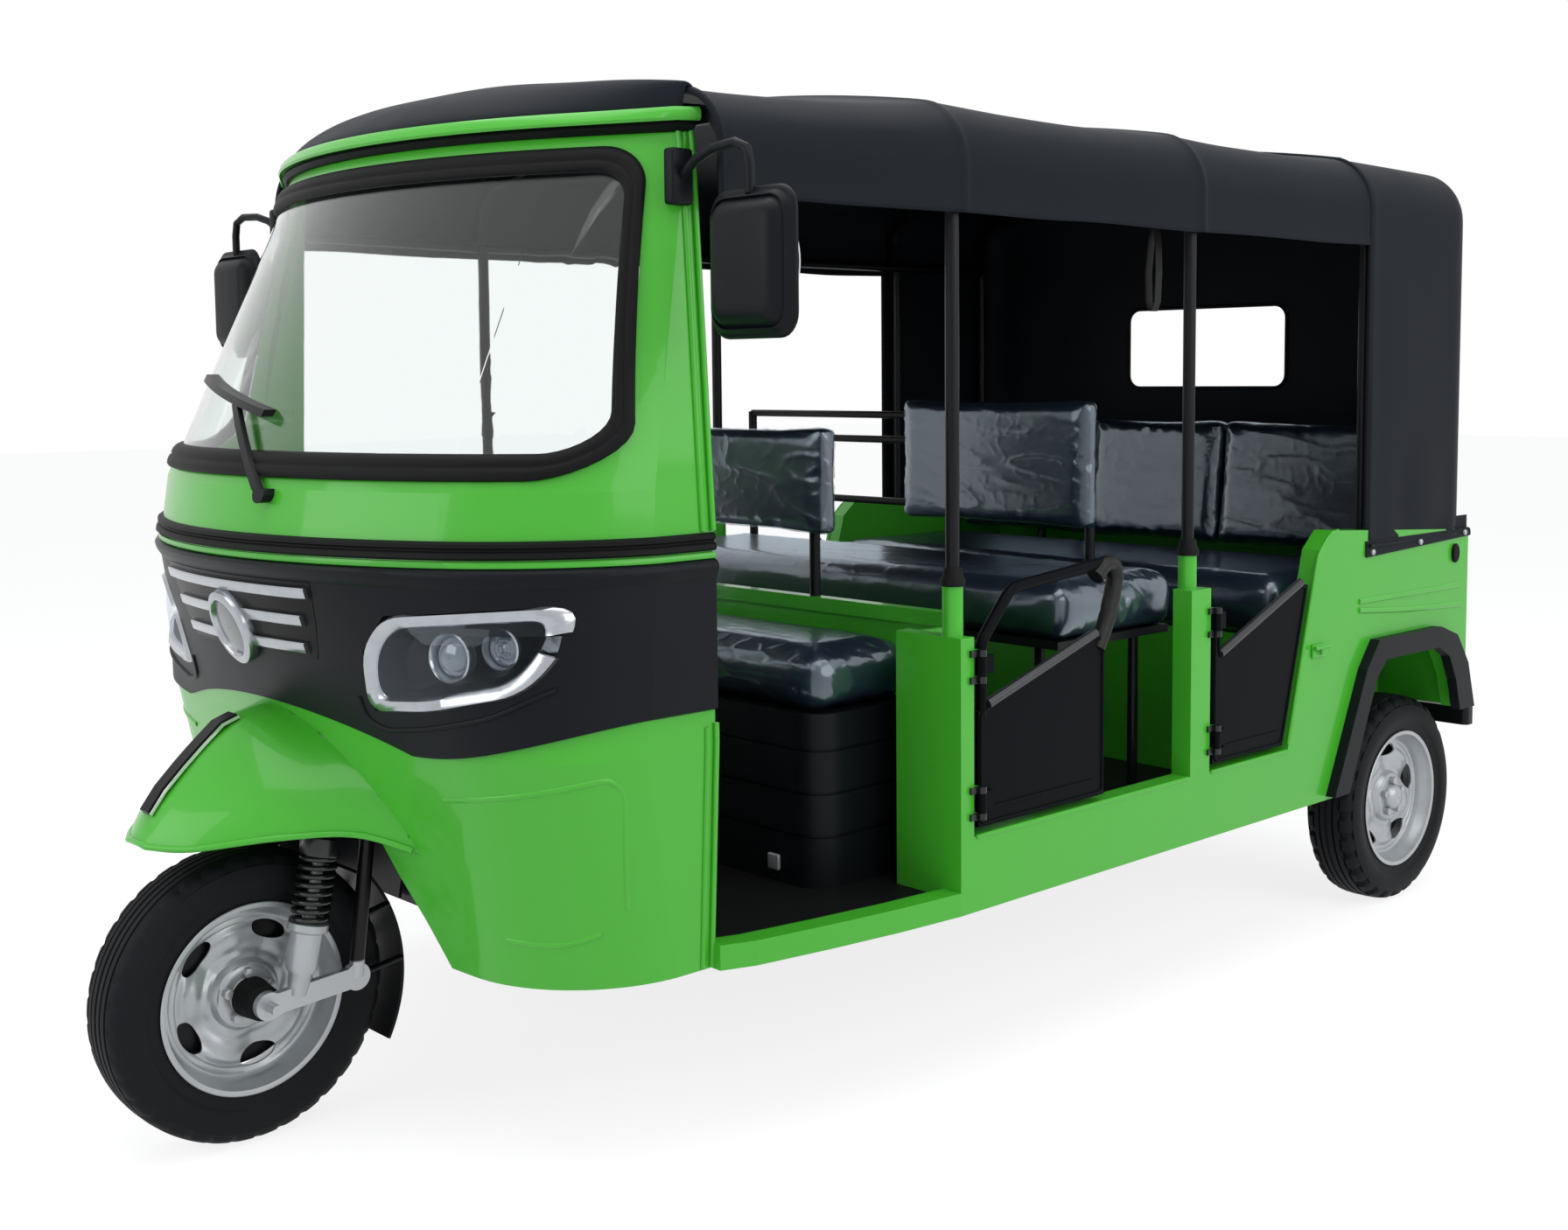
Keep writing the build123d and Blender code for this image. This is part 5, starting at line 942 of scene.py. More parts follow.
def pad(name, size, corner, edge, voxel):
    """Stuffed block centred on the origin, its upright corners and then all its edges rounded."""
    bpy.ops.mesh.primitive_cube_add(size=1)
    obj = bpy.context.object
    obj.name = name
    obj.data.transform(Matrix.Diagonal((*size, 1)))
    if corner:
        for line in obj.data.edges:
            a, b = (obj.data.vertices[index].co for index in line.vertices)
            line.select = abs(a.z - b.z) > 0.5 * size[2]
        bpy.ops.object.mode_set(mode="EDIT")
        bpy.ops.mesh.bevel(offset=corner, segments=6, affect="EDGES")
        bpy.ops.object.mode_set(mode="OBJECT")
    rounding = obj.modifiers.new("edge", "BEVEL")
    rounding.width = edge
    rounding.segments = 3
    rounding.limit_method = "ANGLE"
    rounding.angle_limit = math.radians(50)
    even = obj.modifiers.new("even", "REMESH")
    even.mode = "VOXEL"
    even.voxel_size = voxel
    apply_modifiers(obj)
    return swell(obj)


def placed_pad(name, size, corner, edge, voxel, place, lean=0.0):
    """Pad set in its place with its back at its lean, flat where it rests."""
    obj = pad(name, size, corner, edge, voxel)
    lies_flat = size[2] < size[1]
    for vertex in obj.data.vertices:
        if lies_flat and vertex.co.z < -size[2] / 2:
            vertex.co.z = -size[2] / 2
    matrix = Matrix.Translation(place) @ Matrix.Rotation(lean, 4, "X")
    return smooth(move_mesh(obj, matrix), 60)


def film_over(obj, folds, seed):
    """Clear film laid loosely over a pad: a copy of its skin with soft folds and sharp creases."""
    only(obj)
    bpy.ops.object.duplicate()
    film = bpy.context.object
    film.name = obj.name + "_film"
    finer = film.modifiers.new("finer", "SUBSURF")
    finer.levels = finer.render_levels = 1
    apply_modifiers(film)
    normals = [vertex.normal.copy() for vertex in film.data.vertices]
    for vertex, normal in zip(film.data.vertices, normals):
        x, y, z = vertex.co
        broad = abs(ripple((x * 0.6 + z * 1.2, y * 1.9 + z, z * 1.6), folds, seed))
        fine = abs(ripple((x * 1.9 - y * 1.4, y * 3.4 + x, z * 3.6), folds, seed + 3))
        ridge = max(0.0, FOLD_WIDTH - broad) / FOLD_WIDTH
        small = max(0.0, CREASE_WIDTH - fine) / CREASE_WIDTH
        billow = 0.5 + 0.5 * ripple((x, y, z), 2.6, seed + 5)
        near_edge = 1 - min(1.0, abs(max(normal, key=abs)) ** 6)
        fold = (0.0020 + 0.0016 * near_edge) * ridge ** 2 * billow
        sharp = (0.0006 + 0.0010 * near_edge) * small ** 2
        vertex.co += normal * (FILM_LIFT + 0.0016 * billow + fold + sharp)
    return smooth(film, 75)


vinyl = finish("navy_vinyl", (0.0130, 0.0250, 0.0440), 0.42, drift=0.3, patches=6.0, grain=900.0, bump=0.3,
               depth=0.0003)


def clear_film(name, low, high, blend, rough):
    """Thin clear film: mostly seen through, with a bright skin at a slant."""
    material = bpy.data.materials.new(name)
    material.use_nodes = True
    tree = material.node_tree
    tree.nodes.clear()
    through = tree.nodes.new("ShaderNodeBsdfTransparent")
    through.inputs["Color"].default_value = (0.93, 0.95, 0.97, 1)
    skin = tree.nodes.new("ShaderNodeBsdfGlossy")
    skin.inputs["Color"].default_value = (0.72, 0.82, 0.92, 1)
    skin.inputs["Roughness"].default_value = rough
    slant = tree.nodes.new("ShaderNodeLayerWeight")
    slant.inputs["Blend"].default_value = blend
    share = tree.nodes.new("ShaderNodeMapRange")
    share.inputs["To Min"].default_value = low
    share.inputs["To Max"].default_value = high
    tree.links.new(slant.outputs["Facing"], share.inputs["Value"])
    both = tree.nodes.new("ShaderNodeMixShader")
    tree.links.new(share.outputs[0], both.inputs["Fac"])
    tree.links.new(through.outputs[0], both.inputs[1])
    tree.links.new(skin.outputs[0], both.inputs[2])
    out = tree.nodes.new("ShaderNodeOutputMaterial")
    tree.links.new(both.outputs[0], out.inputs["Surface"])
    return material


film = clear_film("clear_film", 0.08, 0.70, 0.20, 0.20)
BACK_LEAN = -math.atan2(0.036, 0.323)
# name, size, upright corner, edge, voxel, middle (x, station, z), lean, node, fill, film folds
SEATS = [
    ("driver_cushion", (1.104, 0.266, 0.112), 0.050, 0.015, 0.0100, (0, 0.980, 0.7395), 0.0,
     "driver_seat_cushion", 0.85, 9.0),
    ("middle_cushion", (1.348, 0.388, 0.108), 0.030, 0.016, 0.0125, (0, 1.583, 0.8235), 0.0,
     "bench_cushions", 0.85, 8.0),
    ("rear_cushion", (1.392, 0.478, 0.130), 0.036, 0.017, 0.0135, (0, 2.356, 0.7670), 0.0,
     "bench_cushions", 0.85, 8.0),
    ("driver_back", (0.660, 0.044, 0.208), 0.0, 0.012, 0.0088, (0, 1.1035, 1.085), 0.0,
     "backrests", 0.8, 10.0),
    ("middle_back", (0.547, 0.044, 0.276), 0.0, 0.012, 0.0088, (0.1925, 1.7655, 1.094), 0.0,
     "backrests", 0.8, 10.0),
    ("rear_back_left", (0.452, 0.060, 0.318), 0.0, 0.016, 0.0100, (0.4360, 2.658, 1.004), BACK_LEAN,
     "backrests", 0.8, 9.0),
    ("rear_back_middle", (0.412, 0.060, 0.318), 0.0, 0.016, 0.0100, (0.0, 2.658, 1.004), BACK_LEAN,
     "backrests", 0.8, 9.0),
    ("rear_back_right", (0.452, 0.060, 0.318), 0.0, 0.016, 0.0100, (-0.4360, 2.658, 1.004), BACK_LEAN,
     "backrests", 0.8, 9.0),
]
for number, (name, size, corner, edge, voxel, middle, lean, node, fill, folds) in enumerate(SEATS):
    place = Vector((middle[0], middle[1] - STATION_ZERO, middle[2]))
    cushion = placed_pad(name, size, corner, edge, voxel, place, lean)
    fit(cushion, "vehicle", vinyl, "seat_vinyl", node)
    cover = film_over(cushion, folds, 40.0 + 7 * number)
    fit(cover, "vehicle", film, "screen_glass")

# ---- headlamps ----------------------------------------------------------------------------------
# Each headlamp is a moulded unit behind a clear cover: a black bowl, a projector lens in a chrome
# ring towards the middle and a small ribbed lamp beside it. A chrome strip frames the cover.
# z, nose station, knee x, knee station, side x, side station
CAB_RINGS = [(0.332, 0.185, 0.430, 0.198, 0.662, 0.430), (0.705, 0.090, 0.490, 0.135, 0.681, 0.360),
             (1.015, -0.020, 0.480, 0.110, 0.681, 0.380), (1.120, 0.000, 0.480, 0.125, 0.674, 0.390),
             (1.665, 0.262, 0.455, 0.375, 0.640, 0.490), (1.712, 0.285, 0.450, 0.398, 0.634, 0.493)]
JAMB = 0.500
LAID_SPACING = 0.012             # between the points of a line laid on the cab
CORNER_POINTS = 5


def cab_ring(z):
    """Plan sizes of the cab at a height: nose, knee and side."""
    for low, high in zip(CAB_RINGS, CAB_RINGS[1:]):
        if z <= high[0] or high is CAB_RINGS[-1]:
            share = (z - low[0]) / (high[0] - low[0])
            return [a + (b - a) * share for a, b in zip(low, high)][1:]


def arc_at(x, nose, knee_x, knee_station, side_x, side_station):
    """Station of the cab's skin at a distance from the middle."""
    if x <= knee_x:
        rise = knee_station - nose
        radius = (knee_x * knee_x + rise * rise) / (2 * rise)
        return nose + radius - math.sqrt(radius * radius - x * x)
    lean = 2 * (knee_station - nose) / knee_x
    run, rise = side_x - knee_x, side_station - knee_station
    # Circle through the knee with the nose arc's slope there, and through the side point.
    across, along = -math.sin(lean), math.cos(lean)
    turn = 2 * (run * across + rise * along)
    if abs(turn) < 0.001:
        return knee_station + (x - knee_x) * rise / run
    radius = (run * run + rise * rise) / turn
    middle_x, middle_s = knee_x + radius * across, knee_station + radius * along
    inside = radius * radius - (x - middle_x) ** 2
    return middle_s - math.copysign(math.sqrt(max(inside, 0.0)), radius)


def on_cab(x, z, proud=0.0):
    """Point of the cab's front at a distance across and a height, moved outwards by proud."""
    ring = cab_ring(z)
    x_in = min(abs(x), ring[3] - 0.0005)
    station = arc_at(x_in, *ring)
    step = 0.004
    outer, inner = min(x_in + step, ring[3] - 0.0002), max(x_in - step, 0.0)
    slope = (arc_at(outer, *ring) - arc_at(inner, *ring)) / (outer - inner)
    length = math.hypot(1, slope)
    across, ahead = x_in + proud * slope / length, proud / length
    return Vector((math.copysign(across, x), station - STATION_ZERO - ahead, z))


def run_on_cab(points, proud):
    """Points spaced evenly along a broken line of (x, z), laid on the cab's front."""
    laid = []
    for (ax, az), (bx, bz) in zip(points, points[1:]):
        count = max(1, int(math.hypot(bx - ax, bz - az) / LAID_SPACING))
        laid += [on_cab(ax + (bx - ax) * step / count, az + (bz - az) * step / count, proud)
                 for step in range(count)]
    return laid + [on_cab(*points[-1], proud)]


def rounded(points, radius, closed=False):
    """Broken line with its corners rounded."""
    made = [] if closed else [points[0]]
    count = len(points)
    shifts = (-1, 0, 1) if closed else (0, 1, 2)
    for index in range(count if closed else count - 2):
        before, corner, after = (Vector(points[(index + shift) % count]) for shift in shifts)
        back, ahead = before - corner, after - corner
        cut = min(radius, 0.48 * back.length, 0.48 * ahead.length)
        start, end = corner + back.normalized() * cut, corner + ahead.normalized() * cut
        for step in range(CORNER_POINTS + 1):
            share = step / CORNER_POINTS
            made.append(tuple(start * (1 - share) ** 2 + corner * 2 * share * (1 - share) + end * share ** 2))
    if closed:
        return made + [made[0]]
    return made + [points[-1]]


# Outline of a lamp as (x, z), from its upper inner corner down and round to the upper outer one.
LAMP_LINE = [(0.392, 0.928), (0.336, 0.868), (0.322, 0.768), (0.460, 0.780), (0.598, 0.814), (0.632, 0.876),
             (0.640, 0.950)]
LAMP_MIDDLE = (0.480, 0.858)


def lamp_outline(shrink, radius):
    """Outline of a headlamp drawn in by a distance, corners rounded."""
    middle = Vector(LAMP_MIDDLE)
    points = []
    count = len(LAMP_LINE)
    for index in range(count):
        before, corner, after = (Vector(LAMP_LINE[(index + shift) % count]) for shift in (-1, 0, 1))
        a, b = (corner - before).normalized(), (after - corner).normalized()
        inward = Vector((-a.y - b.y, a.x + b.x)).normalized()
        if inward.dot(middle - corner) < 0:
            inward = -inward
        points.append(tuple(corner + inward * shrink / max(0.5, math.cos(a.angle(b) / 2))))
    return rounded(points, radius, closed=True)


def close_last_ring(obj, count, inside):
    """Merges a woven tube's seam, fills its last ring and turns its faces inwards or outwards."""
    only(obj)
    bpy.ops.object.mode_set(mode="EDIT")
    bpy.ops.mesh.select_all(action="SELECT")
    bpy.ops.mesh.remove_doubles(threshold=0.0002)
    bpy.ops.mesh.select_all(action="DESELECT")
    bpy.ops.object.mode_set(mode="OBJECT")
    for vertex in obj.data.vertices[-count:]:
        vertex.select = True
    bpy.ops.object.mode_set(mode="EDIT")
    bpy.ops.mesh.edge_face_add()
    bpy.ops.mesh.select_all(action="SELECT")
    bpy.ops.mesh.normals_make_consistent(inside=inside)
    bpy.ops.object.mode_set(mode="OBJECT")


RIM_GAP = (0.874, 0.904)         # the chrome strip is open between these heights, on its outer side
RIM_GAP_X = 0.60
RIM_CORNER = 0.034
RIM_SECTION = [(-0.002, 0.006), (0.002, 0.0145), (0.017, 0.0125), (0.021, 0.004)]    # drawn in, proud
BOWL_LINE = (0.0195, 0.030)      # drawn in, corner radius
BOWL_LIP = 0.004
# depth and how far it is drawn in
BOWL_SECTION = [(0.014, 0.002), (0.034, 0.006), (0.050, 0.014), (0.057, 0.040), (0.060, 0.070)]
COVER_PROUD = 0.0075
lamp_pieces = []
chrome_rims = []
covers = []
for side in (1, -1):
    strip = [lamp_outline(shrink, RIM_CORNER) for shrink, lift in RIM_SECTION]
    outer = strip[0]
    outside = [index for index in range(len(outer)) if outer[index][0] > RIM_GAP_X]
    start = next(index for index in outside if outer[index][1] > RIM_GAP[1])
    end = max(index for index in outside if outer[index][1] < RIM_GAP[0])
    order = [index % (len(outer) - 1) for index in range(start, end + len(outer))]
    rows = [[on_cab(side * line[index][0], line[index][1], lift) for index in order]
            for line, (shrink, lift) in zip(strip, RIM_SECTION)]
    rim = woven("lamp_rim", rows + [rows[0]])
    faces_outwards(rim)
    chrome_rims.append(rim)
    inner_line = lamp_outline(*BOWL_LINE)[:-1]
    rings = [[on_cab(side * x, z, BOWL_LIP) for x, z in inner_line]]
    for depth, shrink in BOWL_SECTION:
        ring = []
        for x, z in inner_line:
            middle = Vector((LAMP_MIDDLE[0], LAMP_MIDDLE[1] + 0.15 * (x - LAMP_MIDDLE[0])))
            out = Vector((x, z)) - middle
            short = out * max(0.05, 1 - shrink / out.length)
            ring.append(on_cab(side * (middle.x + short.x), middle.y + short.y, BOWL_LIP - depth))
        rings.append(ring)
    bowl = woven("lamp_bowl", [ring + [ring[0]] for ring in rings])
    close_last_ring(bowl, len(inner_line), inside=True)
    lamp_pieces.append(bowl)
    covers.append([on_cab(side * x, z, COVER_PROUD) for x, z in inner_line])


def lamp_tube(name, section, x, z, depth, tilt):
    """Ring turned about the lamp's own axis and set in the bowl."""
    tube = turned(name, section, 48)
    aim = Matrix.Rotation(-math.pi / 2 + tilt, 4, "Z")
    place = on_cab(x, z, -depth)
    return move_mesh(tube, Matrix.Translation(place) @ aim)


PROJECTOR = [(0.000, 0.035), (0.018, 0.041), (0.022, 0.041), (0.024, 0.0385), (0.020, 0.0355), (0.004, 0.032)]
RIBBED = [(0.000, 0.028), (0.014, 0.034), (0.018, 0.034), (0.020, 0.0315), (0.015, 0.030), (0.003, 0.027)]
BALL = [(0.000, 0.0350), (0.009, 0.0330), (0.017, 0.0270), (0.022, 0.0185), (0.0245, 0.0090), (0.025, 0.0008),
        (-0.001, 0.0008)]
RIBS = [(0.000, 0.027), (0.006, 0.027), (0.009, 0.022), (0.006, 0.019), (0.009, 0.015), (0.006, 0.012),
        (0.009, 0.008), (0.006, 0.005), (0.008, 0.0006), (-0.001, 0.0006)]
PROJECTOR_PLACE = (0.484, 0.864)
RIBBED_PLACE = (0.566, 0.880)
LAMP_TILT = 0.30
lens_pieces = []
ring_pieces = []
for side in (1, -1):
    tilt = side * LAMP_TILT
    projector_x, ribbed_x = side * PROJECTOR_PLACE[0], side * RIBBED_PLACE[0]
    ring_pieces.append(lamp_tube("projector_ring", PROJECTOR, projector_x, PROJECTOR_PLACE[1], 0.036, tilt))
    ring_pieces.append(lamp_tube("ribbed_ring", RIBBED, ribbed_x, RIBBED_PLACE[1], 0.036, 1.3 * tilt))
    lens_pieces.append(lamp_tube("projector_lens", BALL, projector_x, PROJECTOR_PLACE[1], 0.038, tilt))
    lens_pieces.append(lamp_tube("ribbed_lens", RIBS, ribbed_x, RIBBED_PLACE[1], 0.036, 1.3 * tilt))

bowl_finish = finish("lamp_bowl_black", (0.0030, 0.0032, 0.0040), 0.30, drift=0.1, bump=0.0, specular=0.10)
satin_chrome = finish("satin_chrome", (0.40, 0.42, 0.45), 0.20, metal=0.9, drift=0.3, rough_drift=0.2,
                      patches=40.0, bump=0.03)
lamp_bowls = join("headlamp_bowls", lamp_pieces)
fit(smooth(lamp_bowls, 40), "vehicle", bowl_finish, "trim_black")
lamp_rings = join("headlamp_rings", ring_pieces)
fit(smooth(lamp_rings, 40), "vehicle", satin_chrome, "lamp_chrome")
pearl_lens = finish("lamp_inner_lens", (0.16, 0.19, 0.22), 0.08, metal=0.25, coat=1.0, drift=0.2,
                    patches=30.0)
lamp_lenses = join("headlamp_inner_lenses", lens_pieces)
fit(smooth(lamp_lenses, 40), "vehicle", pearl_lens, "lamp_chrome")
lamp_rims = join("headlamp_rims", chrome_rims)
fit(smooth(lamp_rims, 60), "vehicle", satin_chrome, "lamp_chrome", "headlamp_bezels")

cover_film = clear_film("lamp_cover_film", 0.015, 0.45, 0.10, 0.03)
COVER_DOME = 0.004
cover_pieces = []
for ring in covers:
    middle = sum(ring, Vector()) / len(ring)
    rows = []
    for share in (1.0, 0.86, 0.66, 0.42, 0.18):
        row = []
        for point in ring:
            x = middle.x + (point.x - middle.x) * share
            z = middle.z + (point.z - middle.z) * share
            row.append(on_cab(x, z, COVER_PROUD + COVER_DOME * (1 - share ** 3)))
        rows.append(row + [row[0]])
    cover = woven("lamp_cover", rows)
    close_last_ring(cover, len(ring), inside=False)
    cover_pieces.append(cover)
lamp_covers = join("headlamp_covers", cover_pieces)
fit(smooth(lamp_covers, 60), "vehicle", cover_film, "lamp_glass", "headlamp_lenses")

# ---- cab mouldings ------------------------------------------------------------------------------
# A double-ridged black rubber moulding covers the joint under the upper cowl, with a narrow green
# flange below it; the fascia has a rolled top edge. A rubber seal holds the windscreen.
PLAN_STEPS = 60
BAND_STEPS = 120


def cab_plan(z):
    """Running distance and plan point of the cab's left half outline at a height."""
    ring = cab_ring(z)
    across = [ring[3] * step / PLAN_STEPS for step in range(PLAN_STEPS + 1)]
    points = [Vector((x, arc_at(min(x, ring[3] - 1e-5), *ring))) for x in across]
    points += [Vector((ring[3], ring[4] + (JAMB - ring[4]) * step / 8)) for step in range(1, 9)]
    runs = [0.0]
    for a, b in zip(points, points[1:]):
        runs.append(runs[-1] + (b - a).length)
    return runs, points


def cab_point(run, z, proud=0.0):
    """Point on the cab's skin at a running distance from the middle, negative on the right side."""
    runs, points = cab_plan(z)
    reach = min(abs(run), runs[-1])
    index = next((number for number in range(1, len(runs)) if runs[number] >= reach - 1e-9), len(runs) - 1)
    a, b = points[index - 1], points[index]
    share = (reach - runs[index - 1]) / (runs[index] - runs[index - 1])
    spot = a + (b - a) * share
    along = (b - a).normalized()
    spot = spot + Vector((along.y, -along.x)) * proud
    return Vector((math.copysign(spot.x, run), spot.y - STATION_ZERO, z))


def cab_band(name, profile):
    """Strip of a closed (z, proud) section run round the cab from jamb to jamb."""
    shares = [2 * step / BAND_STEPS - 1 for step in range(BAND_STEPS + 1)]
    rows = []
    for z, proud in profile:
        end = cab_plan(z)[0][-1]
        rows.append([cab_point(end * share, z, proud) for share in shares])
    strip = woven(name, rows + [rows[0]])
    faces_outwards(strip)
    return smooth(strip, 40)


moulding = cab_band("cowl_moulding", [(1.047, -0.002), (1.047, 0.0050), (1.0435, 0.0095), (1.0375, 0.0090),
                                      (1.0345, 0.0042), (1.0320, 0.0042), (1.0290, 0.0100), (1.0220, 0.0105),
                                      (1.0185, 0.0050), (1.0180, -0.002)])
fit(moulding, "vehicle", black_rubber, "rubber_black")
green_flange = cab_band("cowl_flange", [(1.0165, -0.002), (1.0160, 0.0045), (1.0120, 0.0068),
                                        (1.0065, 0.0060), (1.0045, 0.0020), (1.0045, -0.002)])
fit(green_flange, "vehicle", green_paint, "body_green")
top_roll = cab_band("fascia_top_roll", [(1.0065, -0.0060), (1.0065, 0.0010), (1.0025, 0.0115),
                                        (0.9975, 0.0150), (0.9880, 0.0145), (0.9760, 0.0095),
                                        (0.9720, 0.0060)])
fit(top_roll, "vehicle", satin_plastic, "trim_black")
header_channel = cab_band("header_channel", [(1.6945, -0.002), (1.6945, 0.0170), (1.6880, 0.0180),
                                             (1.6800, 0.0080), (1.6780, -0.002)])
fit(header_channel, "vehicle", black_rubber, "rubber_black")
header_roll = cab_band("header_roll", [(1.7130, 0.0200), (1.7150, 0.0285), (1.7090, 0.0320), (1.6980, 0.0310),
                                       (1.6935, 0.0270), (1.6940, 0.0200)])
fit(header_roll, "vehicle", green_paint, "body_green")

SCREEN_CORNERS = [(0.664, 1.138), (0.592, 1.660), (-0.592, 1.660), (-0.664, 1.138)]
SIDE_SHARE = 0.5                 # the upright sides draw in by this share of the inset
SCREEN_WAIST = 1.4               # corners under this height are the lower ones
SCREEN_RADIUS = 0.075
ARC_STEPS = 9
SIDE_POINTS = 26


def screen_ring(inset):
    """Outline of the windscreen opening drawn in by inset, always with the same number of points."""
    corners = []
    for x, z in SCREEN_CORNERS:
        drawn_in = inset if z < SCREEN_WAIST else -inset
        corners.append(Vector((x - math.copysign(SIDE_SHARE * inset, x), z + drawn_in)))
    radius = SCREEN_RADIUS - inset / 2
    arcs = []
    for index, corner in enumerate(corners):
        back = (corners[index - 1] - corner).normalized()
        ahead = (corners[(index + 1) % 4] - corner).normalized()
        cut = radius / math.tan(back.angle(ahead) / 2)
        start, end = corner + back * cut, corner + ahead * cut
        middle = corner + (back + ahead).normalized() * (radius / math.sin(back.angle(ahead) / 2))
        first = math.atan2(start.y - middle.y, start.x - middle.x)
        sweep = math.atan2(end.y - middle.y, end.x - middle.x) - first
        sweep = (sweep + math.pi) % (2 * math.pi) - math.pi
        turns = [first + sweep * step / ARC_STEPS for step in range(ARC_STEPS + 1)]
        arcs.append([middle + radius * Vector((math.cos(turn), math.sin(turn))) for turn in turns])
    ring = []
    for index, arc in enumerate(arcs):
        after = arcs[(index + 1) % 4][0]
        ring += arc
        ring += [arc[-1] + (after - arc[-1]) * step / SIDE_POINTS for step in range(1, SIDE_POINTS)]
    return ring + [ring[0]]


SEAL_PROFILE = [(-0.001, 0.0005), (0.000, 0.0060), (0.004, 0.0105), (0.011, 0.0128), (0.018, 0.0125),
                (0.0205, 0.0098), (0.0230, 0.0098), (0.0255, 0.0118), (0.032, 0.0112), (0.037, 0.0085),
                (0.0405, 0.0030), (0.0405, -0.0040)]     # drawn in, proud
seal_rows = [[on_cab(point.x, point.y, proud) for point in screen_ring(inset)]
             for inset, proud in SEAL_PROFILE]
seal = woven("windscreen_rubber", seal_rows)
faces_outwards(seal)
fit(smooth(seal, 60), "vehicle", black_rubber, "rubber_black", "windscreen_seal")

# ---- emblem and grille --------------------------------------------------------------------------
# Three chrome bars are clipped across a shallow black recess of the fascia. A blank domed disc in a
# chrome ring stands in front of them, leaning back as the fascia does.
blank_face = finish("emblem_grey", (0.16, 0.17, 0.18), 0.32, metal=0.6, coat=0.6, drift=0.4, patches=60.0)
emblem_spot = cab_point(0.0, 0.880, 0.0175)
EMBLEM_RING = [(-0.012, 0.046), (0.004, 0.046), (0.009, 0.050), (0.0095, 0.056), (0.006, 0.0625),
               (-0.002, 0.0645), (-0.012, 0.0645)]
EMBLEM_DOME = [(-0.004, 0.0470), (0.002, 0.0470), (0.004, 0.0400), (0.006, 0.0220), (0.0065, 0.0010),
               (-0.004, 0.0010)]
EMBLEM_TILT = math.radians(19.5)
for name, section, surface in (("emblem_ring", EMBLEM_RING, satin_chrome),
                               ("emblem_blank", EMBLEM_DOME, blank_face)):
    disc = turned(name, section, 72)
    disc.data.transform(Matrix.Diagonal((1, 0.94, 1.06, 1)))
    turn = Matrix.Rotation(EMBLEM_TILT, 4, "X") @ Matrix.Rotation(-math.pi / 2, 4, "Z")
    move_mesh(disc, Matrix.Translation(emblem_spot) @ turn)
    fit(smooth(disc, 40), "vehicle", surface, "lamp_chrome")
# height and share of the half width of the recess
RECESS_ROWS = [(0.974, 0.97), (0.972, 0.99), (0.900, 0.93), (0.845, 0.85), (0.842, 0.83)]
RECESS_HALF = 0.262
RECESS_STEPS = 24
RECESS_PROUD = 0.0088
recess_shares = [2 * step / RECESS_STEPS - 1 for step in range(RECESS_STEPS + 1)]
recess_rows = [[cab_point(RECESS_HALF * share * width, z, RECESS_PROUD) for share in recess_shares]
               for z, width in RECESS_ROWS]
grille_back = woven("grille_recess", recess_rows)
thicken(grille_back, 0.001, offset=1.0)
fit(smooth(grille_back, 60), "vehicle", bowl_finish, "trim_black")
BAR_PROFILE = [(-0.0100, 0.0060), (-0.0092, 0.0140), (-0.0068, 0.0163), (0.0068, 0.0163), (0.0092, 0.0140),
               (0.0100, 0.0060)]
BARS = [(0.955, 0.248), (0.908, 0.218), (0.861, 0.206)]      # height, half length
BAR_STEPS = 30


def close_ends(obj):
    """Merges the seam of a woven bar and fills its two open ends."""
    only(obj)
    bpy.ops.object.mode_set(mode="EDIT")
    bpy.ops.mesh.select_all(action="SELECT")
    bpy.ops.mesh.remove_doubles(threshold=0.0001)
    bpy.ops.mesh.select_all(action="DESELECT")
    bpy.ops.mesh.select_non_manifold()
    bpy.ops.mesh.fill_holes(sides=0)
    bpy.ops.object.mode_set(mode="OBJECT")
    faces_outwards(obj)
    return obj


bars = []
for z, half in BARS:
    rows = [[cab_point(half * (2 * step / BAR_STEPS - 1), z + rise, proud) for step in range(BAR_STEPS + 1)]
            for rise, proud in BAR_PROFILE]
    bars.append(close_ends(woven("grille_bar", rows + [rows[0]])))
grille_bars = join("grille_bars_drawn", bars)
fit(smooth(grille_bars, 35), "vehicle", satin_chrome, "lamp_chrome", "grille_bars")
# A thin moulded lip runs under each lamp.
CHIN = [(0.300, 0.790), (0.306, 0.752), (0.350, 0.738), (0.450, 0.752), (0.560, 0.778), (0.628, 0.822)]
chin_lips = [bead("chin_lip", run_on_cab([(side * x, z) for x, z in rounded(CHIN, 0.03)], 0.0075), 0.0045)
             for side in (1, -1)]
chin_lip = join("fascia_chin_lips", chin_lips)
fit(smooth(chin_lip, 60), "vehicle", satin_plastic, "trim_black")

# ---- mudguard trim ------------------------------------------------------------------------------
# The mudguard is one moulded shell, bolted to the cab, with a rolled edge. A narrow blank plate in a
# bright frame stands along its crown.
# station, half width, height of the edge, height of the crown
MUDGUARD_ARCHES = [(-0.168, 0.034, 0.538, 0.552), (-0.124, 0.108, 0.540, 0.616),
                   (-0.020, 0.200, 0.556, 0.712), (0.080, 0.268, 0.556, 0.744),
                   (0.152, 0.350, 0.528, 0.751), (0.205, 0.372, 0.506, 0.752)]
SHOULDER = (0.62, 0.66)          # where an arch's side meets its top, as shares of its width and rise
MUDGUARD_WALL = 0.004
INSIDE_CAB = 0.010
ARCH_STEPS = 7
ARCH_POINTS = 18


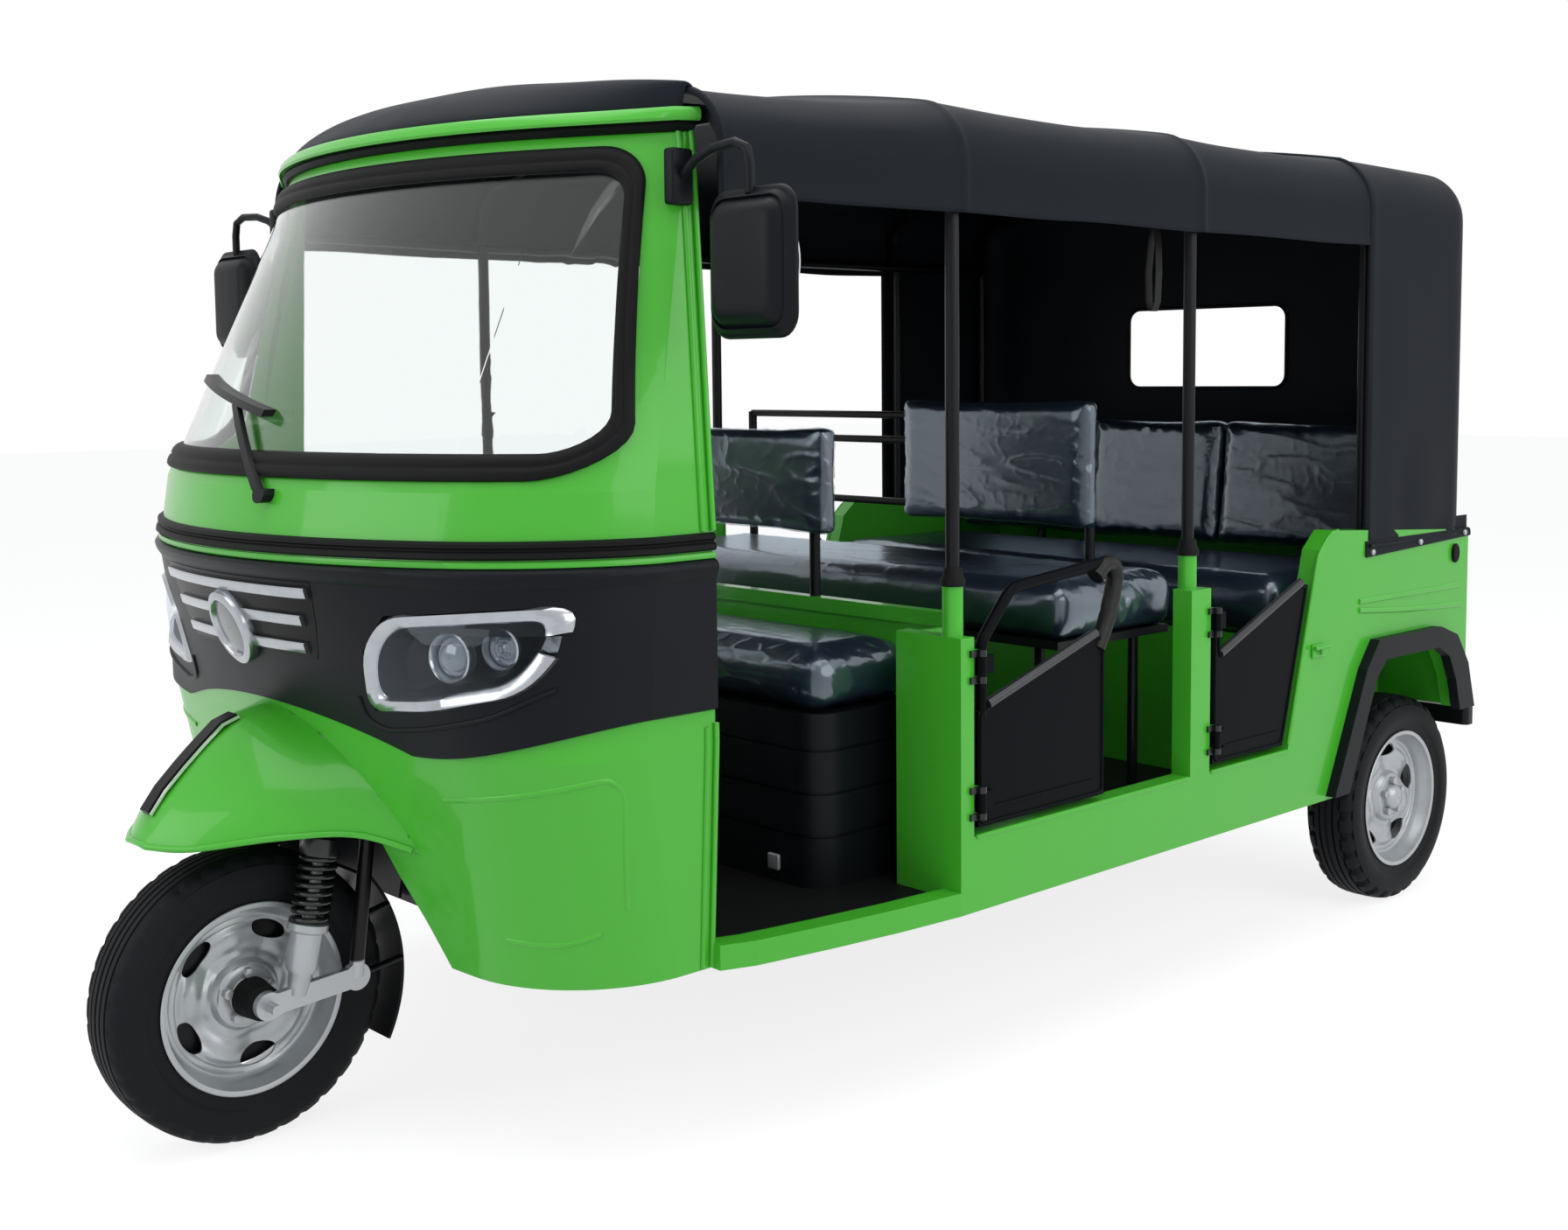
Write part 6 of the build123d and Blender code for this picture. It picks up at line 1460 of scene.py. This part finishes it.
def eased_arch(index, share):
    """Arch between two of the given ones, on a smooth curve through them all."""
    last = len(MUDGUARD_ARCHES) - 1
    before, a, b, after = (MUDGUARD_ARCHES[min(max(index + shift, 0), last)] for shift in (-1, 0, 1, 2))
    made = []
    for p, q, r, s in zip(before, a, b, after):
        made.append(0.5 * (2 * q + (r - p) * share + (2 * p - 5 * q + 4 * r - s) * share ** 2
                           + (3 * q - p - 3 * r + s) * share ** 3))
    return made


guard_rows = []
guard_edges = []
for index in range(len(MUDGUARD_ARCHES) - 1):
    ends_here = index == len(MUDGUARD_ARCHES) - 2
    for step in range(ARCH_STEPS + ends_here):
        station, half, edge, crown = eased_arch(index, step / ARCH_STEPS)
        shoulder = (SHOULDER[0] * half, edge + SHOULDER[1] * (crown - edge))
        left = arc_through((half, edge), shoulder, (0.0, crown), ARCH_POINTS)
        outline = left + [(0.0, crown)] + [(-x, z) for x, z in reversed(left)]
        guard_rows.append([Vector((x, station - STATION_ZERO, z)) for x, z in outline])
        guard_edges.append((station, half, edge))
tip_z = MUDGUARD_ARCHES[0][2]
guard_rows.insert(0, [Vector((point.x, point.y - 0.001, tip_z)) for point in guard_rows[0]])
mudguard = woven("mudguard_shell", guard_rows)
only(mudguard)
bpy.ops.object.mode_set(mode="EDIT")
bpy.ops.mesh.select_all(action="DESELECT")
bpy.ops.object.mode_set(mode="OBJECT")
for vertex in mudguard.data.vertices:
    x, y, z = vertex.co
    vertex.select = y > on_cab(x, z).y + INSIDE_CAB
bpy.ops.object.mode_set(mode="EDIT")
bpy.ops.mesh.delete(type="VERT")
bpy.ops.object.mode_set(mode="OBJECT")
faces_outwards(mudguard)
if sum(polygon.normal.z * polygon.area for polygon in mudguard.data.polygons) < 0:
    bpy.ops.object.mode_set(mode="EDIT")
    bpy.ops.mesh.select_all(action="SELECT")
    bpy.ops.mesh.flip_normals()
    bpy.ops.object.mode_set(mode="OBJECT")
thicken(mudguard, MUDGUARD_WALL)
fit(smooth(mudguard, 40), "vehicle", green_paint, "body_green", "nose_mudguard")
guard_edges = [(station, x, z) for station, x, z in guard_edges
               if station - STATION_ZERO < on_cab(x, z).y - 0.002]
ROLL_LIFT = 0.002
ROLL_TIP = (-0.1690, 0.5415)     # station and height of the roll round the tip
edge_points = [Vector((-x, station - STATION_ZERO, z + ROLL_LIFT)) for station, x, z in reversed(guard_edges)]
edge_points += [Vector((x, ROLL_TIP[0] - STATION_ZERO, ROLL_TIP[1])) for x in (-0.020, 0.0, 0.020)]
edge_points += [Vector((x, station - STATION_ZERO, z + ROLL_LIFT)) for station, x, z in guard_edges]
mudguard_roll = bead("mudguard_roll", edge_points, 0.0055)
fit(mudguard_roll, "vehicle", green_paint, "body_green")
CROWN = [(-0.150, 0.585), (-0.124, 0.620), (-0.090, 0.654), (-0.055, 0.686), (-0.020, 0.716), (0.010, 0.7265)]


def crown_strip(name, half, lift):
    """Strip along the crown of the mudguard, standing proud of it."""
    profile = [(-half, 0.0), (-half, lift), (half, lift), (half, 0.0)]
    rows = [[Vector((x, station - STATION_ZERO - 0.6 * rise, z + 0.8 * rise)) for station, z in CROWN]
            for x, rise in profile]
    return close_ends(woven(name, rows + [rows[0]]))


plate_frame = crown_strip("mudguard_plate_frame", 0.020, 0.006)
fit(plate_frame, "vehicle", chrome, "lamp_chrome")
plate_face = crown_strip("mudguard_plate", 0.0155, 0.0085)
fit(plate_face, "vehicle", bowl_finish, "trim_black")

# ---- leg shield pressings -----------------------------------------------------------------------
# The leg shield's sheet is stiffened by two pressed beads on each side. Its rear edge, and the
# cowl's, is folded into a double flange beside the driver's doorway.
PRESSINGS = [                    # (running distance from the middle, z)
    [(0.442, 0.634), (0.740, 0.678), (0.760, 0.655), (0.722, 0.448)],
    [(0.519, 0.412), (0.609, 0.406), (0.695, 0.430)],
]
PRESSED_SPACING = 0.015
PRESSED_RADIUS = 0.0060
PRESSED_DEPTH = 0.0030
pressed = []
for line in PRESSINGS:
    bends = rounded(line, 0.035)
    for side in (1, -1):
        points = []
        for (ra, za), (rb, zb) in zip(bends, bends[1:]):
            count = max(1, int(math.hypot(rb - ra, zb - za) / PRESSED_SPACING))
            shares = [step / count for step in range(count)]
            points += [cab_point(side * (ra + (rb - ra) * share), za + (zb - za) * share, -PRESSED_DEPTH)
                       for share in shares]
        pressed.append(bead("pressing", points, PRESSED_RADIUS, 4))
pressings = join("leg_shield_pressings", pressed)
fit(smooth(pressings, 70), "vehicle", green_paint, "body_green")
# distance back from the jamb, proud, lower and upper end
FLANGES = [(0.000, 0.002, 0.334, 0.740), (-0.018, 0.000, 0.334, 0.735), (0.000, 0.003, 1.050, 1.690),
           (-0.020, 0.001, 1.050, 1.690)]
FLANGE_STEPS = 24
FLANGE_RADIUS = 0.0052
flanges = []
for side in (1, -1):
    for back, out, low, high in FLANGES:
        points = []
        for step in range(FLANGE_STEPS + 1):
            z = low + (high - low) * step / FLANGE_STEPS
            run = cab_plan(z)[0][-1] + back
            points.append(cab_point(side * run, z, out))
        flanges.append(bead("flange", points, FLANGE_RADIUS))
jamb_flanges = join("jamb_flanges", flanges)
fit(smooth(jamb_flanges, 60), "vehicle", green_paint, "body_green")

# ---- mirrors ------------------------------------------------------------------------------------
# Moulded black mirror heads on bent steel arms; each arm is clamped in a bracket that is screwed to
# the cowl. A plain silvered glass sits in the rear face of each head.
ARM = [(0.652, 0.464, 1.600), (0.700, 0.460, 1.628), (0.745, 0.456, 1.640), (0.800, 0.452, 1.643),
       (0.828, 0.450, 1.632), (0.835, 0.450, 1.605), (0.835, 0.450, 1.565)]     # x, station, z
ARM_RADIUS = 0.0078
HEAD_PLACE = (0.835, 0.450, 1.462)
HEAD_SIZE = (0.190, 0.054, 0.226)
HEAD_TAPER = 0.86
CLAMP_PLACE = (0.653, 0.463, 1.605)
CLAMP_SIZE = (0.024, 0.044, 0.088)
MIRROR_PLACE = (0.835, 0.477, 1.462)
MIRROR_GLASS = [(0.0, 0.0005), (0.0, 0.075), (0.0015, 0.076), (0.003, 0.074), (0.0035, 0.0005)]


def at_station(side, place):
    """Move to a place given as (x, station, z) for the left side."""
    x, station, z = place
    return Matrix.Translation((side * x, station - STATION_ZERO, z))


mirror_parts = []
glass_parts = []
for side in (1, -1):
    bpy.ops.mesh.primitive_cube_add(size=1)
    head = bpy.context.object
    head.data.transform(Matrix.Diagonal((*HEAD_SIZE, 1)))
    for line in head.data.edges:
        a, b = (head.data.vertices[index].co for index in line.vertices)
        line.select = abs(a.y - b.y) > 0.03
    bpy.ops.object.mode_set(mode="EDIT")
    bpy.ops.mesh.bevel(offset=0.038, segments=7, affect="EDGES")
    bpy.ops.object.mode_set(mode="OBJECT")
    for vertex in head.data.vertices:
        if vertex.co.y < 0:
            vertex.co.x *= HEAD_TAPER
            vertex.co.z *= HEAD_TAPER
    soft = head.modifiers.new("soft", "BEVEL")
    soft.width = 0.012
    soft.segments = 4
    soft.angle_limit = math.radians(30)
    apply_modifiers(head)
    mirror_parts.append(move_mesh(head, at_station(side, HEAD_PLACE)))
    arm_line = [Vector((side * x, station - STATION_ZERO, z)) for x, station, z in ARM]
    mirror_parts.append(bead("arm", arm_line, ARM_RADIUS, 4))
    bpy.ops.mesh.primitive_cube_add(size=1)
    clamp = bpy.context.object
    clamp.data.transform(Matrix.Diagonal((*CLAMP_SIZE, 1)))
    bpy.ops.object.mode_set(mode="EDIT")
    bpy.ops.mesh.bevel(offset=0.006, segments=3, affect="EDGES")
    bpy.ops.object.mode_set(mode="OBJECT")
    mirror_parts.append(move_mesh(clamp, at_station(side, CLAMP_PLACE)))
    glass = turned("mirror_glass", MIRROR_GLASS, 60)
    glass.data.transform(Matrix.Diagonal((1, 1.02, 1.20, 1)))
    glass.data.transform(Matrix.Rotation(math.pi / 2, 4, "Z"))
    glass_parts.append(move_mesh(glass, at_station(side, MIRROR_PLACE)))
mirror_heads = join("mirror_heads", mirror_parts)
fit(smooth(mirror_heads, 40), "vehicle", satin_plastic, "trim_black", "mirrors")
mirror_glasses = join("mirror_glasses", glass_parts)
fit(smooth(mirror_glasses, 40), "vehicle", chrome, "lamp_chrome")

# ---- doors --------------------------------------------------------------------------------------
# Each door is a folded black sheet with a rolled slanted top edge and a raised flange round it; the
# front ones carry a bent tube hoop whose rear leg is wrapped in rubber tape. Hinge lugs are black.
# The rolled top edge is the same black sheet, but its colour is made several times lighter than the door's: a
# painted highlight along the roll, added to its real gloss.
rolled_edge = finish("rolled_edge_painted_highlight", (0.020, 0.023, 0.026), 0.30, grain=260.0, bump=0.10)
tape = finish("wrapped_rubber_tape", (0.0050, 0.0055, 0.0060), 0.45, grain=420.0, bump=0.5, specular=0.25)
DOOR_FACE = 0.7610
# All door lines are (station, z).
DOOR_EDGES = {
    "front": [(1.056, 0.488), (1.056, 0.688), (1.080, 0.697), (1.390, 0.791), (1.410, 0.785),
              (1.410, 0.488)],
    "rear": [(1.790, 0.488), (1.790, 0.796), (1.798, 0.796), (1.806, 0.702), (2.118, 0.824),
             (2.138, 0.818), (2.045, 0.488)],
}
ROLLED = {"front": [(1.078, 0.702), (1.392, 0.798)], "rear": [(1.812, 0.709), (2.122, 0.832)]}
RIBS_ON_DOOR = {"front": [(1.085, 0.515), (1.380, 0.515)], "rear": [(1.820, 0.515), (2.030, 0.515)]}
HOOP_LEG = [(1.398, 0.905), (1.425, 0.928), (1.452, 0.926), (1.462, 0.905), (1.453, 0.868), (1.437, 0.822),
            (1.404, 0.766)]
TAPE_TURNS = 75                  # turns of tape in a metre
TAPE_EDGE = 0.0011


def on_door(side, points, proud):
    """Points of a (station, z) line on a shut door's face."""
    return [Vector((side * (DOOR_FACE + proud), station - STATION_ZERO, z)) for station, z in points]


def taped_leg(side):
    """Rear leg of the hoop wrapped in tape, a little thicker at each turn's edge."""
    leg = bead("taped_leg", on_door(side, rounded(HOOP_LEG, 0.02), -0.010), 0.0165, 5)
    for vertex in leg.data.vertices:
        wave = (vertex.co.z * 1.1 + vertex.co.y * 0.6) * TAPE_TURNS
        vertex.co += vertex.normal * TAPE_EDGE * (wave % 1.0)
    return leg


for kind in ("front", "rear"):
    for side, side_name in ((1, "left"), (-1, "right")):
        loop = rounded(DOOR_EDGES[kind], 0.012, closed=True)
        pieces = [bead("flange", on_door(side, loop, -0.001), 0.0034, 2),
                  bead("rib", on_door(side, RIBS_ON_DOOR[kind], -0.0012), 0.0036, 2)]
        flange = join("door_flange_" + kind + "_" + side_name, pieces)
        body = kind + "_" + side_name + "_door"
        fit(smooth(flange, 60), body, door_paint, "door_black")
        roll = bead("door_roll_" + kind + "_" + side_name, on_door(side, ROLLED[kind], -0.0045), 0.0095, 4)
        fit(roll, body, rolled_edge, "door_black")
        if kind == "front":
            leg = taped_leg(side)
            leg.name = "door_hoop_tape_" + side_name
            fit(smooth(leg, 50), body, tape, "door_black")

# The sides' own ribs and hinges that stand past the sheet are black.
PAST_SHEET = (0.7684, 0.76841)
side_paint = green_paint.copy()
side_paint.name = "lime_green_side_paint"
masked_paint(side_paint, "X", *PAST_SHEET, (0.004, 0.005, 0.006))
coat_nodes(side_paint, "side_bodies")

# ---- body side trim -----------------------------------------------------------------------------
# The quarter panel has two pressed lines above the wheel arch, a black oval blank and a small bolt
# latch; the sill's edge is folded, and the driver's box carries two small bright catches.
SKIN = 0.768
PRESSED_LINES = [                # (station, z)
    [(2.352, 0.768), (2.600, 0.766), (2.826, 0.766)],
    [(2.352, 0.748), (2.560, 0.730), (2.842, 0.717)],
]
FOLDS = [
    [(2.066, 0.482), (2.178, 0.888), (2.225, 0.930), (2.258, 0.936)],
    [(1.036, 0.468), (1.690, 0.468)],
    [(1.769, 0.468), (2.058, 0.468)],
]
LATCH_STATION = 2.176
OVAL = [(0.000, 0.0005), (0.000, 0.0150), (0.0035, 0.0165), (0.0070, 0.0150), (0.0078, 0.0110),
        (0.0062, 0.0095), (0.0068, 0.0005)]
OVAL_PLACE = (SKIN, 2.798, 0.846)
STUD = [(0.0, 0.0005), (0.0, 0.0070), (0.004, 0.0068), (0.006, 0.0040), (0.0062, 0.0005)]
STUD_STATIONS = (2.400, 2.620, 2.840)
HEM_STATIONS = (2.374, 2.450, 2.530, 2.620, 2.710, 2.800, 2.872)
# height where it is fixed, else lift above the hood's lower edge, and reach past the sheet
HEM_ROWS = [(0.935, None, -0.0080), (0.9045, None, -0.0075), (0.9025, None, 0.0010), (None, 0.011, 0.0028),
            (None, 0.002, 0.0034), (None, -0.001, 0.0020)]
LOCK_PLACE = (0.5535, 1.086, 0.505)
CATCH_PLACE = (0.440, 0.8445, 0.398)
side_greens = []
side_blacks = []
side_brights = []
hem_bands = []


def block(name, size, side, place, edge):
    """Block with bevelled edges at (x, station, z)."""
    bpy.ops.mesh.primitive_cube_add(size=1)
    obj = bpy.context.object
    obj.name = name
    obj.data.transform(Matrix.Diagonal((*size, 1)))
    bpy.ops.object.mode_set(mode="EDIT")
    bpy.ops.mesh.bevel(offset=edge, segments=3, affect="EDGES")
    bpy.ops.object.mode_set(mode="OBJECT")
    return smooth(move_mesh(obj, at_station(side, place)), 40)


def hem_at(station):
    """Height of the hood's lower edge on the side panel."""
    return 0.868 + 0.018 * (station - 2.372) / 0.5


def on_side(side, points, proud):
    """Points of a (station, z) line on the side's sheet."""
    return [Vector((side * (SKIN + proud), station - STATION_ZERO, z)) for station, z in points]


def facing(side, obj):
    """Turns a piece that looks to the left so that it looks to its own side."""
    if side < 0:
        obj.data.transform(Matrix.Rotation(math.pi, 4, "Z"))
    return obj


for side in (1, -1):
    for line in PRESSED_LINES:
        side_greens.append(bead("pressed_line", on_side(side, rounded(line, 0.05), -0.0042), 0.0080, 4))
    for line in FOLDS:
        side_greens.append(bead("fold", on_side(side, rounded(line, 0.02), -0.0030), 0.0046))
    # Small bolt latch beside the rear doorway.
    side_greens.append(block("latch_plate", (0.006, 0.052, 0.030), side, (SKIN + 0.002, LATCH_STATION, 0.676),
                             0.0025))
    side_greens.append(bead("latch_bolt", on_side(side, [(2.150, 0.684), (2.205, 0.684)], 0.009), 0.0050, 4))
    latch_pull = on_side(side, [(LATCH_STATION, 0.684), (LATCH_STATION, 0.668)], 0.011)
    side_greens.append(bead("latch_pull", latch_pull, 0.0038))
    # Blank oval near the rear edge.
    oval = turned("oval_blank", OVAL, 48)
    oval.data.transform(Matrix.Diagonal((1, 0.92, 1.45, 1)))
    side_blacks.append(move_mesh(facing(side, oval), at_station(side, OVAL_PLACE)))
    # The hood's hem band laps outside the panel and is held by studs.
    rows = []
    for height, lift, reach in HEM_ROWS:
        rows.append([Vector((side * (SKIN + reach), station - STATION_ZERO, height or hem_at(station) + lift))
                     for station in HEM_STATIONS])
    band = woven("hem_band", rows)
    thicken(band, 0.0018, offset=0.0)
    hem_bands.append(smooth(band, 50))
    for station in STUD_STATIONS:
        stud = facing(side, turned("stud", STUD, 24))
        stud_place = (SKIN + 0.0035, station, hem_at(station) + 0.009)
        side_brights.append(move_mesh(stud, at_station(side, stud_place)))
    # Catches on the driver's box.
    side_brights.append(block("box_lock", (0.008, 0.020, 0.044), side, LOCK_PLACE, 0.0030))
    side_brights.append(block("box_catch", (0.030, 0.008, 0.030), side, CATCH_PLACE, 0.0030))
hem_band = join("hood_hem_bands", hem_bands)
fit(hem_band, "vehicle", roof_canvas, "canopy_cloth")
greens = join("side_pressings", side_greens)
fit(smooth(greens, 60), "vehicle", green_paint, "body_green")
blacks = join("side_blanks", side_blacks)
fit(smooth(blacks, 45), "vehicle", black_rubber, "trim_black")
brights = join("side_studs_and_catches", side_brights)
fit(smooth(brights, 45), "vehicle", silver_paint, "lamp_chrome")

# ---- posts and rails ----------------------------------------------------------------------------
# Rubber boots close the foot of each roof post, a strap hangs from the middle bow, and the handlebar
# ends in ribbed grips. The floor mat is turned up at the driver's doorway.
POST_X = 0.733
POST_STATIONS = (1.0125, 1.729)
POST_FOOT = 0.920
POST_BOOT = [(0.0, 0.0128), (0.0, 0.0220), (0.012, 0.0225), (0.018, 0.0185), (0.030, 0.0170), (0.034, 0.0128)]
GRIP_PLACE = (0.208, 0.4318, 1.062)
GRIP_RIBS = 12
GRIP_PITCH = 0.0096
GRIP_BORE = 0.0122
grip_section = [(0.0, GRIP_BORE)]
for rib in range(GRIP_RIBS):
    start = 0.003 + rib * GRIP_PITCH
    grip_section += [(start, 0.0188), (start + 0.0060, 0.0188)]
    grip_section += [(start + 0.0070, 0.0176), (start + 0.0090, 0.0176)]
grip_section += [(0.1190, 0.0210), (0.1230, 0.0210), (0.1240, GRIP_BORE)]
boots = []
grip_sleeves = []
for side in (1, -1):
    for station in POST_STATIONS:
        boot = turned("post_boot", POST_BOOT, 32)
        boot.data.transform(Matrix.Rotation(-math.pi / 2, 4, "Y"))
        boots.append(move_mesh(boot, at_station(side, (POST_X, station, POST_FOOT))))
    sleeve = facing(side, turned("grip", grip_section, 32))
    grip_sleeves.append(move_mesh(sleeve, at_station(side, GRIP_PLACE)))
post_boots = join("post_boots", boots)
fit(smooth(post_boots, 45), "vehicle", black_rubber, "rubber_black")
grips = join("handlebar_grips", grip_sleeves)
fit(smooth(grips, 40), "steering", black_rubber, "rubber_black")
MAT_EDGE = [(0.515, 0.672), (0.560, 0.684), (0.705, 0.710), (0.854, 0.731), (0.990, 0.744)]      # station, x
MAT_LIP_Z = 0.3665
mat_lips = []
for side in (1, -1):
    lip_line = [Vector((side * x, station - STATION_ZERO, MAT_LIP_Z)) for station, x in MAT_EDGE]
    mat_lips.append(bead("mat_lip", lip_line, 0.0070))
mat_lip = join("floor_mat_lips", mat_lips)
fit(mat_lip, "vehicle", black_rubber, "rubber_black")
STRAP = [(1.592, 0.600), (1.560, 0.604), (1.500, 0.606), (1.440, 0.603), (1.421, 0.596), (1.421, 0.588),
         (1.440, 0.582), (1.500, 0.580), (1.560, 0.586), (1.592, 0.592)]      # z, x
STRAP_STATION = 1.800
STRAP_HALF = 0.011
STRAP_THICKNESS = 0.0022
straps = []
for side in (1, -1):
    rows = [[Vector((side * x, STRAP_STATION + across - STATION_ZERO, z)) for z, x in STRAP]
            for across in (-STRAP_HALF, STRAP_HALF)]
    strap = woven("strap", rows)
    thicken(strap, STRAP_THICKNESS, offset=0.0)
    straps.append(smooth(strap, 60))
hanging_straps = join("hanging_straps", straps)
fit(hanging_straps, "vehicle", tape, "rubber_black")
